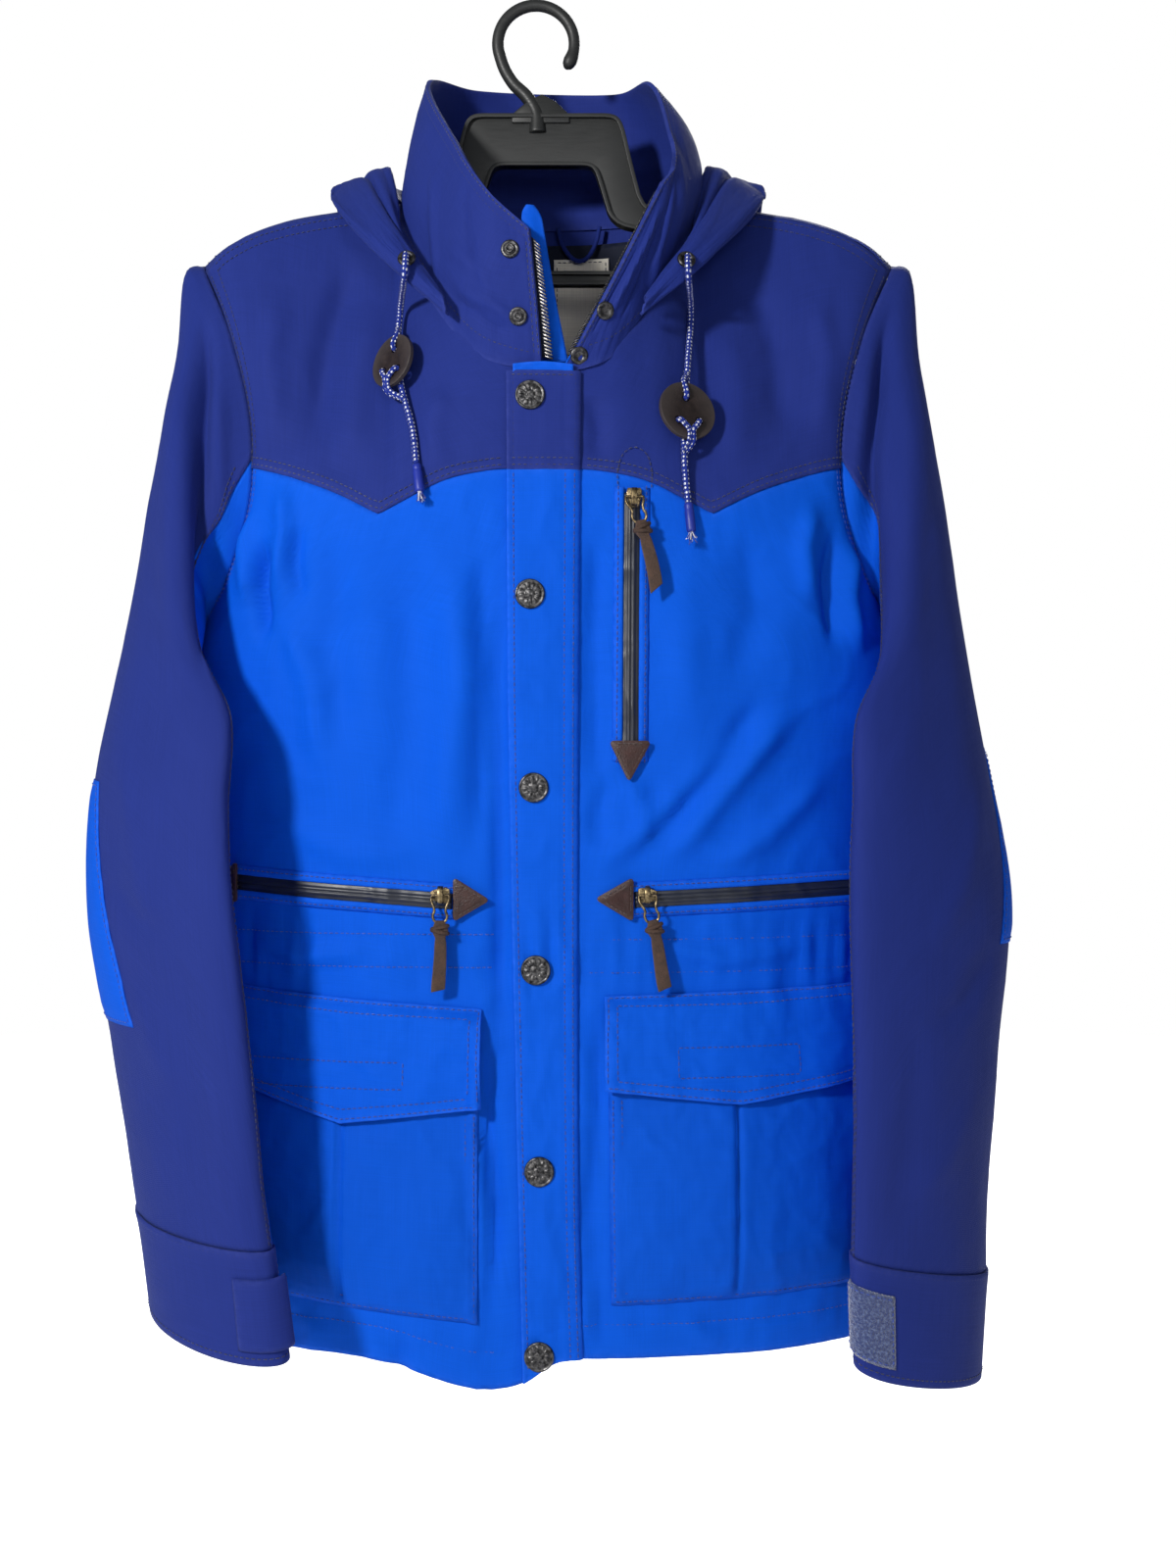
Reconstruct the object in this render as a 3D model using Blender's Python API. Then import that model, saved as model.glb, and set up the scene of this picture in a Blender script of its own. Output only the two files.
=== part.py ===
"""Hooded field jacket hanging on a moulded coat hanger.

The front faces -Y, +Z is up, and the origin is the inside top of the hanger's hook, where a rail
carries it. Lengths in this file are millimetres; MM turns them into Blender's metres. "right" and
"left" are the wearer's, so right pieces have negative x.

Cloth pieces are open sheets that follow one body form, one tube form for each sleeve and one for
the hood, and a Solidify modifier gives them their wall. What lies on a panel is made from the
panel's own points, moved out.
"""

import math

import bmesh
import bpy
import numpy as np
from mathutils import Matrix, Vector
from mathutils.bvhtree import BVHTree

MM = 0.001

HOOK_SIDE = 8  # the garment's middle hangs this far to the left of the hook

# Walls and gaps
CLOTH = 1.6
CUFF_CLOTH = 2.2
COLLAR_CLOTH = 2.6
TAPE = 1.2
LEATHER = 1.8
SEAM_GAP = 0.3
LIE_CLEAR = 1.1  # air under what lies on a panel, so that facets don't touch

# Body form, one row for each level: height, half width, front, back (y at the middle)
BODY_LEVELS = (
    (-850, 216, -97, 74),
    (-760, 215, -95, 70),
    (-625, 214, -88, 62),
    (-520, 220, -89, 68),
    (-436, 226, -91, 75),
)
SIDE_Y = -6
BODY_SQUARENESS = 2.4
HEM_DROP = 19  # the right front hangs lower beside the opening
HEM_DROP_X = -34
HEM_DROP_WIDTH = 50

# Neck seam, shoulder seam and ridge, from the middle outwards: x, y, z
NECK_FRONT = (
    (0, -87, -254),
    (30, -85, -246),
    (54, -77, -227),
    (75, -57, -190),
    (88, -27, -150),
    (93, -9, -132),
)
NECK_BACK = ((0, 60, -118), (35, 57, -118.5), (64, 45, -119.5), (85, 22, -122), (93, -9, -132))
SHOULDER_SEAM = (
    (93, -9, -132),
    (115, -10, -134.5),
    (140, -12, -138.5),
    (170, -17, -146),
    (195, -20, -156),
    (212, -18, -167),
    (221, -11, -175),
)
RIDGE = (
    (93, 4, -126),
    (115, 4, -129),
    (140, 4, -132.5),
    (170, 4, -138),
    (195, 4, -147),
    (212, 4, -156.5),
    (224, 3, -167),
)
BEHIND_RIDGE = (
    (92, 22, -131),
    (115, 23, -136),
    (140, 24, -141),
    (170, 25, -147),
    (195, 24, -156),
    (210, 22, -166),
    (222, 17, -178),
)
ARM_FRONT = ((226, -8, -416), (203, -37, -380), (185, -51, -330), (185, -48, -280), (199, -36, -225))
ARM_BACK = ((226, -4, -416), (206, 34, -380), (192, 53, -330), (193, 53, -280), (206, 39, -222))
UPPER_MIDDLE_FRONT = ((-416, -91), (-380, -91), (-330, -91), (-295, -90), (-266, -88))
UPPER_MIDDLE_BACK = ((-416, 76), (-380, 78), (-330, 79), (-270, 77), (-200, 71))

# Yoke seam on the front and back: x from the middle, z
YOKE_FRONT = ((0, -315), (34, -317), (62, -323), (84, -333), (101, -342))
YOKE_FRONT_OUTER = ((101, -342), (128, -328), (156, -317), (185, -308))
YOKE_BACK = ((0, -352), (50, -333), (100, -318), (150, -310), (193, -308))

# Sleeves: for each ring the outer, front, inner and back points (x is +left, -right)
SLEEVE_RIGHT_RINGS = (
    ((-237, -4, -236), (-208, -60, -332), (-238, -8, -428), (-218, 58, -322)),
    ((-252, -6, -312), (-216, -84, -392), (-218, -56, -440), (-237, 56, -380)),
    ((-270, -10, -408), (-217, -104, -450), (-197, -84, -466), (-258, 38, -444)),
    ((-287, -24, -500), (-219, -118, -510), (-196, -97, -516), (-266, 18, -506)),
    ((-289, -34, -570), (-217, -123, -572), (-193, -105, -574), (-263, 6, -572)),
    ((-273, -44, -660), (-207, -128, -662), (-181, -112, -664), (-248, -10, -662)),
    ((-256, -56, -735), (-199, -134, -740), (-169, -118, -744), (-232, -26, -738)),
    ((-249, -62, -762), (-195, -137, -772), (-163, -121, -772), (-224, -34, -764)),
    ((-238, -68, -817), (-188, -143, -834), (-151, -128, -832), (-206, -46, -820)),
)
SLEEVE_LEFT_RINGS = (
    ((238, -4, -236), (209, -60, -332), (238, -8, -428), (218, 58, -322)),
    ((252, -6, -312), (216, -84, -392), (217, -56, -440), (237, 56, -380)),
    ((267, -12, -408), (217, -103, -450), (196, -84, -466), (256, 38, -444)),
    ((281, -24, -500), (217, -117, -510), (194, -95, -516), (262, 18, -506)),
    ((292, -32, -575), (219, -122, -574), (191, -102, -572), (266, 8, -574)),
    ((283, -40, -672), (220, -124, -666), (191, -106, -660), (258, 0, -668)),
    ((274, -46, -765), (220, -124, -752), (188, -108, -742), (252, -6, -756)),
    ((272, -50, -806), (220, -124, -792), (187, -110, -778), (250, -12, -794)),
    ((267, -54, -866), (220, -124, -858), (188, -112, -838), (246, -18, -850)),
)
CUFF_FROM = 7  # the ring that the cuff's seam follows
UNDER_FRONT = ((0, 0.235), (0.10, 0.33), (0.22, 0.385), (1, 0.42))  # front seam: along, round
UNDER_BACK = ((0, 0.735), (0.3, 0.71), (1, 0.68))
CUFF_VENT = (0.455, 0.475)

MATERIALS = {
    "indigo": ((0.026, 0.043, 0.235), 0.75, 0.0),
    "azure": ((0.0, 0.125, 0.78), 0.72, 0.0),
    "lining": ((0.006, 0.010, 0.025), 0.8, 0.0),
    "label": ((0.55, 0.50, 0.40), 0.8, 0.0),
    "leather": ((0.050, 0.027, 0.019), 0.6, 0.0),
    "zip_tape": ((0.018, 0.020, 0.026), 0.45, 0.0),
    "metal": ((0.20, 0.18, 0.15), 0.35, 1.0),
    "cord": ((0.04, 0.06, 0.35), 0.8, 0.0),
    "cord_tip": ((0.02, 0.035, 0.33), 0.35, 0.0),
    "hanger": ((0.035, 0.037, 0.036), 0.45, 0.0),
}


# ---------------------------------------------------------------- curves and numbers
def smooth(knots, values, at):
    """Values on a smooth curve through the given pairs; each value may be an array."""
    knots = np.asarray(knots, float)
    values = np.asarray(values, float)
    at = np.clip(np.asarray(at, float), knots[0], knots[-1])
    slopes = np.gradient(values, knots, axis=0)
    i = np.clip(np.searchsorted(knots, at, side="right") - 1, 0, len(knots) - 2)
    step = (knots[i + 1] - knots[i])
    t = (at - knots[i]) / step
    shape = t.shape + (1,) * (values.ndim - 1)
    t = t.reshape(shape)
    step = step.reshape(shape)
    return (
        (2 * t**3 - 3 * t**2 + 1) * values[i]
        + (t**3 - 2 * t**2 + t) * step * slopes[i]
        + (3 * t**2 - 2 * t**3) * values[i + 1]
        + (t**3 - t**2) * step * slopes[i + 1]
    )


def lengths_along(points):
    """Distance along a polyline to each of its points."""
    steps = np.linalg.norm(np.diff(np.asarray(points, float), axis=0), axis=1)
    return np.concatenate([[0], np.cumsum(steps)])


def along(points, shares):
    """Points at the given shares of the length of a smooth curve through the points."""
    knots = lengths_along(points)
    fine = smooth(knots, points, np.linspace(0, knots[-1], 200))
    fine_at = lengths_along(fine)
    wanted = np.asarray(shares, float) * fine_at[-1]
    return np.stack([np.interp(wanted, fine_at, fine[:, k]) for k in range(3)], axis=1)


def normals_of(grid):
    """Unit normals of a grid of points; they point out where u runs to +x and v runs up."""
    across = np.gradient(grid, axis=1)
    up = np.gradient(grid, axis=0)
    normal = np.cross(across, up)
    return normal / np.linalg.norm(normal, axis=2, keepdims=True)


# ---------------------------------------------------------------- the body form
U_COUNT = 33  # columns of the master rows, from the middle to the side


def body_row(level, side):
    """A level row of the body below the arms, from the middle to the side seam."""
    z, half_width, front, back = level
    middle = front if side == "front" else back
    angle = np.linspace(0, math.pi / 2, U_COUNT)
    x = half_width * np.sin(angle)
    share = (1 - np.clip(x / half_width, 0, 1) ** BODY_SQUARENESS) ** 0.5
    y = SIDE_Y + (middle - SIDE_Y) * share
    return np.stack([x, y, np.full(U_COUNT, float(z))], axis=1)


def upper_row(edge, middle, fullness):
    """A level row between the underarm and the shoulder, from the middle to the armhole."""
    x_edge, y_edge, z = edge
    z_middle, y_middle = middle
    u = np.linspace(0, 1, U_COUNT)
    x = x_edge * np.sin(u * fullness) / math.sin(fullness)
    share = (1 - np.clip(x / x_edge, 0, 1) ** BODY_SQUARENESS) ** (0.5 + 0.5 * (1 - fullness / (math.pi / 2)))
    y = y_edge + (y_middle - y_edge) * share
    return np.stack([x, y, z_middle + (z - z_middle) * u**2], axis=1)


def top_row(neck, shoulder):
    """The seam along the neck and then the shoulder, columns spaced by x."""
    x_edge = shoulder[-1][0]
    x = x_edge * np.linspace(0, 1, U_COUNT)
    neck = np.array(neck, float)
    shoulder = np.array(shoulder, float)
    at_neck = smooth(neck[:, 0], neck[:, 1:], x)
    at_shoulder = smooth(shoulder[:, 0], shoulder[:, 1:], x)
    found = np.where((x < neck[-1, 0])[:, None], at_neck, at_shoulder)
    return np.concatenate([x[:, None], found], axis=1)


def blended_row(below, above, share, edge):
    """A row part way from one row to another, bent to end at the armhole point."""
    row = below * (1 - share) + above * share
    u = np.linspace(0, 1, U_COUNT)[:, None]
    return row + u**5 * (np.array(edge, float) - row[-1])


def body_rows(side):
    """All rows of the front or back, from the hem up."""
    rows = [body_row(level, side) for level in BODY_LEVELS]
    arm = ARM_FRONT if side == "front" else ARM_BACK
    middles = UPPER_MIDDLE_FRONT if side == "front" else UPPER_MIDDLE_BACK
    fullness = (1.5, 1.3, 1.15)
    rows += [upper_row(arm[i], middles[i], fullness[i]) for i in range(3)]
    base = rows[-1]
    neck = NECK_FRONT if side == "front" else NECK_BACK
    if side == "front":
        top = top_row(neck, SHOULDER_SEAM)
        rows.append(blended_row(base, top, 0.34, arm[3]))
        rows.append(blended_row(base, top, 0.68, arm[4]))
        rows.append(top)
    else:
        behind = top_row(((0, 62, -126), (35, 59, -127), (64, 47, -128), (80, 33, -129), (92, 22, -131)), BEHIND_RIDGE)
        rows.append(blended_row(base, behind, 0.33, arm[3]))
        rows.append(blended_row(base, behind, 0.66, arm[4]))
        rows.append(behind)
        rows.append(top_row(((0, 60.8, -121), (35, 57.8, -121.5), (64, 46, -122.5), (85, 20, -123.5), (93, 4, -126)), RIDGE))
        rows.append(top_row(neck, SHOULDER_SEAM))
    return np.array(rows)


class BodySide:
    """The front or the back of the body, as smooth rows that panels read their points from."""

    def __init__(self, side):
        self.side = side
        self.rows = body_rows(side)
        gaps = np.linalg.norm(np.diff(self.rows, axis=0), axis=2).mean(axis=1)
        self.knots = np.concatenate([[0], np.cumsum(gaps)])
        self.u = np.linspace(0, 1, U_COUNT)
        fine_v = np.linspace(0, self.knots[-1], 400)
        self.fine_v = fine_v
        self.fine = smooth(self.knots, self.rows, fine_v)  # v, u, xyz

    def point(self, u, v):
        """Points at columns u (-1 right side to 1 left side) and row places v, arrays of one shape."""
        u, v = np.broadcast_arrays(np.asarray(u, float), np.asarray(v, float))
        column = np.abs(u) * (U_COUNT - 1)
        i = np.clip(column.astype(int), 0, U_COUNT - 2)
        t = (column - i)[..., None]
        place = np.clip(v / self.knots[-1], 0, 1) * (len(self.fine_v) - 1)
        j = np.clip(place.astype(int), 0, len(self.fine_v) - 2)
        s = (place - j)[..., None]
        low = self.fine[j, i] * (1 - t) + self.fine[j, i + 1] * t
        high = self.fine[j + 1, i] * (1 - t) + self.fine[j + 1, i + 1] * t
        found = low * (1 - s) + high * s
        found[..., 0] *= np.sign(u) + (u == 0)
        found[..., 2] -= self.hem_drop(found[..., 0], found[..., 2])
        return found

    def hem_drop(self, x, z):
        """How much lower the cloth hangs beside the opening; it fades out towards the yoke."""
        if self.side == "back":
            return 0 * x
        near = np.exp(-(((x - HEM_DROP_X) / HEM_DROP_WIDTH) ** 2)) * (x < 60)
        near = near / (1 + np.exp(x / 5.0))
        return HEM_DROP * near * np.clip((-560 - z) / 296, 0, 1) ** 1.5

    def v_at(self, u, z):
        """The row place where each column u is at height z."""
        u, z = np.broadcast_arrays(np.asarray(u, float), np.asarray(z, float))
        found = np.empty(u.shape)
        for index in np.ndindex(u.shape):
            heights = self.point(np.full(len(self.fine_v), u[index]), self.fine_v)[:, 2]
            found[index] = np.interp(z[index], heights, self.fine_v)
        return found

    def u_at(self, x, z):
        """The column where the surface is at x, at height z."""
        columns = np.linspace(-1, 1, 81)
        v = self.v_at(columns, np.full(81, float(z)))
        return float(np.interp(x, self.point(columns, v)[:, 0], columns))

    def place(self, x, z):
        """Columns and row places of the surface points at the given x and z."""
        x, z = np.broadcast_arrays(np.asarray(x, float), np.asarray(z, float))
        u = np.clip(x / 215.0, -0.97, 0.97)
        v = np.clip((z + 860) * 0.95, 1, self.knots[-1] - 1)
        for _ in range(14):
            here = self.point(u, v)
            by_u = (self.point(u + 0.004, v) - self.point(u - 0.004, v)) / 0.008
            by_v = (self.point(u, v + 2.0) - self.point(u, v - 2.0)) / 4.0
            off_x = x - here[..., 0]
            off_z = z - here[..., 2]
            det = by_u[..., 0] * by_v[..., 2] - by_v[..., 0] * by_u[..., 2]
            det = np.where(np.abs(det) < 1.0, 1.0, det)
            u = np.clip(u + 0.8 * (off_x * by_v[..., 2] - off_z * by_v[..., 0]) / det, -0.995, 0.995)
            v = np.clip(v + 0.8 * (off_z * by_u[..., 0] - off_x * by_u[..., 2]) / det, 0, self.knots[-1])
        return u, v

    def normal(self, u, v):
        """Unit normals pointing out of the garment."""
        by_u = self.point(u + 0.01, v) - self.point(u - 0.01, v)
        by_v = self.point(u, v + 3.0) - self.point(u, v - 3.0)
        found = np.cross(by_u, by_v) if self.side == "front" else np.cross(by_v, by_u)
        return found / np.linalg.norm(found, axis=-1, keepdims=True)

    def lay(self, x, z, out):
        """Points over the surface at the given x and z, moved out by a distance."""
        u, v = self.place(x, z)
        out = np.broadcast_to(np.asarray(out, float), u.shape)
        return self.point(u, v) + self.normal(u, v) * out[..., None]

    def v_on_curve(self, u, curve_z):
        """Row places where each column u meets a seam given as height against x."""
        u = np.asarray(u, float)
        z = np.full(u.shape, -330.0)
        for _ in range(4):
            v = self.v_at(u, z)
            z = curve_z(self.point(u, v)[:, 0])
        return v


def yoke_front_z(x):
    """Height of the front yoke seam: two curves that meet at a low tip."""
    away = np.abs(x)
    inner = smooth([p[0] for p in YOKE_FRONT], [p[1] for p in YOKE_FRONT], away)
    outer = smooth([p[0] for p in YOKE_FRONT_OUTER], [p[1] for p in YOKE_FRONT_OUTER], away)
    return np.where(away < YOKE_FRONT_OUTER[0][0], inner, outer)


def yoke_back_z(x):
    """Height of the back yoke seam."""
    return smooth([p[0] for p in YOKE_BACK], [p[1] for p in YOKE_BACK], np.abs(x))


# ---------------------------------------------------------------- sleeves
ARMHOLE_PLACES = (0, 0.045, 0.13, 0.205, 0.275, 0.36, 0.46, 0.5, 0.54, 0.64, 0.725, 0.795, 0.87, 0.955, 1)


def armhole_loop():
    """The left armhole seam, from the top round the front, the underarm and the back."""
    front = [SHOULDER_SEAM[-1]] + list(reversed(ARM_FRONT))
    back = list(ARM_BACK) + [BEHIND_RIDGE[-1]]
    return [RIDGE[-1]] + front + [(226, -6, -419)] + back + [RIDGE[-1]]


CAP_RISE = 12  # how far the sleeve stands out before it turns down
CAP_SPREAD = 1.06
RING_SQUARE = 8  # the tube is fuller at its front and flatter beside the body


class Sleeve:
    """A sleeve's tube: s runs from the armhole to the cuff's end, t round from the outer edge."""

    def __init__(self, sign, rings):
        self.sign = sign
        self.t = np.linspace(0, 1, 61)
        loop = np.array(armhole_loop(), float) * (sign, 1, 1)
        seam = smooth(ARMHOLE_PLACES, loop, self.t)
        found = [seam, seam * (1, CAP_SPREAD, 1) + (sign * CAP_RISE, 0, 0)]
        found[1][:, 2] -= 2 + 5 * np.sin(self.t * math.pi) ** 2
        turn = (self.t * 2 * math.pi)[:, None]
        for outer, front, inner, back in np.array(rings, float):
            middle = (outer + front + inner + back) / 4
            across = (outer - inner) / 2
            deep = (front - back) / 2
            skew = (outer - front + inner - back) / 4
            ring = middle + across * np.cos(turn) + deep * np.sin(turn) + skew * np.cos(2 * turn)
            found.append(ring + (sign * RING_SQUARE, 0, 0) * np.sin(2 * turn))
        self.rings = np.array(found)
        gaps = np.linalg.norm(np.diff(self.rings, axis=0), axis=2).mean(axis=1)
        self.knots = np.concatenate([[0], np.cumsum(gaps)])
        self.fine_s = np.linspace(0, self.knots[-1], 300)
        self.fine = smooth(self.knots, self.rings, self.fine_s)

    def point(self, s, t):
        """Points at lengths s and places round t; t may pass 0 or 1."""
        s, t = np.broadcast_arrays(np.asarray(s, float), np.asarray(t, float))
        round_at = (t % 1.0) * 60
        i = np.clip(round_at.astype(int), 0, 59)
        a = (round_at - i)[..., None]
        down = np.clip(s / self.knots[-1], 0, 1) * 299
        j = np.clip(down.astype(int), 0, 298)
        b = (down - j)[..., None]
        low = self.fine[j, i] * (1 - a) + self.fine[j, i + 1] * a
        high = self.fine[j + 1, i] * (1 - a) + self.fine[j + 1, i + 1] * a
        return low * (1 - b) + high * b

    def normal(self, s, t):
        """Unit normals pointing out of the tube."""
        by_s = self.point(s + 4.0, t) - self.point(s - 4.0, t)
        by_t = self.point(s, t + 0.02) - self.point(s, t - 0.02)
        found = np.cross(by_t, by_s) * self.sign
        return found / np.linalg.norm(found, axis=-1, keepdims=True)

    def lay(self, s, t, out):
        """Points on the tube, moved out by a distance."""
        s, t = np.broadcast_arrays(np.asarray(s, float), np.asarray(t, float))
        return self.point(s, t) + self.normal(s, t) * np.broadcast_to(np.asarray(out, float), s.shape)[..., None]


# ---------------------------------------------------------------- collar and hood
COLLAR_PLACES = (0, 0.12, 0.24, 0.36, 0.43, 0.5, 0.57, 0.64, 0.76, 0.88, 1)
COLLAR_BASE = (
    (-2, -89, -251), (-40, -84, -237), (-71, -62, -195), (-92, -12, -134), (-64, 45, -119.5), (0, 60, -118),
    (64, 45, -119.5), (92, -12, -134), (71, -62, -195), (43, -84, -236), (16, -89, -249),
)
COLLAR_MIDDLE = (
    (-5, -97, -214), (-38, -93, -194), (-65, -68, -155), (-87, -7, -92), (-62, 47, -78), (0, 61, -76),
    (63, 46, -78), (92, -4, -92), (86, -60, -142), (64, -84, -180), (45, -94, -196),
)
COLLAR_TOP = (
    (-9, -99, -174), (-33, -91, -150), (-54, -67, -112), (-76, 0, -46), (-50, 43, -36), (0, 56, -34),
    (46, 44, -38), (64, 4, -46), (77, -46, -98), (79, -66, -124), (71, -78, -140),
)


class Collar:
    """The stand collar: c runs round from the right front edge, r from the neck seam to the top."""

    def point(self, c, r):
        c, r = np.broadcast_arrays(np.asarray(c, float), np.asarray(r, float))
        base = smooth(COLLAR_PLACES, COLLAR_BASE, c)
        middle = smooth(COLLAR_PLACES, COLLAR_MIDDLE, c)
        top = smooth(COLLAR_PLACES, COLLAR_TOP, c)
        r = r[..., None]
        return base * (1 - r) * (1 - 2 * r) + middle * 4 * r * (1 - r) + top * r * (2 * r - 1)

    def normal(self, c, r):
        """Unit normals pointing away from the neck."""
        c = np.clip(c, 0.011, 0.989)
        by_c = self.point(c + 0.01, r) - self.point(c - 0.01, r)
        by_r = self.point(c, r + 0.03) - self.point(c, r - 0.03)
        found = np.cross(by_c, by_r)
        return found / np.linalg.norm(found, axis=-1, keepdims=True)

    def lay(self, c, r, out):
        c, r = np.broadcast_arrays(np.asarray(c, float), np.asarray(r, float))
        return self.point(c, r) + self.normal(c, r) * np.broadcast_to(np.asarray(out, float), c.shape)[..., None]


# One column for each place round the neck: neck seam, rise, turn, fall, fold, brim
HOOD_PLACES = (0, 0.12, 0.23, 0.28, 0.34, 0.42, 0.5)
HOOD_COLUMNS = (
    ((61, -84, -215), (61, -88, -212), (61, -92, -214), (60, -93.5, -218), (59, -92, -222), (58, -88.5, -223)),
    ((88, -56, -174), (91, -60, -162), (97, -66, -163), (102, -70, -172), (103, -71, -180), (99, -68.5, -184)),
    ((99, -12, -127), (106, -8, -108), (123, -4, -111), (138, -9, -124), (138, -18, -131), (132, -24, -138)),
    ((98, 6, -123), (107, 10, -107), (126, 16, -112), (138, 14, -120), (140, 12, -119), (134, 10, -117)),
    ((95, 24, -118), (106, 36, -108), (128, 62, -150), (128, 84, -226), (138, 86, -166), (130, 62, -121)),
    ((60, 55, -116), (70, 70, -116), (88, 84, -196), (84, 102, -288), (97, 112, -208), (90, 96, -130)),
    ((0, 66, -119), (0, 76, -126), (0, 87, -235), (0, 106, -318), (0, 122, -230), (0, 113, -138)),
)

class Hood:
    """The hood lying down the back: c runs round the neck, b from the neck seam to the brim."""

    def __init__(self):
        right = [np.array(column, float) * (-1, 1, 1) for column in HOOD_COLUMNS]
        left = [np.array(column, float) for column in reversed(HOOD_COLUMNS[:-1])]
        self.columns = np.array(right + left)
        self.places = list(HOOD_PLACES) + [1 - place for place in reversed(HOOD_PLACES[:-1])]

    def point(self, c, b):
        c, b = np.broadcast_arrays(np.asarray(c, float), np.asarray(b, float))
        by_c = smooth(self.places, self.columns, c.ravel())
        found = np.empty(c.shape + (3,))
        for index, (rows, place) in enumerate(zip(by_c, b.ravel())):
            found.reshape(-1, 3)[index] = smooth(np.linspace(0, 1, 6), rows, place)
        return found

    def normal(self, c, b):
        """Unit normals of the hood's outer side."""
        by_c = self.point(c + 0.01, b) - self.point(c - 0.01, b)
        by_b = self.point(c, np.clip(b + 0.02, 0, 1)) - self.point(c, np.clip(b - 0.02, 0, 1))
        found = np.cross(by_b, by_c)
        return found / np.linalg.norm(found, axis=-1, keepdims=True)


# ---------------------------------------------------------------- making objects
def clear_scene():
    for thing in list(bpy.data.objects):
        bpy.data.objects.remove(thing, do_unlink=True)


def material(name):
    """The named material, made the first time it is asked for."""
    found = bpy.data.materials.get(name)
    if found:
        return found
    colour, roughness, metallic = MATERIALS[name]
    found = bpy.data.materials.new(name)
    found.use_nodes = True
    shader = found.node_tree.nodes["Principled BSDF"]
    shader.inputs["Base Color"].default_value = colour + (1.0,)
    shader.inputs["Roughness"].default_value = roughness
    shader.inputs["Metallic"].default_value = metallic
    return found


def in_world(points):
    """Millimetres from the garment's middle to metres from the hook."""
    return (np.asarray(points, float).reshape(-1, 3) + (HOOK_SIDE, 0, 0)) * MM


def add_mesh(name, points, faces, paint, smooth_shaded=False):
    mesh = bpy.data.meshes.new(name)
    mesh.from_pydata([tuple(p) for p in in_world(points)], [], [tuple(int(i) for i in f) for f in faces])
    mesh.validate()
    thing = bpy.data.objects.new(name, mesh)
    thing.data.materials.append(material(paint))
    bpy.context.scene.collection.objects.link(thing)
    if smooth_shaded:
        for polygon in mesh.polygons:
            polygon.use_smooth = True
    return thing


def wall_of(name, grid, paint, thickness, closed=False):
    """A cloth wall on a grid of points: quads, then a Solidify for its thickness."""
    rows, columns = grid.shape[:2]
    faces = []
    for j in range(rows - 1):
        for i in range(columns if closed else columns - 1):
            k = (i + 1) % columns
            faces.append((j * columns + i, j * columns + k, (j + 1) * columns + k, (j + 1) * columns + i))
    thing = add_mesh(name, grid, faces, paint)
    solidify = thing.modifiers.new("Wall", "SOLIDIFY")
    solidify.thickness = thickness * MM
    solidify.offset = 0.0
    return thing


def trimmed(grid, low=0.0, high=0.0, first=0.0, last=0.0):
    """The grid with its edge rows and edge columns drawn in by the given distances."""
    grid = grid.copy()
    for edge, inner, by in ((0, 1, low), (-1, -2, high)):
        step = grid[inner] - grid[edge]
        length = np.maximum(np.linalg.norm(step, axis=-1, keepdims=True), 1e-6)
        grid[edge] = grid[edge] + step / length * np.minimum(by, length * 0.6)
    for edge, inner, by in ((0, 1, first), (-1, -2, last)):
        step = grid[:, inner] - grid[:, edge]
        length = np.maximum(np.linalg.norm(step, axis=-1, keepdims=True), 1e-6)
        grid[:, edge] = grid[:, edge] + step / length * np.minimum(by, length * 0.6)
    return grid


def between(low, high, shares):
    """Rows of values from one array to another."""
    shares = np.asarray(shares, float)[:, None]
    return np.asarray(low, float) * (1 - shares) + np.asarray(high, float) * shares


def prism(name, outline, depth_step, paint, smooth_shaded=False):
    """A solid from a loop of points and the step from its front to its back."""
    outline = np.asarray(outline, float)
    count = len(outline)
    points = np.concatenate([outline, outline + np.asarray(depth_step, float)])
    faces = [tuple(range(count)), tuple(reversed(range(count, 2 * count)))]
    for i in range(count):
        k = (i + 1) % count
        faces.append((i, i + count, k + count, k))
    thing = add_mesh(name, points, faces, paint, smooth_shaded)
    outward(thing)
    return thing


def ring_prism(name, outer, inner, depth_step, paint):
    """A solid between two matched loops of points."""
    outer = np.asarray(outer, float)
    inner = np.asarray(inner, float)
    step = np.asarray(depth_step, float)
    count = len(outer)
    points = np.concatenate([outer, inner, outer + step, inner + step])
    faces = []
    for i in range(count):
        k = (i + 1) % count
        faces.append((i, k, count + k, count + i))
        faces.append((2 * count + i, 3 * count + i, 3 * count + k, 2 * count + k))
        faces.append((i, 2 * count + i, 2 * count + k, k))
        faces.append((count + i, count + k, 3 * count + k, 3 * count + i))
    thing = add_mesh(name, points, faces, paint)
    outward(thing)
    return thing


def outward(thing):
    """Turns all faces of a closed mesh outwards."""
    sheet = bmesh.new()
    sheet.from_mesh(thing.data)
    bmesh.ops.recalc_face_normals(sheet, faces=sheet.faces)
    sheet.to_mesh(thing.data)
    sheet.free()


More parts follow.
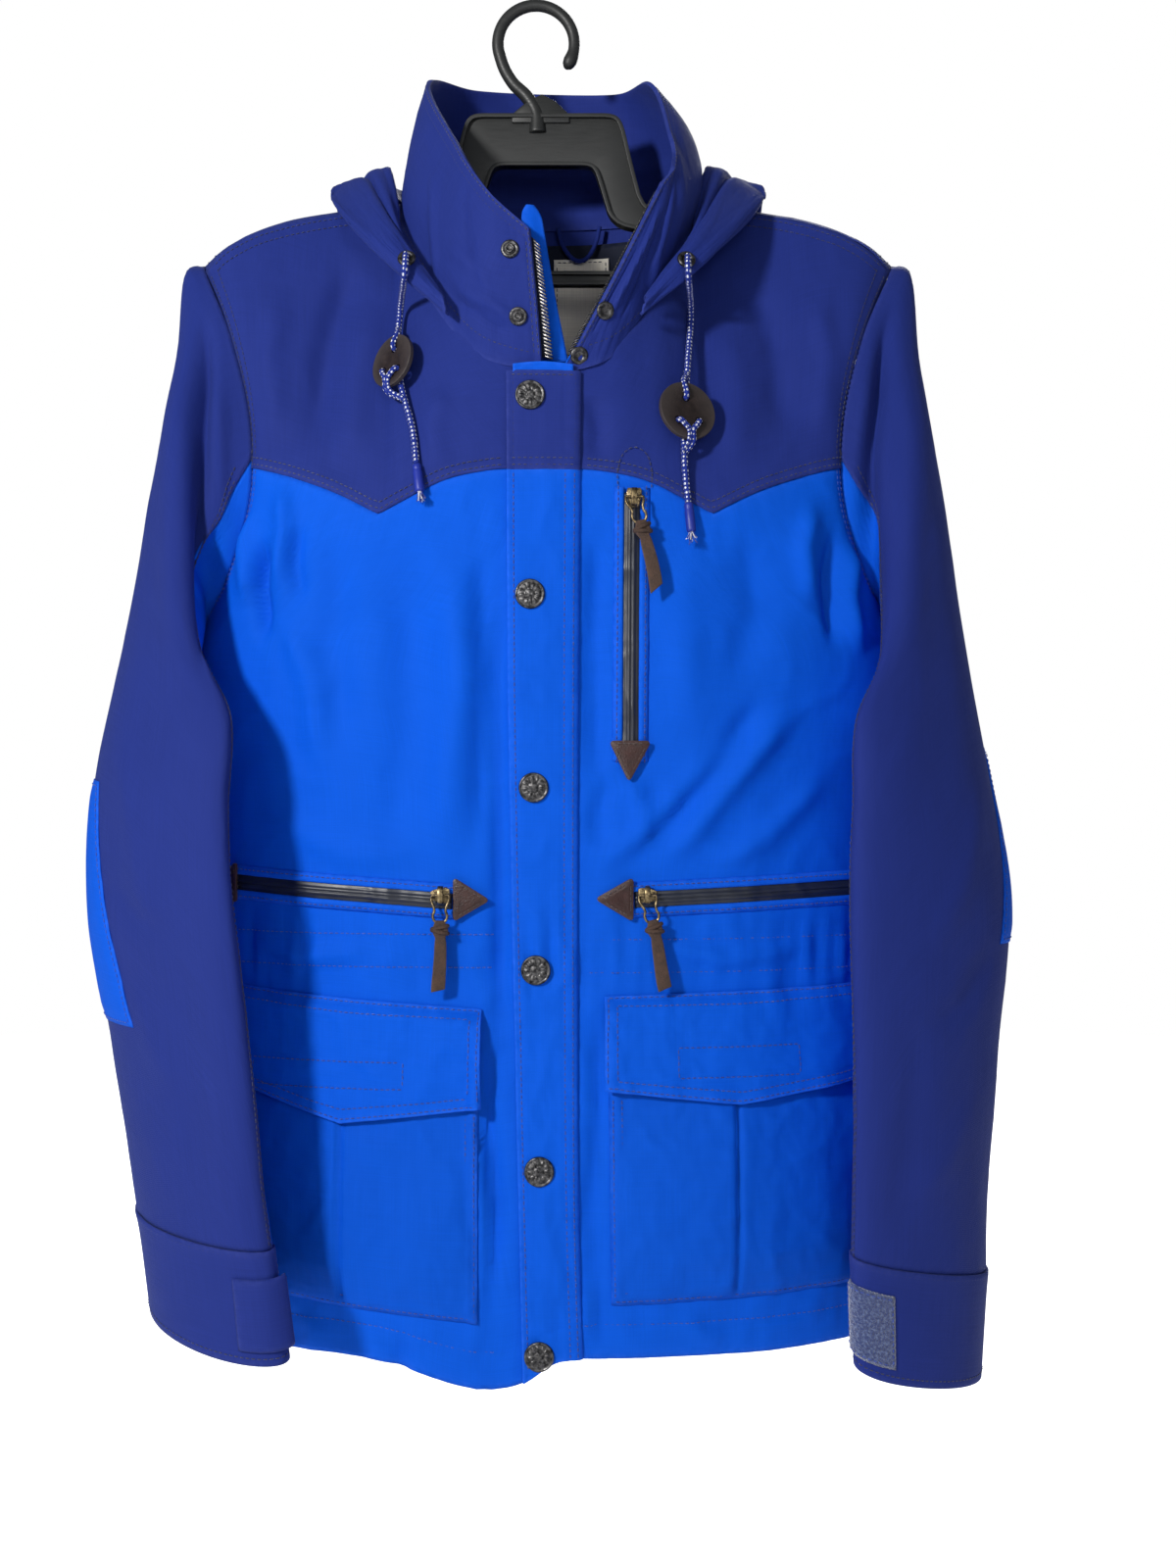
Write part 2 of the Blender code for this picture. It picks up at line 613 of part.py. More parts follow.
def lathe(name, centre, axis, profile, paint, segments=20):
    """A turned solid: profile pairs of radius and height along the axis; ends at radius 0 or a loop."""
    axis = Vector(axis).normalized()
    side = axis.orthogonal().normalized()
    other = axis.cross(side)
    points = []
    faces = []
    loops = []
    for radius, height in profile:
        start = len(points)
        if radius == 0:
            points.append(Vector(centre) + axis * height)
            loops.append([start] * segments)
        else:
            for k in range(segments):
                turn = 2 * math.pi * k / segments
                points.append(
                    Vector(centre) + axis * height + (side * math.cos(turn) + other * math.sin(turn)) * radius
                )
            loops.append(list(range(start, start + segments)))
    pairs = list(zip(loops, loops[1:]))
    if profile[0][0] and profile[-1][0]:
        pairs.append((loops[-1], loops[0]))
    for low, high in pairs:
        for k in range(segments):
            m = (k + 1) % segments
            corners = [low[k], low[m], high[m], high[k]]
            faces.append([c for n, c in enumerate(corners) if c not in corners[:n]])
    thing = add_mesh(name, [tuple(p) for p in points], faces, paint, True)
    outward(thing)
    return thing


def tube(name, points, diameter, paint, closed=False, resolution=2):
    """A round cord or wire on a polyline."""
    curve = bpy.data.curves.new(name, "CURVE")
    curve.dimensions = "3D"
    curve.bevel_depth = diameter / 2 * MM
    curve.bevel_resolution = resolution
    curve.render_resolution_u = 0
    curve.use_fill_caps = not closed
    spline = curve.splines.new("POLY")
    world = in_world(points)
    spline.points.add(len(world) - 1)
    for spot, point in zip(spline.points, world):
        spot.co = (*point, 1.0)
    spline.use_cyclic_u = closed
    thing = bpy.data.objects.new(name, curve)
    curve.materials.append(material(paint))
    bpy.context.scene.collection.objects.link(thing)
    return thing


# ---------------------------------------------------------------- body panels
FRONT_EDGE_U = 0.012  # each front ends this far from the middle, beside the zip
PANEL_COLUMNS = (1, 0.93, 0.85, 0.76, 0.66, 0.575, 0.49, 0.421, 0.36, 0.28, 0.19, 0.10, FRONT_EDGE_U)
YOKE_ROWS = 7


def front_columns(side):
    """Column places of one front, in order of x."""
    columns = np.array(PANEL_COLUMNS)
    return -columns if side == "right" else columns[::-1]


def panel_rows(form, seam):
    """Row places of a panel from the hem to its seam, with rows at the corner of the armhole."""
    corner = form.knots[5]
    low = np.array((0, 0.21, 0.42, 0.62, 0.81, 0.96, 1, 1.05, 1.10)) * corner
    rows = [np.full(len(seam), place) for place in low]
    rows.append((rows[-1] + seam) / 2)
    rows.append(seam)
    return np.array(rows)


def make_fronts(front):
    for side in ("right", "left"):
        u = front_columns(side)
        seam = front.v_on_curve(u, yoke_front_z)
        v = panel_rows(front, seam)
        grid = front.point(np.broadcast_to(u, v.shape), v)
        outer = {"first": 1.3} if side == "right" else {"last": 1.3}
        wall_of("front_" + side, trimmed(grid, high=0.4, **outer), "azure", CLOTH)
        v = between(seam, np.full(len(u), front.knots[-1]), np.linspace(0, 1, YOKE_ROWS))
        grid = front.point(np.broadcast_to(u, v.shape), v)
        wall_of("yoke_" + side, trimmed(grid, low=0.4, high=0.6), "indigo", CLOTH)


def make_backs(back):
    half = np.array(PANEL_COLUMNS[:-1])
    u = np.concatenate([-half, [0], half[::-1]])
    seam = back.v_on_curve(u, yoke_back_z)
    v = panel_rows(back, seam)
    grid = back.point(np.broadcast_to(u, v.shape), v)
    wall_of("back", trimmed(grid, high=0.4, first=1.3, last=1.3), "azure", CLOTH)
    v = between(seam, np.full(len(u), back.knots[-1]), (0, 0.2, 0.4, 0.6, 0.76, 0.88, 0.95, 1))
    grid = back.point(np.broadcast_to(u, v.shape), v)
    wall_of("back_yoke", trimmed(grid, low=0.4, high=0.9), "indigo", CLOTH)


# ---------------------------------------------------------------- sleeve pieces
SLEEVE_START = 3.4  # clear of the armhole seam
ELBOW_ROUND = {"right": (-0.20, 0.13), "left": (-0.25, 0.07)}
ELBOW_ALONG = {"right": (0.48, 0.765), "left": (0.43, 0.635)}


def make_sleeve(side, sleeve):
    cuff_seam = sleeve.knots[CUFF_FROM + 2]
    s = np.concatenate([[SLEEVE_START, 11], np.linspace(24, cuff_seam, 11)])
    share = s / cuff_seam
    under_front = smooth([p[0] for p in UNDER_FRONT], [p[1] for p in UNDER_FRONT], share)
    under_back = smooth([p[0] for p in UNDER_BACK], [p[1] for p in UNDER_BACK], share)

    columns = np.linspace(0, 1, 13)
    t = (under_back - 1)[:, None] * (1 - columns) + under_front[:, None] * columns
    grid = sleeve.point(np.broadcast_to(s[:, None], t.shape), t)
    wall_of("sleeve_" + side, trimmed(grid, high=0.5, first=1.6, last=1.6), "indigo", CLOTH)

    columns = np.array((0, 0.14, 0.27, 0.36, 0.43, 0.5, 0.57, 0.64, 0.74, 0.86, 1))
    t = under_front[:, None] * (1 - columns) + under_back[:, None] * columns
    grid = sleeve.point(np.broadcast_to(s[:, None], t.shape), t)
    wall_of("undersleeve_" + side, trimmed(grid, high=0.5, first=1.6, last=1.6), "azure", CLOTH)

    s, t = np.meshgrid(
        np.linspace(*ELBOW_ALONG[side], 6) * cuff_seam,
        np.linspace(*ELBOW_ROUND[side], 7),
        indexing="ij",
    )
    wall_of("elbow_" + side, sleeve.lay(s, t, CLOTH + 2.6), "azure", CLOTH)

    vent_low, vent_high = CUFF_VENT
    s, t = np.meshgrid(
        np.linspace(cuff_seam, sleeve.knots[-1], 4),
        np.linspace(vent_high - 1, vent_low, 19),
        indexing="ij",
    )
    wall_of("cuff_" + side, trimmed(sleeve.point(s, t), low=0.9), "indigo", CUFF_CLOTH)

    s, t = np.meshgrid(
        np.linspace(cuff_seam + 14, sleeve.knots[-1] - 8, 4),
        np.linspace(0.30, 0.43, 5),
        indexing="ij",
    )
    wall_of("cuff_tab_" + side, sleeve.lay(s, t, 3.9), "indigo", CUFF_CLOTH)


# ---------------------------------------------------------------- collar, hood and neck
COLLAR_LIFT = 0.03
GUARD_LEFT = ((-14, -88, -158), (-9, -85, -205), (-3, -82, -246))
GUARD_RIGHT = ((-3, -88, -158), (6, -85, -205), (14, -82, -246))


def make_collar(collar):
    c, r = np.meshgrid(np.linspace(0, 1, 27), np.linspace(COLLAR_LIFT, 1, 5))
    wall_of("collar", collar.point(c, r), "indigo", COLLAR_CLOTH)

    r = np.linspace(0.10, 0.93, 5)
    edge = collar.point(np.zeros(5), r)
    toward = edge - collar.point(np.full(5, 0.03), r)
    toward = toward / np.linalg.norm(toward, axis=1, keepdims=True)
    inward = -collar.normal(np.full(5, 0.02), r)
    grid = np.stack([edge + inward * 2.6 + toward * reach for reach in (-4, 1, 6, 11)], axis=1)
    wall_of("zip_front_right", grid, "zip_tape", TAPE)

    rows = np.linspace(0, 2, 5)
    left = smooth((0, 1, 2), GUARD_LEFT, rows)
    right = smooth((0, 1, 2), GUARD_RIGHT, rows)
    grid = np.stack([left * (1 - share) + right * share for share in (0, 0.5, 1)], axis=1)
    wall_of("collar_guard", grid, "azure", CLOTH)


def make_hood(hood):
    for side, low, high in (("right", 0.0, 0.5), ("left", 0.5, 1.0)):
        c, b = np.meshgrid(np.linspace(low, high, 11), np.linspace(0, 1, 13))
        inner_edge = {"last": 0.5} if side == "right" else {"first": 0.5}
        wall_of("hood_" + side, trimmed(hood.point(c, b), **inner_edge), "indigo", CLOTH)


LINING_HALF_WIDTH = 84
LINING_HEIGHTS = (-136, -345)
LABEL_X = (3, 42)
LABEL_HEIGHTS = (-146, -212)


def make_neck_lining(back):
    x, z = np.meshgrid(np.linspace(-1, 1, 9) * LINING_HALF_WIDTH, np.linspace(*LINING_HEIGHTS, 8))
    x = x * (1 - 0.22 * np.clip((z + 200) / 64, 0, 1))
    wall_of("neck_lining", back.lay(x, z, -4.4), "lining", CLOTH)
    x, z = np.meshgrid(np.linspace(*LABEL_X, 4), np.linspace(*LABEL_HEIGHTS, 4))
    wall_of("label", back.lay(x, z, -6.9), "label", 1.0)


# ---------------------------------------------------------------- what lies on the fronts
POCKET_OUT = 3.3
FLAP_OUT = 7.0
PLACKET_OUT = 3.4
ZIP_OUT = 2.9
ENDS_OUT = 5.2
POCKET_RIGHT = ((-196, -644), (-40, -652), (-40, -829), (-192, -815))
POCKET_LEFT = ((38, -643), (196, -643), (192, -815), (40, -818))
FLAP_RIGHT = ((-197, -631), (-38, -642), (-38, -701), (-121, -711), (-197, -688))
FLAP_LEFT = ((36, -634), (197, -630), (197, -688), (117, -700), (36, -690))
FLAP_TIP_SHARE = {"right": 0.48, "left": 0.5}


def quad_grid(corners, across, down):
    """x and z on a grid spread over four corners: top right, top left, bottom left, bottom right."""
    corners = np.array(corners, float)
    s, t = np.meshgrid(np.linspace(0, 1, across), np.linspace(0, 1, down))
    s = s[..., None]
    t = t[..., None]
    spot = (corners[0] * (1 - s) + corners[1] * s) * (1 - t) + (corners[3] * (1 - s) + corners[2] * s) * t
    return spot[..., 0], spot[..., 1], s[..., 0], t[..., 0]


def make_pocket(side, front):
    corners = POCKET_RIGHT if side == "right" else POCKET_LEFT
    x, z, s, t = quad_grid(corners, 9, 8)
    fullness = 6.0 * np.clip(np.sin(math.pi * s), 0, 1) ** 0.7 * np.clip((t - 0.2) / 0.5, 0, 1)
    fullness = fullness * np.clip((1 - t) / 0.15, 0, 1)
    wall_of("pocket_" + side, front.lay(x, z, POCKET_OUT + fullness), "azure", CLOTH)

    top_right, top_left, low_left, tip, low_right = FLAP_RIGHT if side == "right" else FLAP_LEFT
    tip_share = FLAP_TIP_SHARE[side]
    shares = np.concatenate([np.linspace(0, tip_share, 5), np.linspace(tip_share, 1, 5)[1:]])
    top = between(top_right, top_left, shares)
    bottom = np.concatenate([
        between(low_right, tip, np.linspace(0, 1, 5)),
        between(tip, low_left, np.linspace(0, 1, 5))[1:],
    ])
    spot = np.stack([top * (1 - t) + bottom * t for t in (0, 0.35, 0.7, 1)])
    out = FLAP_OUT + np.array((0, 1.5, 3.0, 3.5))[:, None]
    wall_of("flap_" + side, front.lay(spot[..., 0], spot[..., 1], out), "azure", CLOTH)


PLACKET_EDGE = ((-257, -23), (-440, -22), (-620, -19), (-780, -15), (-875, -12.5))
PLACKET_STITCHED = ((-257, 21.5), (-440, 20), (-620, 19.5), (-780, 20.5), (-875, 23.5))
PLACKET_TOP = -257
PLACKET_SPLIT = -317
SNAPS = ((-8.8, -272.5), (-8.8, -392), (-6.6, -508), (-5.4, -618), (-3.1, -738), (-3.1, -847.5))


def placket_x(heights, share):
    """x across the placket at a share of its width from the free edge."""
    low = smooth([-p[0] for p in PLACKET_EDGE], [p[1] for p in PLACKET_EDGE], -heights)
    high = smooth([-p[0] for p in PLACKET_STITCHED], [p[1] for p in PLACKET_STITCHED], -heights)
    return low * (1 - share) + high * share


def make_placket(front):
    shares = np.linspace(0, 1, 4)
    for name, top, bottom, rows, paint in (
        ("placket_yoke", PLACKET_TOP, PLACKET_SPLIT + 0.6, 4, "indigo"),
        ("placket", PLACKET_SPLIT - 0.6, None, 16, "azure"),
    ):
        grids_x = []
        grids_z = []
        for share in shares:
            end = bottom
            if end is None:
                x_low = placket_x(np.array([-870.0]), share)
                end = front.point(x_low / 214 * 0.65, np.zeros(1))[0, 2] - 1.0
            z = np.linspace(top, end, rows)
            grids_x.append(placket_x(z, share))
            grids_z.append(z)
        x = np.stack(grids_x, axis=1)
        z = np.stack(grids_z, axis=1)
        wall_of(name, front.lay(x, np.maximum(z, -874), PLACKET_OUT), paint, CLOTH)


def spot_on(front, x, z, out):
    """A point over the front, and the way out from the cloth there."""
    u, v = front.place(np.array([float(x)]), np.array([float(z)]))
    normal = front.normal(u, v)[0]
    return front.point(u, v)[0] + normal * out, normal


def facing_spot(form, x, z, low, high):
    """The frontmost place on a form at the given x and z, searched over its two parameters."""
    a, b = np.meshgrid(np.linspace(low[0], high[0], 61), np.linspace(low[1], high[1], 61))
    spots = form.point(a, b)
    miss = np.hypot(spots[..., 0] - x, spots[..., 2] - z) + 0.05 * spots[..., 1]
    best = np.unravel_index(np.argmin(miss), miss.shape)
    normal = form.normal(np.array([a[best]]), np.array([b[best]]))[0]
    if normal[1] > 0:
        normal = -normal
    return spots[best], normal


STUDS = ((-20.5, -187), (-16, -226))
GROMMETS = {"right": (-84, -188), "left": (86, -188)}


def make_studs(collar):
    profile = ((0, 0), (5.4, 0), (5.4, 0.8), (2.6, 1.2), (2.4, 2.6), (0, 2.8))
    for number, (x, z) in enumerate(STUDS, 1):
        centre, normal = facing_spot(collar, x, z, (0.0, 0.0), (0.3, 1.0))
        centre = centre + normal * (COLLAR_CLOTH / 2 + 0.5)
        lathe("stud_%d" % number, centre, normal, profile, "metal", 16)


def make_grommets(hood):
    """Both grommets; returns their centres and the way out of them."""
    found = {}
    for side, (x, z) in GROMMETS.items():
        low, high = ((0.02, 0.0), (0.22, 1.0)) if side == "right" else ((0.78, 0.0), (0.98, 1.0))
        centre, normal = facing_spot(hood, x, z, low, high)
        centre = centre + normal * (CLOTH / 2 + 0.6)
        make_ring("grommet_" + side, centre, normal, 2.6, 5.2, 1.4, "metal")
        found[side] = (centre, normal)
    return found


def make_snaps(front):
    profile = ((0, 0), (8.4, 0), (9.0, 0.8), (8.6, 2.0), (6.0, 2.8), (0, 3.0))
    for number, (x, z) in enumerate(SNAPS, 1):
        centre, normal = spot_on(front, x, z, PLACKET_OUT + CLOTH / 2 + 0.45)
        lathe("snap_%d" % number, centre, normal, profile, "metal")


ZIP_CHEST = ((52.5, -331), (51.5, -489))
ZIP_HAND_RIGHT = ((-56, -577), (-192, -567))
ZIP_HAND_LEFT = ((54, -576), (192, -570))
ZIP_HALF = 6.2
END_CHEST = ((38.6, -480), (63.8, -480), (50.3, -505))
ENDS_HAND_RIGHT = ((-55, -562), (-55, -589), (-33, -576))
ENDS_HAND_LEFT = ((53, -562), (53, -589), (30, -575))


def make_zip(name, front, ends, columns):
    (x0, z0), (x1, z1) = ends
    length = math.hypot(x1 - x0, z1 - z0)
    side_x = -(z1 - z0) / length * ZIP_HALF
    side_z = (x1 - x0) / length * ZIP_HALF
    s, t = np.meshgrid(np.linspace(0, 1, columns), (-1, 0, 1))
    x = x0 + (x1 - x0) * s + side_x * t
    z = z0 + (z1 - z0) * s + side_z * t
    wall_of(name, front.lay(x, z, ZIP_OUT), "zip_tape", TAPE)


def make_leather_end(name, front, corners):
    """A triangle of leather: its base, its tip, and a middle row."""
    a, b, tip = (np.array(p, float) for p in corners)
    rows = []
    for share in (0, 0.5, 0.93):
        low = a * (1 - share) + tip * share
        high = b * (1 - share) + tip * share
        rows.append(np.stack([low, (low + high) / 2, high]))
    spot = np.stack(rows)
    wall_of(name, front.lay(spot[..., 0], spot[..., 1], ENDS_OUT), "leather", LEATHER)


def outer_end(zip_ends, reach):
    """The triangle over a hand zip's far end, mirrored about the end of its tape."""
    (_, _), (x, z) = zip_ends
    away = math.copysign(1, x)
    return ((x - away * 2, z + 13), (x - away * 2, z - 13), (x + away * reach, z - 2))


# ---------------------------------------------------------------- sliders and pulls
SLIDERS = {
    "chest": (53.5, -334, 12.8, -0.24),
    "hand_right": (-62.5, -573, 0.6, 0.0),
    "hand_left": (61.5, -573, 13.0, -0.2),
}
SLIDER_WIDTH = 7.0
SLIDER_HEIGHT = 12.0
BRIDGE_OUT = 5.4
WIRE = 1.7
PULL_DROP = 57


def make_slider(name, front, x, z):
    """A slider with a bridge; returns the middle of the tunnel under it."""
    centre, _ = spot_on(front, x, z, ZIP_OUT + TAPE / 2 + 0.45)
    h = SLIDER_HEIGHT / 2
    outer = ((h, 0), (h, 2.2), (h - 1.6, 4.6), (h - 3.4, BRIDGE_OUT), (-h + 3.4, BRIDGE_OUT), (-h + 1.6, 4.6), (-h, 2.2), (-h, 0))
    inner = ((3.0, 1.4), (3.0, 2.0), (2.8, 3.4), (2.2, 4.1), (-2.2, 4.1), (-2.8, 3.4), (-3.0, 2.0), (-3.0, 1.4))
    outer = [(centre[0] - SLIDER_WIDTH / 2, centre[1] - out, centre[2] + up) for up, out in outer]
    inner = [(centre[0] - SLIDER_WIDTH / 2, centre[1] - out, centre[2] + up) for up, out in inner]
    ring_prism("slider_" + name, outer, inner, (SLIDER_WIDTH, 0, 0), "metal")
    return centre + np.array((0, -2.75, 0))


def make_pull(name, pivot, lean):
    """A wire loop through the slider's bridge with a leather strap on it."""
    half = SLIDER_WIDTH / 2 + 2.2
    drop = 16
    front_of = 2.2  # the loop leans out past the slider's lower end
    loop = [(-half, 0, 0), (half, 0, 0), (half, -front_of, -4), (half * 0.8, -front_of, -drop + 4),
            (half * 0.35, -front_of, -drop), (-half * 0.35, -front_of, -drop), (-half * 0.8, -front_of, -drop + 4),
            (-half, -front_of, -4)]
    loop = [pivot + np.array(p) for p in loop]
    wire = tube("pull_" + name, loop, WIRE, "metal", closed=True)
    bottom = -PULL_DROP
    strap = []
    for x, z in ((-1.6, -drop + 2.2), (1.6, -drop + 2.2), (3.4, -drop - 6), (4.2, bottom + 16), (4.4, bottom),
                 (-4.4, bottom), (-4.2, bottom + 16), (-3.4, -drop - 6)):
        strap.append(pivot + np.array((x, -front_of - 1.6, z)))
    strap = prism("strap_cutter", strap, (0, 3.2, 0), "leather")
    return join(wire, strap, pivot, lean)


def join(wire, strap, pivot, lean):
    """One solid from the wire and the strap, leaning sideways about the pivot."""
    depsgraph = bpy.context.evaluated_depsgraph_get()
    mesh = bpy.data.meshes.new_from_object(wire.evaluated_get(depsgraph))
    name = wire.name
    bpy.data.objects.remove(wire, do_unlink=True)
    thing = bpy.data.objects.new(name, mesh)
    bpy.context.scene.collection.objects.link(thing)
    turn = Matrix.Translation(Vector(in_world(pivot)[0])) @ Matrix.Rotation(lean, 4, "Y")
    turn = turn @ Matrix.Translation(-Vector(in_world(pivot)[0]))
    union = thing.modifiers.new("Strap", "BOOLEAN")
    union.operation = "UNION"
    union.solver = "EXACT"
    union.object = strap
    strap.hide_render = True
    strap.display_type = "WIRE"
    for part in (thing.data, strap.data):
        sheet = bmesh.new()
        sheet.from_mesh(part)
        keep = [v for v in sheet.verts]
        for vertex in keep:
            low = Vector(vertex.co)
            moved = turn @ low
            share = min(max((Vector(in_world(pivot)[0]).z - low.z) / (8 * MM), 0.0), 1.0)
            vertex.co = low.lerp(moved, share)
        sheet.to_mesh(part)
        sheet.free()
    return thing


# ---------------------------------------------------------------- drawcords
CORD = 4.0
CORD_RIGHT = ((-86, -214, 6.5), (-87, -234, 6.5), (-85, -262, 6.5), (-79, -292, 4.2), (-76.5, -314, 4.2))
CORD_LEFT = ((85, -214, 6.5), (83, -256, 6.5), (82, -292, 6.5), (84, -320, 4.2), (86, -337, 4.2))
TOGGLES = {"right": (-86.5, -249, 17.0), "left": (81.5, -283, 18.5)}
TIP_LENGTH = 18


def make_drawcord(side, front, rows, grommet):
    rows = np.array(rows, float)
    laid = front.lay(rows[:, 0], rows[:, 1], rows[:, 2])
    centre, normal = grommet
    start = centre + normal * (1.4 + CORD / 2 + 1.0)
    over_brim = start + (0, -4.0, -9)
    points = along(np.concatenate([[start], [over_brim], laid]), np.linspace(0, 1, 18))
    tube("cord_" + side, points, CORD, "cord")
    way = points[-1] - points[-2]
    way = way / np.linalg.norm(way)
    lathe("cord_tip_" + side, points[-1] + way * 0.4, way,
          ((0, 0), (2.9, 0), (2.9, TIP_LENGTH), (0, TIP_LENGTH)), "cord_tip", 12)
    x, z, radius = TOGGLES[side]
    centre, normal = spot_on(front, x, z, 6.5 + CORD / 2 + 0.5)
    disc = lathe("toggle_" + side, centre, normal, ((0, 0), (radius, 0), (radius, 3.0), (0, 3.0)), "leather", 22)
    for number, (across, up) in enumerate(((0, 0.45), (-0.38, -0.35), (0.38, -0.35))):
        hole = centre + np.array((across * radius, 0, up * radius))
        cutter = lathe("hole_%s_%d" % (side, number), hole - normal * 4, normal,
                       ((0, 0), (2.6, 0), (2.6, 14), (0, 14)), "leather", 10)
        cutter.hide_render = True
        cutter.display_type = "WIRE"
        cut = disc.modifiers.new("Hole", "BOOLEAN")
        cut.operation = "DIFFERENCE"
        cut.solver = "EXACT"
        cut.object = cutter


def make_ring(name, centre, normal, inner, outer, height, paint):
    """A flat ring with a round-edged rim."""
    profile = ((inner, 0), (outer, 0), (outer, height * 0.5), (outer - 0.8, height), (inner, height))
    lathe(name, centre, normal, profile, paint, 20)


# ---------------------------------------------------------------- hanger
HANGER_DEPTH = 9.0
HANGER_Y = 3.0
HOOK_INNER = 21.0
HOOK_BAR = 8.0
HANGER_OUTER = ((0, -68), (28, -68), (46, -68), (52, -74), (58, -101), (66, -131), (92, -136), (128, -139),
                (165, -146), (192, -156), (206, -164), (204, -177), (186, -180), (120, -180), (60, -180), (0, -180))
HANGER_WINDOW = ((0, -102), (14, -102), (28, -102), (33, -104), (37, -116), (44, -140), (70, -146), (100, -148),
                 (132, -152), (160, -160), (176, -166), (178, -169), (168, -171), (110, -171), (56, -171), (0, -171))
HANGER_CENTRE_X = -3


def mirrored_loop(half):
    """A closed loop from its left half, which starts and ends on the middle line."""
    right = [(-x, z) for x, z in reversed(half[1:-1])]
    return [(x + HANGER_CENTRE_X, z) for x, z in list(half) + right]


def make_hanger():
    outer = [(x, HANGER_Y - HANGER_DEPTH / 2, z) for x, z in mirrored_loop(HANGER_OUTER)]
    inner = [(x, HANGER_Y - HANGER_DEPTH / 2, z) for x, z in mirrored_loop(HANGER_WINDOW)]
    hanger = ring_prism("hanger", outer, inner, (0, HANGER_DEPTH, 0), "hanger")
    middle = HOOK_INNER + HOOK_BAR / 2
    centre = np.array((-HOOK_SIDE, HANGER_Y, -HOOK_INNER))
    path = []
    for degrees in np.linspace(-40, 200, 25):
        turn = math.radians(degrees)
        path.append(centre + middle * np.array((math.cos(turn), 0, math.sin(turn))))
    neck = [(-HOOK_SIDE - 21, HANGER_Y, -37), (-HOOK_SIDE - 15, HANGER_Y, -47), (-HOOK_SIDE - 6, HANGER_Y, -56),
            (-HOOK_SIDE, HANGER_Y, -66), (-HOOK_SIDE + 1, HANGER_Y, -80)]
    path = np.concatenate([path, neck])
    shares = np.linspace(0, 1, 34)
    hook = tube("hook_cutter", along(path, shares), HOOK_BAR, "hanger", resolution=3)
    depsgraph = bpy.context.evaluated_depsgraph_get()
    mesh = bpy.data.meshes.new_from_object(hook.evaluated_get(depsgraph))
    bpy.data.objects.remove(hook, do_unlink=True)
    hook = bpy.data.objects.new("hook_cutter", mesh)
    bpy.context.scene.collection.objects.link(hook)
    hook.hide_render = True
    hook.display_type = "WIRE"
    union = hanger.modifiers.new("Hook", "BOOLEAN")
    union.operation = "UNION"
    union.solver = "EXACT"
    union.object = hook


# ---------------------------------------------------------------- build
def build():
    clear_scene()
    front = BodySide("front")
    back = BodySide("back")
    make_fronts(front)
    make_backs(back)
    make_sleeve("right", Sleeve(-1, SLEEVE_RIGHT_RINGS))
    make_sleeve("left", Sleeve(1, SLEEVE_LEFT_RINGS))
    collar = Collar()
    make_collar(collar)
    hood = Hood()
    make_hood(hood)
    make_studs(collar)
    grommets = make_grommets(hood)
    make_neck_lining(back)
    for side in ("right", "left"):
        make_pocket(side, front)
    make_placket(front)
    make_snaps(front)
    make_zip("zip_chest", front, ZIP_CHEST, 7)
    make_zip("zip_hand_right", front, ZIP_HAND_RIGHT, 9)
    make_zip("zip_hand_left", front, ZIP_HAND_LEFT, 9)
    make_leather_end("end_chest", front, END_CHEST)
    make_leather_end("end_hand_right_in", front, ENDS_HAND_RIGHT)
    make_leather_end("end_hand_left_in", front, ENDS_HAND_LEFT)
    make_leather_end("end_hand_right_out", front, outer_end(ZIP_HAND_RIGHT, 14))
    make_leather_end("end_hand_left_out", front, outer_end(ZIP_HAND_LEFT, 14))
    for name, (x, z, _, lean) in SLIDERS.items():
        pivot = make_slider(name, front, x, z)
        make_pull(name, pivot, lean)
    make_drawcord("right", front, CORD_RIGHT, grommets["right"])
    make_drawcord("left", front, CORD_LEFT, grommets["left"])
    make_hanger()


build()
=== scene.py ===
"""Looks of a hooded field jacket on a coat hanger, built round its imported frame.

Lengths are millimetres in the garment's own frame, whose middle is x = 0; in_world() turns them into
Blender's metres, with the origin inside the top of the hanger's hook. "right" and "left" are the
wearer's, so right pieces have negative x and show on the left of the picture.

The body, sleeves, collar and hood are smooth forms. A relief, made of folds placed one by one and of
seeded noise, lifts or sinks each form's cloth, and whatever lies on a panel follows the panel's relief.
"""

import math

import bmesh
import bpy
import numpy as np
from mathutils import Matrix, Vector


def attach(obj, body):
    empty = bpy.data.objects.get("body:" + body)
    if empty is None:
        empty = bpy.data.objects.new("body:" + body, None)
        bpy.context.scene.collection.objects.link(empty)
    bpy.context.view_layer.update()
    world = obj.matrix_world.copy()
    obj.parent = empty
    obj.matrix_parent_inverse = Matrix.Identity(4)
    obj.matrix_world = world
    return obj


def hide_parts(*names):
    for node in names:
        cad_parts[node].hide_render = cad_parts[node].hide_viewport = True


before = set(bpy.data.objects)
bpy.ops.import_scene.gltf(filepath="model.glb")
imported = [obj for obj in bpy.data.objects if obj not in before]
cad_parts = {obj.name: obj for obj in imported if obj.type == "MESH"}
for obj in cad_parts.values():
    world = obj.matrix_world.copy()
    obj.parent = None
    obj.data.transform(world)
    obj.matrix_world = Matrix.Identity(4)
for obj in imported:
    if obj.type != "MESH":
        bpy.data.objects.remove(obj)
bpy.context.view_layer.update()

MM = 0.001
HOOK_SIDE = 8  # the garment's middle hangs this far to the left of the hook
BODY = "jacket"

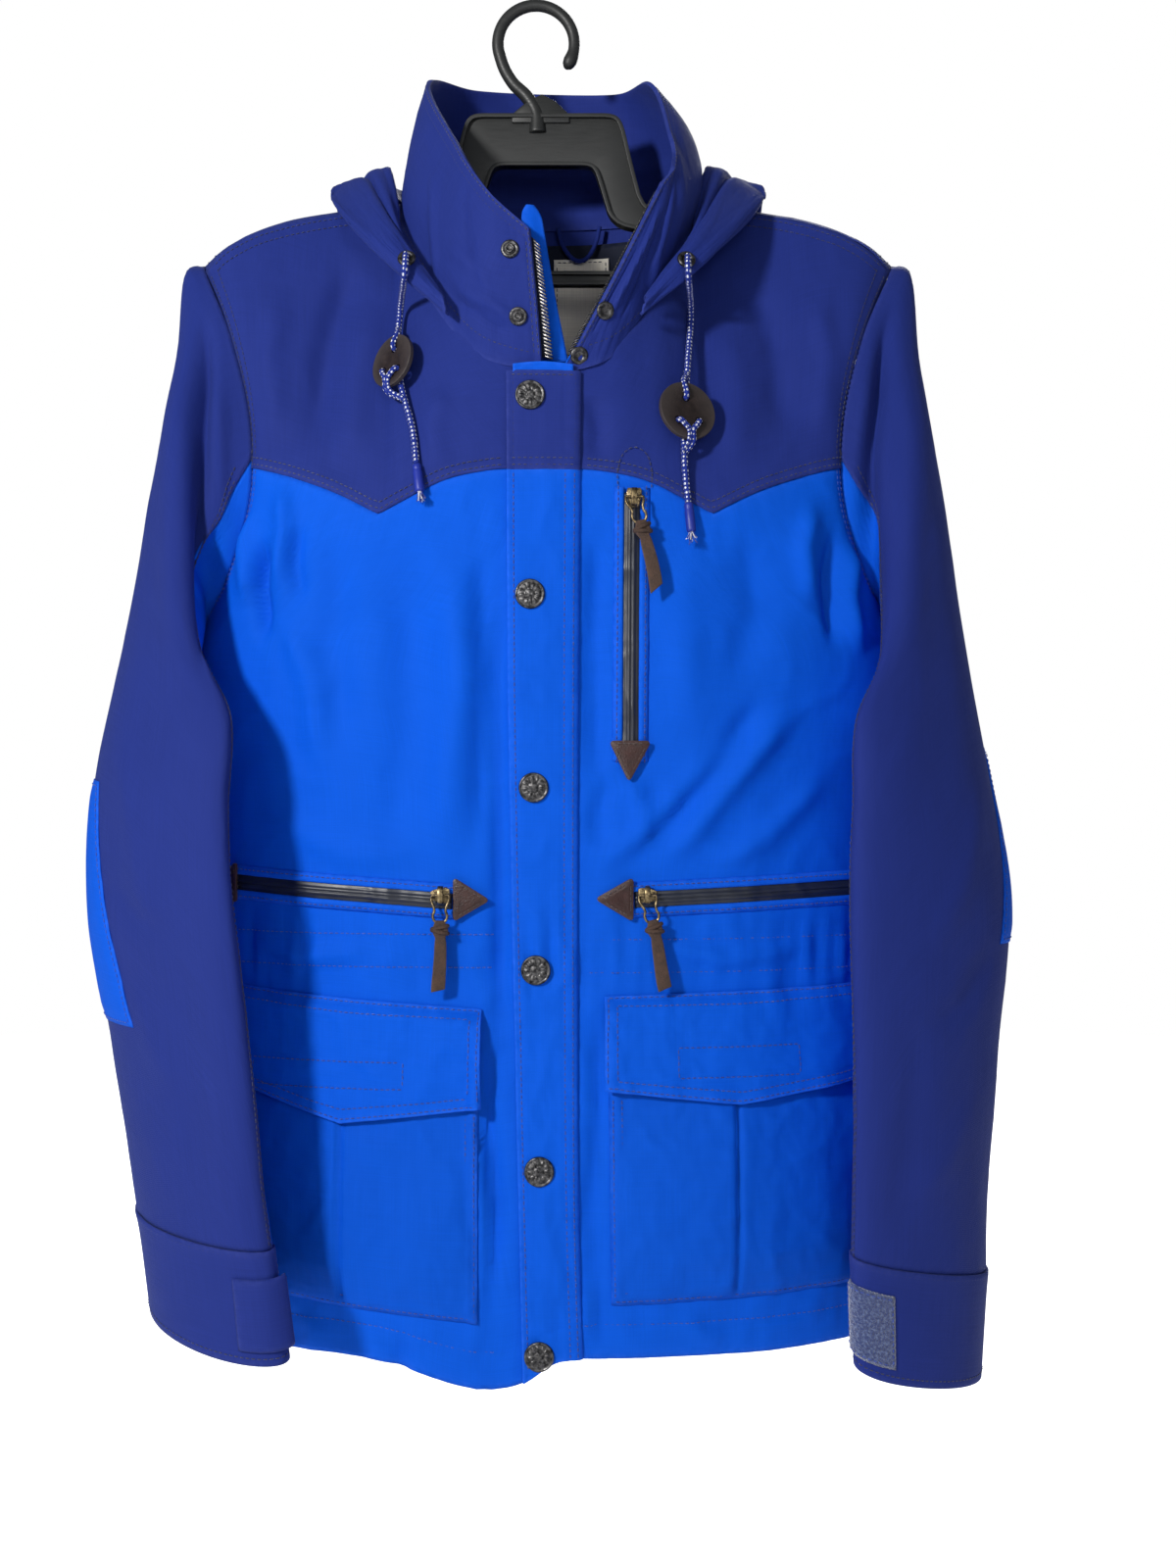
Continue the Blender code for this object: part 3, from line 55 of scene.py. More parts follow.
# Body form, one row for each level: height, half width, front, back (y at the middle)
BODY_LEVELS = (
    (-850, 216, -97, 74),
    (-760, 215, -95, 70),
    (-625, 214, -88, 62),
    (-520, 220, -89, 68),
    (-436, 226, -91, 75),
)
SIDE_Y = -6
BODY_SQUARENESS = 2.4
HEM_DROP = 19  # the right front hangs lower beside the opening
HEM_DROP_X = -34
HEM_DROP_WIDTH = 50

# Neck seam, shoulder seam and ridge, from the middle outwards: x, y, z
NECK_FRONT = (
    (0, -87, -254),
    (30, -85, -246),
    (54, -77, -227),
    (75, -57, -190),
    (88, -27, -150),
    (93, -9, -132),
)
NECK_BACK = ((0, 60, -118), (35, 57, -118.5), (64, 45, -119.5), (85, 22, -122), (93, -9, -132))
NECK_BEHIND = ((0, 62, -126), (35, 59, -127), (64, 47, -128), (80, 33, -129), (92, 22, -131))
NECK_RIDGE = ((0, 60.8, -121), (35, 57.8, -121.5), (64, 46, -122.5), (85, 20, -123.5), (93, 4, -126))
SHOULDER_SEAM = (
    (93, -9, -132),
    (115, -10, -134.5),
    (140, -12, -138.5),
    (170, -17, -146),
    (195, -20, -156),
    (212, -18, -167),
    (221, -11, -175),
)
RIDGE = (
    (93, 4, -126),
    (115, 4, -129),
    (140, 4, -132.5),
    (170, 4, -138),
    (195, 4, -147),
    (212, 4, -156.5),
    (224, 3, -167),
)
BEHIND_RIDGE = (
    (92, 22, -131),
    (115, 23, -136),
    (140, 24, -141),
    (170, 25, -147),
    (195, 24, -156),
    (210, 22, -166),
    (222, 17, -178),
)
ARM_FRONT = ((226, -8, -416), (203, -37, -380), (185, -51, -330), (185, -48, -280), (199, -36, -225))
ARM_BACK = ((226, -4, -416), (206, 34, -380), (192, 53, -330), (193, 53, -280), (206, 39, -222))
UPPER_MIDDLE_FRONT = ((-416, -91), (-380, -91), (-330, -91), (-295, -90), (-266, -88))
UPPER_MIDDLE_BACK = ((-416, 76), (-380, 78), (-330, 79), (-270, 77), (-200, 71))

# Yoke seam on the front and back: x from the middle, z
YOKE_FRONT = ((0, -315), (34, -317), (62, -323), (84, -333), (101, -342))
YOKE_FRONT_OUTER = ((101, -342), (128, -328), (156, -317), (185, -308))
YOKE_BACK = ((0, -352), (50, -333), (100, -318), (150, -310), (193, -308))

# Sleeves: for each ring the outer, front, inner and back points (x is +left, -right)
SLEEVE_RIGHT_RINGS = (
    ((-237, -4, -236), (-208, -60, -332), (-238, -8, -428), (-218, 58, -322)),
    ((-252, -6, -312), (-216, -84, -392), (-218, -56, -440), (-237, 56, -380)),
    ((-270, -10, -408), (-217, -104, -450), (-197, -84, -466), (-258, 38, -444)),
    ((-287, -24, -500), (-219, -118, -510), (-196, -97, -516), (-266, 18, -506)),
    ((-289, -34, -570), (-217, -123, -572), (-193, -105, -574), (-263, 6, -572)),
    ((-273, -44, -660), (-207, -128, -662), (-181, -112, -664), (-248, -10, -662)),
    ((-256, -56, -735), (-199, -134, -740), (-169, -118, -744), (-232, -26, -738)),
    ((-249, -62, -762), (-195, -137, -772), (-163, -121, -772), (-224, -34, -764)),
    ((-238, -68, -817), (-188, -143, -834), (-151, -128, -832), (-206, -46, -820)),
)
SLEEVE_LEFT_RINGS = (
    ((238, -4, -236), (209, -60, -332), (238, -8, -428), (218, 58, -322)),
    ((252, -6, -312), (216, -84, -392), (217, -56, -440), (237, 56, -380)),
    ((267, -12, -408), (217, -103, -450), (196, -84, -466), (256, 38, -444)),
    ((281, -24, -500), (217, -117, -510), (194, -95, -516), (262, 18, -506)),
    ((292, -32, -575), (219, -122, -574), (191, -102, -572), (266, 8, -574)),
    ((283, -40, -672), (220, -124, -666), (191, -106, -660), (258, 0, -668)),
    ((274, -46, -765), (220, -124, -752), (188, -108, -742), (252, -6, -756)),
    ((272, -50, -806), (220, -124, -792), (187, -110, -778), (250, -12, -794)),
    ((267, -54, -866), (220, -124, -858), (188, -112, -838), (246, -18, -850)),
)
CUFF_FROM = 7  # the ring that the cuff's seam follows
SLEEVE_ROUND = 400  # about the sleeve's length round, for widths given in mm
CUFF_ROUND = 360
UNDER_FRONT = ((0, 0.235), (0.10, 0.33), (0.22, 0.385), (1, 0.42))  # front seam: along, round
UNDER_BACK = ((0, 0.735), (0.3, 0.71), (1, 0.68))
CUFF_VENT = (0.455, 0.475)
ELBOW_ROUND = {"right": (-0.20, 0.13), "left": (-0.25, 0.07)}
ELBOW_ALONG = {"right": (0.48, 0.765), "left": (0.43, 0.635)}


# ---------------------------------------------------------------- curves and numbers
def smooth(knots, values, at):
    """Values on a smooth curve through the given pairs; each value may be an array."""
    knots = np.asarray(knots, float)
    values = np.asarray(values, float)
    at = np.clip(np.asarray(at, float), knots[0], knots[-1])
    slopes = np.gradient(values, knots, axis=0)
    i = np.clip(np.searchsorted(knots, at, side="right") - 1, 0, len(knots) - 2)
    step = knots[i + 1] - knots[i]
    t = (at - knots[i]) / step
    shape = t.shape + (1,) * (values.ndim - 1)
    t = t.reshape(shape)
    step = step.reshape(shape)
    return (
        (2 * t**3 - 3 * t**2 + 1) * values[i]
        + (t**3 - 2 * t**2 + t) * step * slopes[i]
        + (3 * t**2 - 2 * t**3) * values[i + 1]
        + (t**3 - t**2) * step * slopes[i + 1]
    )


def lengths_along(points):
    """Distance along a polyline to each of its points."""
    steps = np.linalg.norm(np.diff(np.asarray(points, float), axis=0), axis=1)
    return np.concatenate([[0], np.cumsum(steps)])


def along(points, shares):
    """Points at the given shares of the length of a smooth curve through the points."""
    knots = lengths_along(points)
    fine = smooth(knots, points, np.linspace(0, knots[-1], 200))
    fine_at = lengths_along(fine)
    wanted = np.asarray(shares, float) * fine_at[-1]
    return np.stack([np.interp(wanted, fine_at, fine[:, k]) for k in range(3)], axis=1)


def hump(x, at, width):
    """A smooth rise to 1 at a place, that fades over a width on both sides of it."""
    return np.exp(-(((x - at) / width) ** 2))


def turns_round(count):
    """Evenly spaced angles of one whole turn."""
    return np.linspace(0, 2 * math.pi, count, endpoint=False)


# ---------------------------------------------------------------- the body form
U_COUNT = 129  # columns of the master rows, from the middle to the side
T_COUNT = 240  # steps round a sleeve
S_COUNT = 299  # steps along it


def body_row(level, side):
    """A level row of the body below the arms, from the middle to the side seam."""
    z, half_width, front, back = level
    middle = front if side == "front" else back
    angle = np.linspace(0, math.pi / 2, U_COUNT)
    x = half_width * np.sin(angle)
    share = (1 - np.clip(x / half_width, 0, 1) ** BODY_SQUARENESS) ** 0.5
    y = SIDE_Y + (middle - SIDE_Y) * share
    return np.stack([x, y, np.full(U_COUNT, float(z))], axis=1)


def upper_row(edge, middle, fullness):
    """A level row between the underarm and the shoulder, from the middle to the armhole."""
    x_edge, y_edge, z = edge
    z_middle, y_middle = middle
    u = np.linspace(0, 1, U_COUNT)
    x = x_edge * np.sin(u * fullness) / math.sin(fullness)
    share = (1 - np.clip(x / x_edge, 0, 1) ** BODY_SQUARENESS) ** (0.5 + 0.5 * (1 - fullness / (math.pi / 2)))
    y = y_edge + (y_middle - y_edge) * share
    return np.stack([x, y, z_middle + (z - z_middle) * u**2], axis=1)


def top_row(neck, shoulder):
    """The seam along the neck and then the shoulder, columns spaced by x."""
    x_edge = shoulder[-1][0]
    x = x_edge * np.linspace(0, 1, U_COUNT)
    neck = np.array(neck, float)
    shoulder = np.array(shoulder, float)
    at_neck = smooth(neck[:, 0], neck[:, 1:], x)
    at_shoulder = smooth(shoulder[:, 0], shoulder[:, 1:], x)
    found = np.where((x < neck[-1, 0])[:, None], at_neck, at_shoulder)
    return np.concatenate([x[:, None], found], axis=1)


def blended_row(below, above, share, edge):
    """A row part way from one row to another, bent to end at the armhole point."""
    row = below * (1 - share) + above * share
    u = np.linspace(0, 1, U_COUNT)[:, None]
    return row + u**5 * (np.array(edge, float) - row[-1])


def body_rows(side):
    """All rows of the front or back, from the hem up."""
    rows = [body_row(level, side) for level in BODY_LEVELS]
    arm = ARM_FRONT if side == "front" else ARM_BACK
    middles = UPPER_MIDDLE_FRONT if side == "front" else UPPER_MIDDLE_BACK
    fullness = (1.5, 1.3, 1.15)
    rows += [upper_row(arm[i], middles[i], fullness[i]) for i in range(3)]
    base = rows[-1]
    neck = NECK_FRONT if side == "front" else NECK_BACK
    if side == "front":
        top = top_row(neck, SHOULDER_SEAM)
        rows.append(blended_row(base, top, 0.34, arm[3]))
        rows.append(blended_row(base, top, 0.68, arm[4]))
        rows.append(top)
    else:
        behind = top_row(NECK_BEHIND, BEHIND_RIDGE)
        rows.append(blended_row(base, behind, 0.33, arm[3]))
        rows.append(blended_row(base, behind, 0.66, arm[4]))
        rows.append(behind)
        rows.append(top_row(NECK_RIDGE, RIDGE))
        rows.append(top_row(neck, SHOULDER_SEAM))
    return np.array(rows)


class BodySide:
    """The front or the back of the body, as smooth rows that panels read their points from."""

    def __init__(self, side):
        self.side = side
        self.rows = body_rows(side)
        gaps = np.linalg.norm(np.diff(self.rows, axis=0), axis=2).mean(axis=1)
        self.knots = np.concatenate([[0], np.cumsum(gaps)])
        self.u = np.linspace(0, 1, U_COUNT)
        fine_v = np.linspace(0, self.knots[-1], 400)
        self.fine_v = fine_v
        self.fine = smooth(self.knots, self.rows, fine_v)  # v, u, xyz

    def point(self, u, v):
        """Points at columns u (-1 right side to 1 left side) and row places v, arrays of one shape."""
        u, v = np.broadcast_arrays(np.asarray(u, float), np.asarray(v, float))
        column = np.abs(u) * (U_COUNT - 1)
        i = np.clip(column.astype(int), 0, U_COUNT - 2)
        t = (column - i)[..., None]
        place = np.clip(v / self.knots[-1], 0, 1) * (len(self.fine_v) - 1)
        j = np.clip(place.astype(int), 0, len(self.fine_v) - 2)
        s = (place - j)[..., None]
        low = self.fine[j, i] * (1 - t) + self.fine[j, i + 1] * t
        high = self.fine[j + 1, i] * (1 - t) + self.fine[j + 1, i + 1] * t
        found = low * (1 - s) + high * s
        found[..., 0] *= np.sign(u) + (u == 0)
        found[..., 2] -= self.hem_drop(found[..., 0], found[..., 2])
        return found

    def hem_drop(self, x, z):
        """How much lower the cloth hangs beside the opening; it fades out towards the yoke."""
        if self.side == "back":
            return 0 * x
        near = hump(x, HEM_DROP_X, HEM_DROP_WIDTH) * (x < 60)
        near = near / (1 + np.exp(x / 5.0))
        return HEM_DROP * near * np.clip((-560 - z) / 296, 0, 1) ** 1.5

    def v_at(self, u, z):
        """The row place where each column u is at height z."""
        u, z = np.broadcast_arrays(np.asarray(u, float), np.asarray(z, float))
        found = np.empty(u.shape)
        for index in np.ndindex(u.shape):
            heights = self.point(np.full(len(self.fine_v), u[index]), self.fine_v)[:, 2]
            found[index] = np.interp(z[index], heights, self.fine_v)
        return found

    def place(self, x, z):
        """Columns and row places of the surface points at the given x and z."""
        x, z = np.broadcast_arrays(np.asarray(x, float), np.asarray(z, float))
        u = np.clip(x / 215.0, -0.97, 0.97)
        v = np.clip((z + 860) * 0.95, 1, self.knots[-1] - 1)
        for _ in range(14):
            here = self.point(u, v)
            by_u = (self.point(u + 0.004, v) - self.point(u - 0.004, v)) / 0.008
            by_v = (self.point(u, v + 2.0) - self.point(u, v - 2.0)) / 4.0
            off_x = x - here[..., 0]
            off_z = z - here[..., 2]
            det = by_u[..., 0] * by_v[..., 2] - by_v[..., 0] * by_u[..., 2]
            det = np.where(np.abs(det) < 1.0, 1.0, det)
            u = np.clip(u + 0.8 * (off_x * by_v[..., 2] - off_z * by_v[..., 0]) / det, -0.995, 0.995)
            v = np.clip(v + 0.8 * (off_z * by_u[..., 0] - off_x * by_u[..., 2]) / det, 0, self.knots[-1])
        return u, v

    def normal(self, u, v):
        """Unit normals pointing out of the garment."""
        by_u = self.point(u + 0.01, v) - self.point(u - 0.01, v)
        by_v = self.point(u, v + 3.0) - self.point(u, v - 3.0)
        found = np.cross(by_u, by_v) if self.side == "front" else np.cross(by_v, by_u)
        return found / np.linalg.norm(found, axis=-1, keepdims=True)

    def v_on_curve(self, u, curve_z):
        """Row places where each column u meets a seam given as height against x."""
        u = np.asarray(u, float)
        z = np.full(u.shape, -330.0)
        for _ in range(4):
            v = self.v_at(u, z)
            z = curve_z(self.point(u, v)[:, 0])
        return v


def yoke_front_z(x):
    """Height of the front yoke seam: two curves that meet at a low tip."""
    away = np.abs(x)
    inner = smooth([p[0] for p in YOKE_FRONT], [p[1] for p in YOKE_FRONT], away)
    outer = smooth([p[0] for p in YOKE_FRONT_OUTER], [p[1] for p in YOKE_FRONT_OUTER], away)
    return np.where(away < YOKE_FRONT_OUTER[0][0], inner, outer)


def yoke_back_z(x):
    """Height of the back yoke seam."""
    return smooth([p[0] for p in YOKE_BACK], [p[1] for p in YOKE_BACK], np.abs(x))


# ---------------------------------------------------------------- sleeves
ARMHOLE_PLACES = (0, 0.045, 0.13, 0.205, 0.275, 0.36, 0.46, 0.5, 0.54, 0.64, 0.725, 0.795, 0.87, 0.955, 1)


def armhole_loop():
    """The left armhole seam, from the top round the front, the underarm and the back."""
    front = [SHOULDER_SEAM[-1]] + list(reversed(ARM_FRONT))
    back = list(ARM_BACK) + [BEHIND_RIDGE[-1]]
    return [RIDGE[-1]] + front + [(226, -6, -419)] + back + [RIDGE[-1]]


CAP_RISE = 12  # how far the sleeve stands out before it turns down
CAP_SPREAD = 1.06
RING_SQUARE = 8  # the tube is fuller at its front and flatter beside the body


class Sleeve:
    """A sleeve's tube: s runs from the armhole to the cuff's end, t round from the outer edge."""

    def __init__(self, sign, rings):
        self.sign = sign
        self.t = np.linspace(0, 1, T_COUNT + 1)
        loop = np.array(armhole_loop(), float) * (sign, 1, 1)
        seam = smooth(ARMHOLE_PLACES, loop, self.t)
        found = [seam, seam * (1, CAP_SPREAD, 1) + (sign * CAP_RISE, 0, 0)]
        found[1][:, 2] -= 2 + 5 * np.sin(self.t * math.pi) ** 2
        turn = (self.t * 2 * math.pi)[:, None]
        for outer, front, inner, back in np.array(rings, float):
            middle = (outer + front + inner + back) / 4
            across = (outer - inner) / 2
            deep = (front - back) / 2
            skew = (outer - front + inner - back) / 4
            ring = middle + across * np.cos(turn) + deep * np.sin(turn) + skew * np.cos(2 * turn)
            found.append(ring + (sign * RING_SQUARE, 0, 0) * np.sin(2 * turn))
        self.rings = np.array(found)
        gaps = np.linalg.norm(np.diff(self.rings, axis=0), axis=2).mean(axis=1)
        self.knots = np.concatenate([[0], np.cumsum(gaps)])
        self.fine = smooth(self.knots, self.rings, np.linspace(0, self.knots[-1], S_COUNT + 1))

    def point(self, s, t):
        """Points at lengths s and places round t; t may pass 0 or 1."""
        s, t = np.broadcast_arrays(np.asarray(s, float), np.asarray(t, float))
        round_at = (t % 1.0) * T_COUNT
        i = np.clip(round_at.astype(int), 0, T_COUNT - 1)
        a = (round_at - i)[..., None]
        down = np.clip(s / self.knots[-1], 0, 1) * S_COUNT
        j = np.clip(down.astype(int), 0, S_COUNT - 1)
        b = (down - j)[..., None]
        low = self.fine[j, i] * (1 - a) + self.fine[j, i + 1] * a
        high = self.fine[j + 1, i] * (1 - a) + self.fine[j + 1, i + 1] * a
        return low * (1 - b) + high * b

    def normal(self, s, t):
        """Unit normals pointing out of the tube."""
        by_s = self.point(s + 4.0, t) - self.point(s - 4.0, t)
        by_t = self.point(s, t + 0.02) - self.point(s, t - 0.02)
        found = np.cross(by_t, by_s) * self.sign
        return found / np.linalg.norm(found, axis=-1, keepdims=True)


# ---------------------------------------------------------------- collar and hood
COLLAR_PLACES = (0, 0.12, 0.24, 0.36, 0.43, 0.5, 0.57, 0.64, 0.76, 0.88, 1)
COLLAR_BASE = (
    (-2, -89, -251), (-40, -84, -237), (-71, -62, -195), (-92, -12, -134), (-64, 45, -119.5), (0, 60, -118),
    (64, 45, -119.5), (92, -12, -134), (71, -62, -195), (43, -84, -236), (16, -89, -249),
)
COLLAR_MIDDLE = (
    (-5, -97, -214), (-38, -93, -194), (-65, -68, -155), (-87, -7, -92), (-62, 47, -78), (0, 61, -76),
    (63, 46, -78), (92, -4, -92), (86, -60, -142), (64, -84, -180), (45, -94, -196),
)
COLLAR_TOP = (
    (-9, -99, -174), (-33, -91, -150), (-54, -67, -112), (-76, 0, -46), (-50, 43, -36), (0, 56, -34),
    (46, 44, -38), (64, 4, -46), (77, -46, -98), (79, -66, -124), (71, -78, -140),
)


class Collar:
    """The stand collar: c runs round from the right front edge, r from the neck seam to the top."""

    def point(self, c, r):
        c, r = np.broadcast_arrays(np.asarray(c, float), np.asarray(r, float))
        base = smooth(COLLAR_PLACES, COLLAR_BASE, c)
        middle = smooth(COLLAR_PLACES, COLLAR_MIDDLE, c)
        top = smooth(COLLAR_PLACES, COLLAR_TOP, c)
        r = r[..., None]
        return base * (1 - r) * (1 - 2 * r) + middle * 4 * r * (1 - r) + top * r * (2 * r - 1)

    def normal(self, c, r):
        """Unit normals pointing away from the neck."""
        c = np.clip(c, 0.011, 0.989)
        by_c = self.point(c + 0.01, r) - self.point(c - 0.01, r)
        by_r = self.point(c, r + 0.03) - self.point(c, r - 0.03)
        found = np.cross(by_r, by_c)
        return found / np.linalg.norm(found, axis=-1, keepdims=True)


# One column for each place round the neck: neck seam, rise, turn, fall, fold, brim
HOOD_PLACES = (0, 0.12, 0.23, 0.28, 0.34, 0.42, 0.5)
HOOD_COLUMNS = (
    ((61, -84, -215), (61, -88, -212), (61, -92, -214),
     (60, -93.5, -218), (59, -92, -222), (58, -88.5, -223)),
    ((88, -56, -174), (91, -60, -162), (97, -66, -163),
     (102, -70, -172), (103, -71, -180), (99, -68.5, -184)),
    ((99, -12, -127), (106, -8, -108), (123, -4, -111), (138, -9, -124), (138, -18, -131), (132, -24, -138)),
    ((98, 6, -123), (107, 10, -107), (126, 16, -112), (138, 14, -120), (140, 12, -119), (134, 10, -117)),
    ((95, 24, -118), (106, 36, -108), (128, 62, -150), (128, 84, -226), (138, 86, -166), (130, 62, -121)),
    ((60, 55, -116), (70, 70, -116), (88, 84, -196), (84, 102, -288), (97, 112, -208), (90, 96, -130)),
    ((0, 66, -119), (0, 76, -126), (0, 87, -235), (0, 106, -318), (0, 122, -230), (0, 113, -138)),
)


class Hood:
    """The hood lying down the back: c runs round the neck, b from the neck seam to the brim."""

    def __init__(self):
        right = [np.array(column, float) * (-1, 1, 1) for column in HOOD_COLUMNS]
        left = [np.array(column, float) for column in reversed(HOOD_COLUMNS[:-1])]
        self.columns = np.array(right + left)
        self.places = list(HOOD_PLACES) + [1 - place for place in reversed(HOOD_PLACES[:-1])]

    def point(self, c, b):
        c, b = np.broadcast_arrays(np.asarray(c, float), np.asarray(b, float))
        by_c = smooth(self.places, self.columns, c.ravel())
        found = np.empty(c.shape + (3,))
        knots = np.linspace(0, 1, len(HOOD_COLUMNS[0]))
        for index, (rows, place) in enumerate(zip(by_c, b.ravel())):
            found.reshape(-1, 3)[index] = smooth(knots, rows, place)
        return found

    def normal(self, c, b):
        """Unit normals of the hood's outer side."""
        by_c = self.point(c + 0.01, b) - self.point(c - 0.01, b)
        by_b = self.point(c, np.clip(b + 0.02, 0, 1)) - self.point(c, np.clip(b - 0.02, 0, 1))
        found = np.cross(by_b, by_c)
        return found / np.linalg.norm(found, axis=-1, keepdims=True)


# ---------------------------------------------------------------- relief of the cloth
NOISE_CELLS = 61  # then the noise repeats


def value_noise(x, y, seed):
    """Smooth noise from -1 to 1, about one unit across, the same each run."""
    turn = np.random.RandomState(seed).rand(NOISE_CELLS, NOISE_CELLS) * 2 * math.pi
    left = np.floor(x).astype(int)
    low = np.floor(y).astype(int)
    fx = x - left
    fy = y - low

    def corner(i, j):
        angle = turn[(left + i) % NOISE_CELLS, (low + j) % NOISE_CELLS]
        return np.cos(angle) * (fx - i) + np.sin(angle) * (fy - j)

    sx = fx * fx * (3 - 2 * fx)
    sy = fy * fy * (3 - 2 * fy)
    bottom = corner(0, 0) * (1 - sx) + corner(1, 0) * sx
    top = corner(0, 1) * (1 - sx) + corner(1, 1) * sx
    return (bottom * (1 - sy) + top * sy) * 1.6


def crumple(x, y, size, seed):
    """Sharp little ridges between flatter facets, as thin stiff cloth creases."""
    bend = 0.35 * size
    wx = x + bend * value_noise(x / size, y / size, seed + 50)
    wy = y + bend * value_noise(x / size, y / size, seed + 51)
    sharp = 1 - np.abs(value_noise(wx / size, wy / size, seed))
    return sharp**3 - 0.45


def eased(share):
    """A share from 0 to 1 that starts and ends softly."""
    share = np.clip(share, 0, 1)
    return share * share * (3 - 2 * share)


def folds_at(folds, x, y):
    """Height of all folds at the given places. A fold is its line, half width, height and lean."""
    total = np.zeros(np.shape(x))
    for line, width, height, lean in folds:
        line = np.asarray(line, float)
        reach = 3 * width
        near = (
            (x > line[:, 0].min() - reach) & (x < line[:, 0].max() + reach)
            & (y > line[:, 1].min() - reach) & (y < line[:, 1].max() + reach)
        )
        if not near.any():
            continue
        px = x[near]
        py = y[near]
        steps = np.diff(line, axis=0)
        lengths = np.hypot(steps[:, 0], steps[:, 1])
        whole = lengths.sum()
        best = np.full(px.shape, 1e9)
        across = np.zeros(px.shape)
        share = np.zeros(px.shape)
        done = 0.0
        for (x0, y0), (dx, dy), length in zip(line, steps, lengths):
            t = np.clip(((px - x0) * dx + (py - y0) * dy) / length**2, 0, 1)
            ox = px - x0 - t * dx
            oy = py - y0 - t * dy
            away = np.hypot(ox, oy)
            closer = away < best
            best = np.where(closer, away, best)
            across = np.where(closer, np.sign(ox * dy - oy * dx) * away, across)
            share = np.where(closer, (done + t * length) / whole, share)
            done += length
        q = across / width
        ends = eased(np.minimum(share, 1 - share) / 0.3 + 0.05)
        total[near] += height * ends * np.exp(-q * q) * (1 + lean * np.tanh(1.5 * q))
    return total


def seam_at(line, x, y, depth, width, pucker, period, seed):
    """A sewn line: a narrow groove, and little puckers that fade out on both sides of it."""
    line = np.asarray(line, float)
    reach = 16
    total = np.zeros(np.shape(x))
    near = (
        (x > line[:, 0].min() - reach) & (x < line[:, 0].max() + reach)
        & (y > line[:, 1].min() - reach) & (y < line[:, 1].max() + reach)
    )
    if not near.any():
        return total
    px = x[near]
    py = y[near]
    best = np.full(px.shape, 1e9)
    place = np.zeros(px.shape)
    done = 0.0
    for (x0, y0), (x1, y1) in zip(line, line[1:]):
        dx = x1 - x0
        dy = y1 - y0
        length = math.hypot(dx, dy)
        t = np.clip(((px - x0) * dx + (py - y0) * dy) / length**2, 0, 1)
        away = np.hypot(px - x0 - t * dx, py - y0 - t * dy)
        closer = away < best
        best = np.where(closer, away, best)
        place = np.where(closer, done + t * length, place)
        done += length
    wave = value_noise(place / period, best / 14.0, seed)
    wave = wave + 0.5 * value_noise(place / period * 2.3, best / 9.0, seed + 1)
    total[near] = -depth * hump(best, 0, width) + pucker * wave * np.exp(-best / 6.0) * (best > 0.4)
    return total


# ---------------------------------------------------------------- materials
class Paint:
    """A material and short ways to add nodes to it."""

    def __init__(self, name, roughness=0.7, metallic=0.0, **sockets):
        self.material = bpy.data.materials.new(name)
        self.material.use_nodes = True
        self.tree = self.material.node_tree
        self.shader = self.tree.nodes["Principled BSDF"]
        self.shader.inputs["Roughness"].default_value = roughness
        self.shader.inputs["Metallic"].default_value = metallic
        for socket, value in sockets.items():
            self.shader.inputs[socket.replace("_", " ")].default_value = value

    def node(self, kind, values=None, **settings):
        made = self.tree.nodes.new("ShaderNode" + kind)
        for key, value in settings.items():
            setattr(made, key, value)
        for key, value in (values or {}).items():
            if hasattr(value, "is_output"):
                self.tree.links.new(value, made.inputs[key])
            else:
                made.inputs[key].default_value = value
        return made

    def math(self, operation, a, b=0.0):
        return self.node("Math", {0: a, 1: b}, operation=operation).outputs[0]

    def mix(self, share, a, b, blend="MIX"):
        """A colour between a and b."""
        made = self.node("Mix", data_type="RGBA", blend_type=blend)
        for key, value in ((0, share), (6, a), (7, b)):
            if hasattr(value, "is_output"):
                self.tree.links.new(value, made.inputs[key])
            elif key == 0:
                made.inputs[key].default_value = value
            else:
                made.inputs[key].default_value = tuple(value) + (1.0,)
        return made.outputs[2]

    def between(self, value, low, high, to_low=0.0, to_high=1.0):
        return self.node("MapRange", {0: value, 1: low, 2: high, 3: to_low, 4: to_high}).outputs[0]

    def flat(self):
        """Place on the flat cloth in metres, from the piece's own map."""
        return self.node("UVMap", uv_map=FLAT_MAP).outputs[0]

    def solid(self):
        """Place in the piece's own space, in metres."""
        return self.node("TexCoord").outputs["Object"]

    def scaled(self, vector, x, y, z=1.0):
        return self.node("Mapping", {"Vector": vector, "Scale": (x, y, z)}).outputs[0]

    def noise(self, vector, scale, detail=2.0, rough=0.5):
        values = {"Vector": vector, "Scale": scale, "Detail": detail, "Roughness": rough}
        return self.node("TexNoise", values).outputs[0]

    def edge(self):
        """How near a point is to its piece's own edge."""
        return self.node("Attribute", attribute_name=EDGE).outputs["Fac"]

    def bump(self, height, distance, strength=1.0, under=None):
        values = {"Height": height, "Distance": distance, "Strength": strength}
        if under is not None:
            values["Normal"] = under
        return self.node("Bump", values).outputs[0]

    def finish(self, colour=None, roughness=None, normal=None):
        for socket, value in (("Base Color", colour), ("Roughness", roughness), ("Normal", normal)):
            if value is not None:
                self.tree.links.new(value, self.shader.inputs[socket])
        return self.material


FLAT_MAP = "flat"
EDGE = "edge"  # how near a point is to its piece's own edge, from 0 to 1


def scale_colour(colour, by):
    return tuple(min(c * by, 1.0) for c in colour)


def paler(colour, lift, by):
    return scale_colour(tuple(c + lift for c in colour), by)


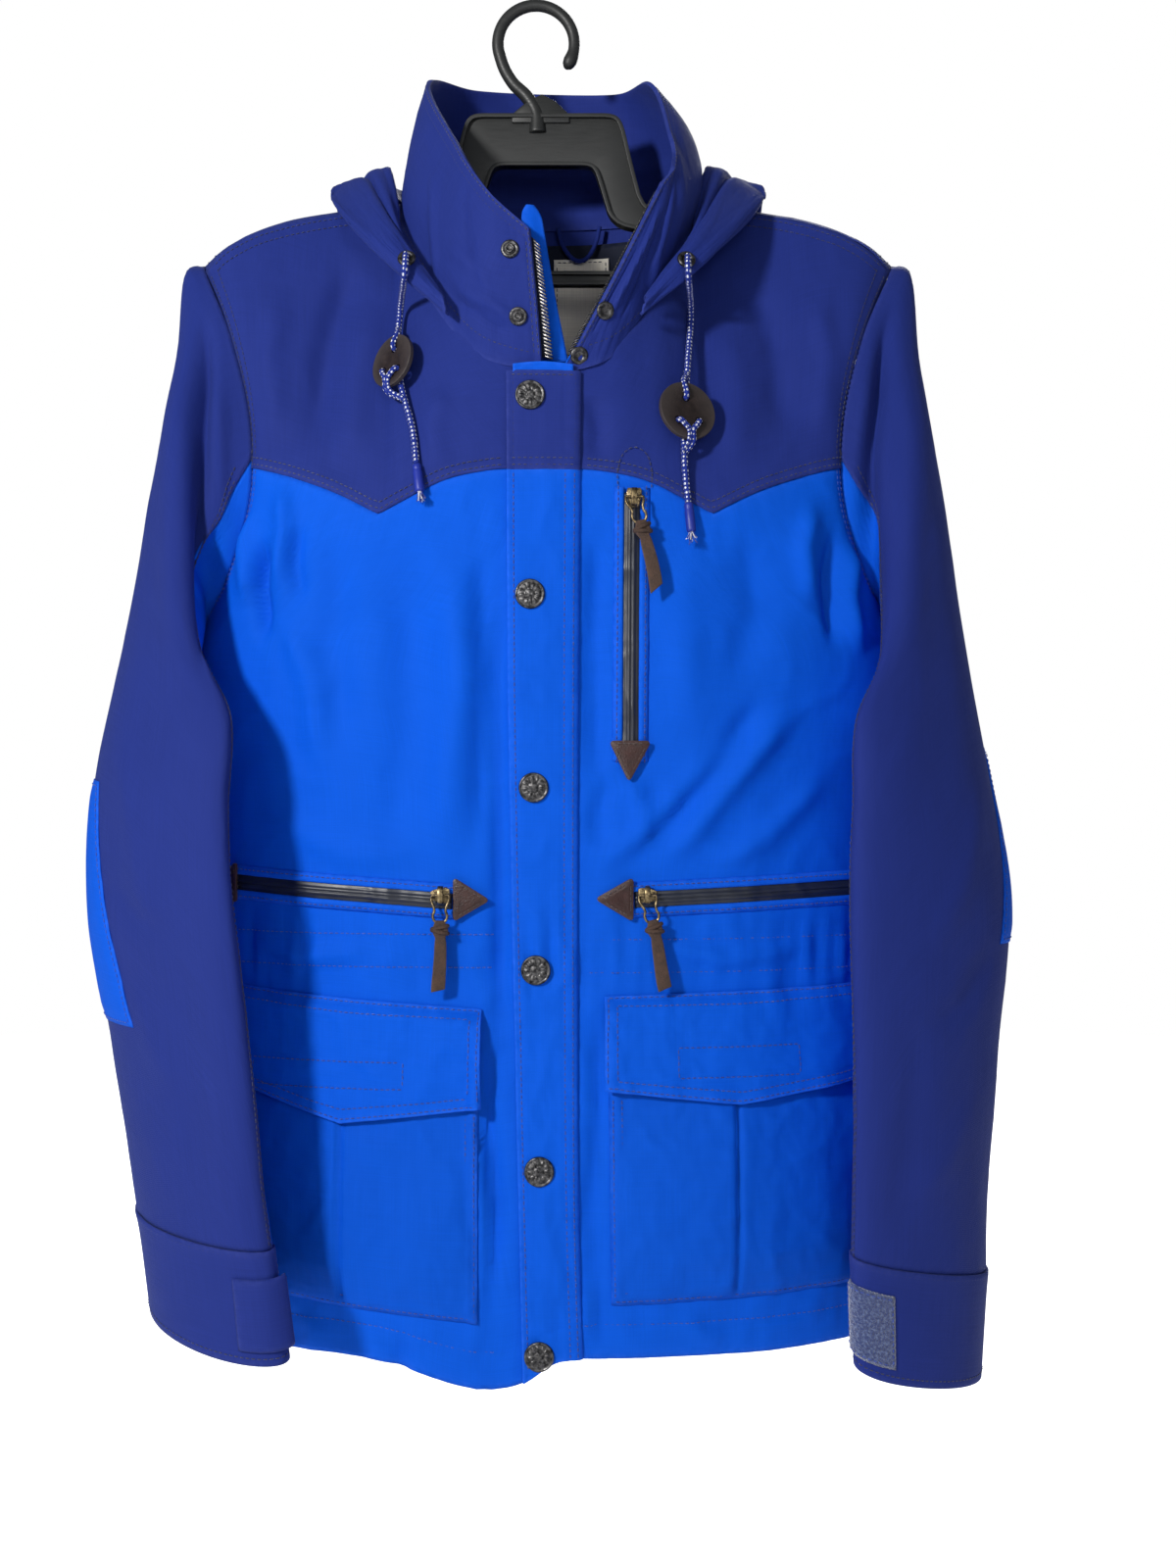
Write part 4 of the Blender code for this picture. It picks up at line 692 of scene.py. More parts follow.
def woven(name, colour, yarn=0.55, depth=0.00010, rough=0.62, sheen=0.25, slub=0.10, tint=(0.5, 0.6, 1.0)):
    """Tightly woven shell cloth: plain weave, uneven yarns, faint mottling, paler worn edges, and painted
    shade in the hollows between the yarns.
    """
    paint = Paint(name, rough, Sheen_Weight=sheen, Sheen_Roughness=0.45, Specular_IOR_Level=0.10)
    paint.shader.inputs["Sheen Tint"].default_value = tint + (1.0,)
    flat = paint.flat()
    threads = paint.scaled(flat, 1000 / yarn, 1000 / yarn)
    split = paint.node("SeparateXYZ", {0: threads})
    over = paint.math("ABSOLUTE", paint.math("SINE", paint.math("MULTIPLY", split.outputs[0], math.pi)))
    under = paint.math("ABSOLUTE", paint.math("SINE", paint.math("MULTIPLY", split.outputs[1], math.pi)))
    cells = paint.node("TexChecker", {"Vector": threads, "Scale": 1.0}).outputs["Fac"]
    height = paint.node("Mix", {0: cells, 2: over, 3: under}, data_type="FLOAT").outputs[0]
    warp = paint.noise(paint.scaled(flat, 1500, 22), 1.0, 2.0)
    weft = paint.noise(paint.scaled(flat, 26, 1400), 1.0, 2.0)
    yarns = paint.math("ADD", paint.math("MULTIPLY", warp, 0.5), paint.math("MULTIPLY", weft, 0.5))
    mottle = paint.noise(flat, 14.0, 3.0, 0.55)
    dull, bright = scale_colour(colour, 1 - slub), scale_colour(colour, 1 + slub)
    tone = paint.mix(paint.between(yarns, 0.35, 0.65), dull, bright)
    tone = paint.mix(paint.between(mottle, 0.3, 0.7, 0.0, 0.35), tone, scale_colour(colour, 0.86))
    # painted shade: the colour darkens where the weave's height is low, in the hollows between the yarns
    tone = paint.mix(paint.between(height, 0.0, 0.5, 0.16, 0.0), tone, scale_colour(colour, 0.55))
    rubbed = paint.between(paint.noise(flat, 240.0, 3.0), 0.35, 0.7, 0.05, 0.32)
    tone = paint.mix(paint.math("MULTIPLY", paint.edge(), rubbed), tone, paler(colour, 0.03, 1.45))
    creases = paint.noise(paint.scaled(flat, 1.0, 0.6), 95.0, 4.0, 0.62)
    normal = paint.bump(creases, 0.0011, 0.35)
    normal = paint.bump(paint.math("ADD", height, paint.math("MULTIPLY", yarns, 1.2)), depth, 0.7, normal)
    return paint.finish(tone, paint.between(yarns, 0.3, 0.7, rough + 0.06, rough - 0.06), normal)


def leather(name, colour, rough=0.5, bump=0.0003):
    """Grained leather with paler rubbed edges."""
    paint = Paint(name, rough, Specular_IOR_Level=0.4)
    solid = paint.solid()
    cells = paint.node("TexVoronoi", {"Vector": solid, "Scale": 900.0, "Randomness": 0.9}).outputs["Distance"]
    patches = paint.noise(solid, 180.0, 4.0, 0.6)
    fine = paint.noise(solid, 1400.0, 3.0, 0.6)
    tone = paint.mix(paint.between(patches, 0.3, 0.7), scale_colour(colour, 0.62), scale_colour(colour, 1.5))
    tone = paint.mix(paint.between(cells, 0.0, 0.5, 0.35, 0.0), tone, scale_colour(colour, 0.4))
    tone = paint.mix(paint.math("MULTIPLY", paint.edge(), 0.55), tone, paler(colour, 0.02, 1.8))
    normal = paint.bump(paint.math("ADD", cells, fine), bump, 0.6)
    return paint.finish(tone, paint.between(patches, 0.3, 0.7, rough - 0.1, rough + 0.12), normal)


def metal(name, colour, dark, rough=0.34):
    """Antiqued metal: dark in the hollows, rubbed bright where it is touched."""
    paint = Paint(name, rough, 1.0)
    solid = paint.solid()
    patches = paint.noise(solid, 420.0, 5.0, 0.65)
    fine = paint.noise(solid, 2600.0, 2.0)
    tone = paint.mix(paint.between(patches, 0.38, 0.66), dark, colour)
    return paint.finish(tone, paint.between(patches, 0.3, 0.7, rough + 0.16, rough - 0.06),
                        paint.bump(paint.math("ADD", patches, fine), 0.00012, 0.5))


def moulded(name, colour, rough=0.42, spot=0.00008):
    """Moulded plastic with a fine spark-eroded surface and small scuffs."""
    paint = Paint(name, rough, Specular_IOR_Level=0.45)
    solid = paint.solid()
    cloud = paint.noise(solid, 38.0, 4.0)
    grain = paint.noise(solid, 3000.0, 2.0)
    scuffs = paint.noise(paint.scaled(solid, 60, 60, 900), 1.0, 3.0, 0.7)
    tone = paint.mix(paint.between(cloud, 0.3, 0.7), scale_colour(colour, 0.85), scale_colour(colour, 1.15))
    tone = paint.mix(paint.between(scuffs, 0.62, 0.75, 0.0, 0.3), tone, scale_colour(colour, 2.2))
    rough = paint.between(scuffs, 0.4, 0.75, rough, rough + 0.2)
    return paint.finish(tone, rough, paint.bump(grain, spot, 0.4))


def braided(name, colour, fleck):
    """Round braided cord with pale flecks and painted shade between its strands; its map runs round and along
    in metres.
    """
    paint = Paint(name, 0.75, Sheen_Weight=0.05, Specular_IOR_Level=0.2)
    flat = paint.flat()
    split = paint.node("SeparateXYZ", {0: flat})
    lean = paint.math("MULTIPLY", split.outputs[0], 2 * math.pi / (math.pi * CORD * MM))
    run = paint.math("MULTIPLY", split.outputs[1], 2 * math.pi / (3.0 * MM))
    one = paint.math("SINE", paint.math("ADD", paint.math("MULTIPLY", lean, 4.0), run))
    two = paint.math("SINE", paint.math("SUBTRACT", paint.math("MULTIPLY", lean, 4.0), run))
    strands = paint.math("MULTIPLY", one, two)
    places = {"Vector": paint.scaled(flat, 400, 360), "Scale": 1.0, "Randomness": 0.25}
    cells = paint.node("TexVoronoi", places)
    pale = paint.between(cells.outputs["Distance"], 0.26, 0.31, 1.0, 0.0)
    tone = paint.mix(pale, colour, fleck)
    # painted shade: darker where the strands' height is low, between them
    tone = paint.mix(paint.between(strands, -0.2, 0.4, 0.4, 0.0), tone, scale_colour(colour, 0.3))
    return paint.finish(tone, None, paint.bump(strands, 0.00022, 0.9))


def plain_thread(name, colour):
    """Twisted thread, with painted shade between its turns and painted light on them."""
    paint = Paint(name, 0.6, Sheen_Weight=0.3)
    twist = paint.noise(paint.solid(), 2200.0, 2.0)
    # painted shade and light: the noise that gives the bump also darkens its low places and lightens its high
    # ones
    tone = paint.mix(paint.between(twist, 0.35, 0.65), scale_colour(colour, 0.6), scale_colour(colour, 1.5))
    return paint.finish(tone, None, paint.bump(twist, 0.0001, 0.6))


def coated(name, colour, rough=0.38):
    """Rubber-coated zip tape."""
    paint = Paint(name, rough, Specular_IOR_Level=0.5)
    flat = paint.flat()
    fine = paint.noise(flat, 1800.0, 3.0, 0.6)
    cloud = paint.noise(paint.scaled(flat, 1.0, 0.2), 160.0, 3.0)
    tone = paint.mix(paint.between(cloud, 0.3, 0.7), scale_colour(colour, 0.8), scale_colour(colour, 1.3))
    return paint.finish(tone, paint.between(cloud, 0.3, 0.7, rough - 0.06, rough + 0.12),
                        paint.bump(fine, 0.00008, 0.6))


def napped(name, colour, fleck):
    """The looped half of a hook-and-loop fastening: a fuzzy, heathered nap."""
    paint = Paint(name, 0.9, Sheen_Weight=0.6)
    flat = paint.flat()
    loops = paint.node("TexVoronoi", {"Vector": flat, "Scale": 900.0}).outputs["Distance"]
    heather = paint.noise(flat, 520.0, 4.0, 0.7)
    tone = paint.mix(paint.between(heather, 0.46, 0.62), colour, fleck)
    return paint.finish(tone, None, paint.bump(loops, 0.0008, 0.9))


# ---------------------------------------------------------------- making pieces
def in_world(points):
    """Millimetres from the garment's middle to metres from the hook."""
    return (np.asarray(points, float).reshape(-1, 3) + (HOOK_SIDE, 0, 0)) * MM


def unit(vectors):
    """The same directions, one long."""
    vectors = np.asarray(vectors, float)
    return vectors / np.maximum(np.linalg.norm(vectors, axis=-1, keepdims=True), 1e-9)


def mark_edge(mesh, edge):
    """Stores how near each point is to its piece's edge."""
    layer = mesh.attributes.new(EDGE, "FLOAT", "POINT")
    layer.data.foreach_set("value", np.asarray(edge, np.float32).ravel())


def add_mesh(name, points, faces, material, flat=None, edge=None):
    """A smooth mesh in the scene, with its map and the nearness of its edges where given."""
    mesh = bpy.data.meshes.new(name)
    mesh.from_pydata(in_world(points).tolist(), [], [tuple(int(i) for i in face) for face in faces])
    if flat is not None:
        corner = np.empty(len(mesh.loops), np.int32)
        mesh.loops.foreach_get("vertex_index", corner)
        layer = mesh.uv_layers.new(name=FLAT_MAP)
        places = np.asarray(flat, float).reshape(-1, 2) * MM
        layer.data.foreach_set("uv", places[corner].astype(np.float32).ravel())
    if edge is not None:
        mark_edge(mesh, edge)
    mesh.polygons.foreach_set("use_smooth", [True] * len(mesh.polygons))
    mesh.materials.append(material)
    thing = bpy.data.objects.new(name, mesh)
    bpy.context.scene.collection.objects.link(thing)
    return thing


def settle(thing, nodes=(), body=BODY):
    """The piece moves with its body, and stands for the given CAD nodes."""
    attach(thing, body)
    if nodes:
        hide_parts(*nodes)
    return thing


def grid_faces(rows, columns, closed=False):
    """Faces of a grid of points; a closed one joins its last column to its first."""
    j, i = np.meshgrid(np.arange(rows - 1), np.arange(columns if closed else columns - 1), indexing="ij")
    k = (i + 1) % columns
    low = j * columns
    high = (j + 1) * columns
    return np.stack([low + i, low + k, high + k, high + i], axis=-1).reshape(-1, 4).tolist()


def grid_size(grid):
    """Lengths of the longest row and column, and the area, in millimetres."""
    across = np.linalg.norm(np.diff(grid, axis=1), axis=2)
    down = np.linalg.norm(np.diff(grid, axis=0), axis=2)
    one = np.cross(grid[1:, :-1] - grid[:-1, :-1], grid[:-1, 1:] - grid[:-1, :-1])
    two = np.cross(grid[1:, :-1] - grid[1:, 1:], grid[:-1, 1:] - grid[1:, 1:])
    area = 0.5 * (np.linalg.norm(one, axis=2).sum() + np.linalg.norm(two, axis=2).sum())
    return across.sum(axis=1).max(), down.sum(axis=0).max(), area


def flat_places(grid):
    """Each point's place on the flat cloth, and its distance from the sheet's border."""
    across = np.linalg.norm(np.diff(grid, axis=1), axis=2)
    down = np.linalg.norm(np.diff(grid, axis=0), axis=2)
    across = np.concatenate([np.zeros((grid.shape[0], 1)), np.cumsum(across, axis=1)], axis=1)
    down = np.concatenate([np.zeros((1, grid.shape[1])), np.cumsum(down, axis=0)], axis=0)
    middle = across[:, grid.shape[1] // 2][:, None]
    border = np.minimum(
        np.minimum(across, across[:, -1:] - across), np.minimum(down, down[-1:, :] - down)
    )
    return np.stack([across - middle, down], axis=-1), border


NARROWEST = 0.010  # a cut is at least this wide, in metres


def thicken(thing, thickness, offset=0.0):
    """Gives a sheet its wall; the offset is 0 for both sides alike, or 1 or -1 for one side."""
    wall = thing.modifiers.new("Wall", "SOLIDIFY")
    wall.thickness = thickness * MM
    wall.offset = offset


def cloth(name, grid, material, thickness, nodes=(), base=None):
    """A sheet of cloth on a grid of points; the size it was cut to is measured.

    Where a base is given, the cut is measured on it, before puckers and crumples.
    """
    flat, border = flat_places(grid)
    thing = add_mesh(name, grid, grid_faces(*grid.shape[:2]), material, flat, np.exp(-border / 2.2))
    thicken(thing, thickness)
    settle(thing, nodes)
    width, length, area = grid_size(grid if base is None else base)
    width = max(round(width * MM, 3), NARROWEST)
    length = max(round(length * MM, 3), NARROWEST)
    return thing


def soften(thing, width, segments=2, angle=35.0):
    """Rounds a mesh's sharp edges."""
    bevel = thing.modifiers.new("Round", "BEVEL")
    bevel.width = width * MM
    bevel.segments = segments
    bevel.limit_method = "ANGLE"
    bevel.angle_limit = math.radians(angle)
    return thing


class Parts:
    """Points and faces of many small shapes that become one piece."""

    def __init__(self):
        self.points = []
        self.faces = []
        self.flat = []

    def add(self, points, faces, flat=None):
        start = len(self.points)
        points = np.asarray(points, float).reshape(-1, 3)
        flat = np.zeros((len(points), 2)) if flat is None else np.asarray(flat).reshape(-1, 2)
        self.points.extend(points.tolist())
        self.faces.extend([tuple(int(i) + start for i in face) for face in faces])
        self.flat.extend(flat.tolist())

    def piece(self, name, material):
        return outward(add_mesh(name, self.points, self.faces, material, self.flat))


def add_solid(name, shape, material):
    """A piece from one closed shape, given as its points and faces."""
    parts = Parts()
    parts.add(*shape)
    return parts.piece(name, material)


def add_tube(name, path, radius, round_count, material):
    """A round tube along a path, with its map."""
    points, faces, flat = tube_shape(path, radius, round_count)
    return add_mesh(name, points, faces, material, flat)


def outward(thing):
    """Turns all faces of closed shapes outwards."""
    made = bmesh.new()
    made.from_mesh(thing.data)
    bmesh.ops.recalc_face_normals(made, faces=made.faces)
    made.to_mesh(thing.data)
    made.free()
    return thing


def frames_along(points, closed=False):
    """Tangents and two side directions that don't twist along a path."""
    points = np.asarray(points, float)
    if closed:
        tangents = unit(np.roll(points, -1, axis=0) - np.roll(points, 1, axis=0))
    else:
        tangents = unit(np.gradient(points, axis=0))
    side = np.cross(tangents[0], (0, 0, 1))
    if np.linalg.norm(side) < 0.2:
        side = np.cross(tangents[0], (1, 0, 0))
    sides = []
    for tangent in tangents:
        side = unit(side - tangent * np.dot(side, tangent))
        sides.append(side)
    sides = np.array(sides)
    return tangents, sides, np.cross(tangents, sides)


def tube_shape(points, radius, round_count=10, closed=False):
    """Points, faces and map of a round tube; radius may be one for each point."""
    points = np.asarray(points, float)
    _, side, other = frames_along(points, closed)
    radius = np.broadcast_to(np.asarray(radius, float), (len(points),))
    turn = np.arange(round_count) / round_count * 2 * math.pi
    ring = side[:, None] * np.cos(turn)[None, :, None] + other[:, None] * np.sin(turn)[None, :, None]
    shell = points[:, None] + ring * radius[:, None, None]
    run = lengths_along(points)
    flat = np.stack(np.broadcast_arrays(turn[None, :] * radius.mean(), run[:, None]), axis=-1)
    faces = grid_faces(len(points), round_count, closed=True)
    if closed:
        last = (len(points) - 1) * round_count
        for i in range(round_count):
            k = (i + 1) % round_count
            faces.append((last + i, last + k, k, i))
    else:
        faces.append(tuple(reversed(range(round_count))))
        faces.append(tuple(range((len(points) - 1) * round_count, len(points) * round_count)))
    return shell.reshape(-1, 3), faces, flat.reshape(-1, 2)


def turned_shape(centre, axis, profile, segments=32, ripple=None):
    """A turned solid from pairs of radius and height; ripple adds height by radius and angle."""
    axis = unit(axis)
    side = unit(np.cross(axis, (0.03, 0.02, 1.0)))
    other = np.cross(axis, side)
    turn = np.arange(segments) / segments * 2 * math.pi
    points = []
    for radius, height in profile:
        lift = np.full(segments, float(height))
        if ripple is not None:
            lift = lift + ripple(radius, turn)
        spoke = side[None] * np.cos(turn)[:, None] + other[None] * np.sin(turn)[:, None]
        points.append(np.asarray(centre) + axis * lift[:, None] + spoke * max(radius, 0.02))
    points = np.concatenate(points)
    faces = grid_faces(len(profile), segments, closed=True)
    faces.append(tuple(reversed(range(segments))))
    faces.append(tuple(range((len(profile) - 1) * segments, len(profile) * segments)))
    return points, faces


def slab_shape(outline, step):
    """A flat solid from a loop of points and the step to its other face."""
    outline = np.asarray(outline, float)
    count = len(outline)
    points = np.concatenate([outline, outline + np.asarray(step, float)])
    faces = [tuple(range(count)), tuple(reversed(range(count, 2 * count)))]
    for i in range(count):
        k = (i + 1) % count
        faces.append((i, i + count, k + count, k))
    return points, faces


# ---------------------------------------------------------------- stitches
STITCH = 2.7
STITCH_PITCH = 3.5
THREAD = 0.30
STITCH_POINTS = 10
threads = {}  # for each colour, its rows of stitches


def stitch_run(lay, a, b, thread="indigo", out=0.62, pitch=STITCH_PITCH):
    """A row of stitches over a cloth, along a line of places on it."""
    a = np.asarray(a, float)
    b = np.asarray(b, float)
    share = np.linspace(0, 1, 160)
    steps = np.concatenate([[0], np.cumsum(np.hypot(np.diff(a), np.diff(b)) + 1e-9)])
    a = np.interp(share * steps[-1], steps, a)
    b = np.interp(share * steps[-1], steps, b)
    line = lay(a, b, out)
    way_out = unit(lay(a, b, out + 1.0) - line)
    run = lengths_along(line)
    count = int(run[-1] / pitch)
    if count < 1:
        return
    starts = np.arange(count) * pitch + 0.4
    at = [np.stack([np.interp(starts + add, run, line[:, k]) for k in range(3)], axis=1)
          for add in (0, STITCH * 0.22, STITCH * 0.78, STITCH)]
    normal = unit(np.stack([np.interp(starts, run, way_out[:, k]) for k in range(3)], axis=1))
    side = unit(np.cross(at[3] - at[0], normal))
    shape = threads.setdefault(thread, [])
    first = at[0] - normal * 0.30
    last = at[3] - normal * 0.30
    rings = []
    for middle in (at[1], at[2]):
        for way in (side, normal, -side, -normal):
            rings.append(middle + way * THREAD)
    shape.append(np.stack([first] + rings + [last], axis=1))


def stitch_loop(lay, corners, count, thread="indigo", out=0.62):
    """Stitches along the sides of a closed loop of corners."""
    for (a0, b0), (a1, b1) in zip(corners, corners[1:] + corners[:1]):
        stitch_run(lay, np.linspace(a0, a1, count), np.linspace(b0, b1, count), thread, out=out)


STITCH_FACES = (
    [(0, 1 + k, 1 + (k + 1) % 4) for k in range(4)]
    + [(1 + k, 5 + k, 5 + (k + 1) % 4, 1 + (k + 1) % 4) for k in range(4)]
    + [(5 + k, 9, 5 + (k + 1) % 4) for k in range(4)]
)


def add_stitches(materials):
    """One piece for each thread colour, from all of its rows."""
    for thread, rows in threads.items():
        points = np.concatenate(rows).reshape(-1, 3)
        starts = range(0, len(points), STITCH_POINTS)
        faces = [tuple(start + corner for corner in face) for start in starts for face in STITCH_FACES]
        settle(outward(add_mesh("stitches_" + thread, points, faces, materials[thread])))


# ---------------------------------------------------------------- cloth forms with their relief
class Cloth:
    """A form whose cloth is lifted and sunk by a relief."""

    def __init__(self, form, rise):
        self.form = form
        self.rise = rise

    def at(self, a, b, out=0.0):
        """Points of the lifted cloth at the form's own places, moved out by a distance."""
        a, b = np.broadcast_arrays(np.asarray(a, float), np.asarray(b, float))
        base = self.form.point(a, b)
        out = np.broadcast_to(np.asarray(out, float), a.shape)
        return base + self.form.normal(a, b) * (self.rise(a, b, base) + out)[..., None]

    def lay(self, a, b, out=0.0):
        return self.at(a, b, out)


class BodyCloth(Cloth):
    """The front or back, whose places may also be given as x and z."""

    def lay(self, x, z, out=0.0):
        u, v = self.form.place(x, z)
        return self.at(u, v, out)


# ---------------------------------------------------------------- folds, placed one by one
# Each fold: its line, half width, height (below 0 for a trough) and lean to one side.
FRONT_FOLDS = (
    # wearer's right: crumples under the arm, then long soft verticals
    (((-172, -352), (-176, -385), (-171, -420)), 5.0, -5.5, 0.4),
    (((-163, -318), (-160, -350), (-166, -392)), 6.0, 3.2, -0.3),
    (((-150, -345), (-152, -370), (-149, -398)), 5.0, -2.6, 0.3),
    (((-184, -330), (-187, -360), (-183, -398)), 5.0, 2.8, 0.0),
    (((-160, -400), (-140, -440), (-136, -500)), 9.0, 2.6, 0.3),
    (((-120, -352), (-128, -420), (-122, -490)), 13.0, -2.6, 0.2),
    (((-56, -352), (-48, -440), (-60, -560)), 12.0, 3.0, 0.4),
    (((-84, -360), (-80, -450), (-92, -556)), 14.0, -2.4, 0.1),
    (((-38, -350), (-34, -440), (-40, -560)), 7.0, -2.6, 0.3),
    (((-25, -352), (-26, -450), (-27, -560), (-26, -690)), 4.0, -3.6, 0.3),
    (((-180, -520), (-120, -548), (-70, -545)), 9.0, 1.5, 0.2),
    # wearer's left: diagonals from the arm down to the hand zip
    (((157, -454), (120, -500), (73, -557)), 8.0, 3.4, 0.5),
    (((140, -446), (104, -494), (60, -548)), 7.0, -2.6, 0.2),
    (((120, -470), (72, -520), (26, -560)), 7.0, 2.8, -0.5),
    (((176, -500), (140, -535), (104, -560)), 8.0, 2.4, 0.4),
    (((180, -345), (174, -380), (180, -425)), 5.0, -4.0, 0.2),
    (((166, -330), (158, -362), (164, -400)), 6.5, 3.0, 0.2),
    (((192, -352), (188, -390), (196, -430)), 5.0, 3.0, 0.0),
    (((120, -350), (132, -400), (112, -450)), 12.0, -2.2, 0.2),
    (((90, -350), (84, -420), (92, -480)), 13.0, 2.0, 0.2),
    (((34, -340), (30, -420), (33, -520)), 6.0, -2.4, 0.2),
    (((48, -498), (60, -520), (58, -545)), 4.5, 1.8, 0.3),
    (((40, -500), (32, -526), (36, -548)), 4.5, -1.8, 0.3),
    # yoke: soft diagonals from under the hood
    (((-122, -166), (-136, -230), (-143, -300)), 10.0, -3.0, 0.3),
    (((-104, -200), (-116, -250), (-118, -318)), 12.0, 2.4, 0.2),
    (((-168, -190), (-172, -240), (-164, -300)), 9.0, 1.8, 0.2),
    (((-60, -262), (-66, -290), (-64, -322)), 8.0, 1.8, 0.2),
    (((128, -176), (146, -232), (150, -296)), 11.0, -2.6, 0.3),
    (((112, -210), (120, -262), (118, -320)), 12.0, 2.2, 0.2),
    (((170, -190), (178, -240), (170, -296)), 8.0, 1.8, 0.2),
    (((28, -268), (34, -292), (30, -314)), 6.0, -1.8, 0.2),
    # skirt: twisted folds between the placket and the pockets, and under them
    (((-30, -650), (-34, -700), (-28, -760), (-34, -830)), 4.5, -3.4, 0.4),
    (((-37, -640), (-40, -720), (-35, -790), (-42, -846)), 4.5, 2.6, 0.2),
    (((30, -640), (34, -700), (28, -768), (33, -846)), 4.0, -3.0, 0.3),
    (((25, -760), (30, -800), (24, -846)), 3.5, 2.2, 0.2),
    (((-150, -826), (-140, -838), (-146, -852)), 6.0, 1.8, 0.0),
    (((-90, -838), (-84, -850), (-92, -866)), 6.0, -2.0, 0.0),
    (((-205, -600), (-203, -700), (-206, -800)), 5.0, -2.4, 0.2),
    (((203, -600), (204, -700), (203, -820)), 5.0, -2.4, 0.2),
    (((80, -826), (96, -838), (110, -842)), 5.0, 1.6, 0.0),
    (((-190, -600), (-150, -612), (-100, -606)), 5.0, 1.6, 0.2),
    (((60, -600), (110, -612), (170, -604)), 5.0, 1.6, 0.2),
)
BACK_FOLDS = (
    (((-60, -360), (-66, -480), (-52, -600)), 14.0, 3.2, 0.3),
    (((70, -356), (60, -470), (74, -590)), 14.0, 3.0, -0.3),
    (((0, -372), (8, -480), (-4, -590)), 15.0, -3.2, 0.2),
    (((-150, -340), (-128, -420), (-140, -520)), 11.0, 3.0, 0.4),
    (((152, -340), (132, -430), (138, -520)), 11.0, 3.0, -0.4),
    (((-180, -360), (-166, -420), (-178, -500)), 6.5, -4.2, 0.3),
    (((182, -360), (170, -420), (176, -500)), 6.5, -4.2, -0.3),
    (((-110, -380), (-96, -480), (-108, -580)), 12.0, -2.6, 0.0),
    (((112, -384), (100, -480), (108, -580)), 12.0, -2.6, 0.0),
    (((-120, -640), (-112, -740), (-126, -840)), 12.0, 3.2, 0.3),
    (((-40, -640), (-50, -740), (-40, -846)), 13.0, -3.0, 0.2),
    (((36, -636), (46, -740), (34, -846)), 12.0, 3.0, 0.3),
    (((120, -640), (108, -730), (118, -840)), 12.0, -3.0, 0.2),
    (((170, -630), (176, -720), (166, -820)), 9.0, 2.6, 0.2),
    (((-172, -630), (-178, -720), (-168, -820)), 9.0, -2.6, 0.2),
    (((-120, -180), (-130, -250), (-120, -310)), 12.0, 2.4, 0.2),
    (((122, -180), (130, -250), (118, -310)), 12.0, 2.4, 0.2),
    (((-170, -200), (-176, -260), (-166, -320)), 8.0, -2.6, 0.2),
    (((172, -200), (176, -260), (168, -320)), 8.0, -2.6, 0.2),
)
# Sleeves: x is the distance from the garment's middle. The deep one hangs down from the cap.
SLEEVE_FRONT_FOLDS = {
    "right": (
        (((219, -190), (218, -230), (217, -275), (212, -338), (208, -400), (204, -450)), 6.5, -13.0, 0.35),
        (((231, -215), (230, -290), (224, -380), (218, -450)), 11.0, 4.5, 0.0),
        (((205, -250), (206, -300), (203, -350)), 7.0, 3.0, 0.0),
        (((250, -330), (246, -430), (240, -520)), 14.0, -2.0, 0.2),
        (((262, -470), (246, -540), (234, -600)), 9.0, 1.8, 0.3),
        (((268, -560), (240, -590), (216, -596)), 8.0, -1.8, 0.3),
        (((252, -620), (232, -660), (214, -690)), 10.0, 1.8, 0.3),
        (((214, -600), (206, -680), (196, -740)), 10.0, -1.6, 0.0),
    ),
    "left": (
        (((221, -184), (213, -215), (207, -262), (200, -300), (197, -350), (200, -420)), 6.5, -13.0, -0.35),
        (((230, -215), (226, -290), (220, -380), (214, -450)), 11.0, 4.5, 0.0),
        (((204, -240), (198, -280), (194, -330)), 6.0, 2.6, 0.0),
        (((252, -360), (240, -440), (236, -540)), 14.0, -1.8, 0.2),
        (((270, -500), (250, -570), (226, -610)), 9.0, 1.8, 0.3),
        (((276, -600), (250, -640), (222, -650)), 8.0, -1.8, 0.3),
        (((262, -690), (240, -730), (214, -750)), 11.0, 1.6, 0.3),
        (((222, -620), (214, -700), (206, -780)), 10.0, -1.6, 0.0),
    ),
}
SLEEVE_BACK_FOLDS = (
    (((206, -220), (214, -300), (216, -390)), 7.0, -9.0, 0.3),
    (((226, -240), (228, -330), (226, -420)), 11.0, 3.6, 0.0),
    (((246, -340), (240, -440), (238, -540)), 13.0, -2.2, 0.2),
    (((268, -520), (246, -560), (232, -600)), 8.0, 3.0, 0.3),
    (((274, -560), (250, -600), (230, -640)), 8.0, -3.0, 0.3),
    (((262, -620), (240, -660), (222, -690)), 9.0, 2.4, 0.3),
    (((240, -700), (228, -760), (220, -800)), 10.0, -1.8, 0.0),
)
# Collar: x runs 620 round from the right front edge, y up to 85. Hood: 520 round, 330 out to the brim.
COLLAR_ROUND = 620
COLLAR_HIGH = 85
COLLAR_FOLDS = (
    (((18, 20), (60, 26), (110, 18)), 4.0, 2.2, 0.3),
    (((30, 12), (80, 15), (120, 8)), 3.2, -2.0, 0.2),
    (((50, 34), (90, 40), (130, 34)), 5.0, 1.6, 0.2),
    (((70, 30), (100, 56), (122, 80)), 6.0, -1.8, 0.2),
    (((130, 6), (150, 30), (168, 60)), 5.0, 2.0, 0.2),
    (((560, 8), (545, 24), (552, 60)), 5.0, -2.2, 0.2),
    (((585, 10), (578, 34), (566, 66)), 6.0, 2.4, 0.3),
    (((604, 6), (600, 30), (590, 50)), 4.0, -2.0, 0.2),
    (((500, 6), (520, 30), (515, 70)), 6.0, 2.0, 0.2),
    (((250, 8), (300, 14), (350, 8)), 4.0, 1.8, 0.0),
    (((280, 30), (320, 26), (380, 34)), 5.0, -1.6, 0.0),
)
HOOD_ROUND = 520
HOOD_LONG = 330
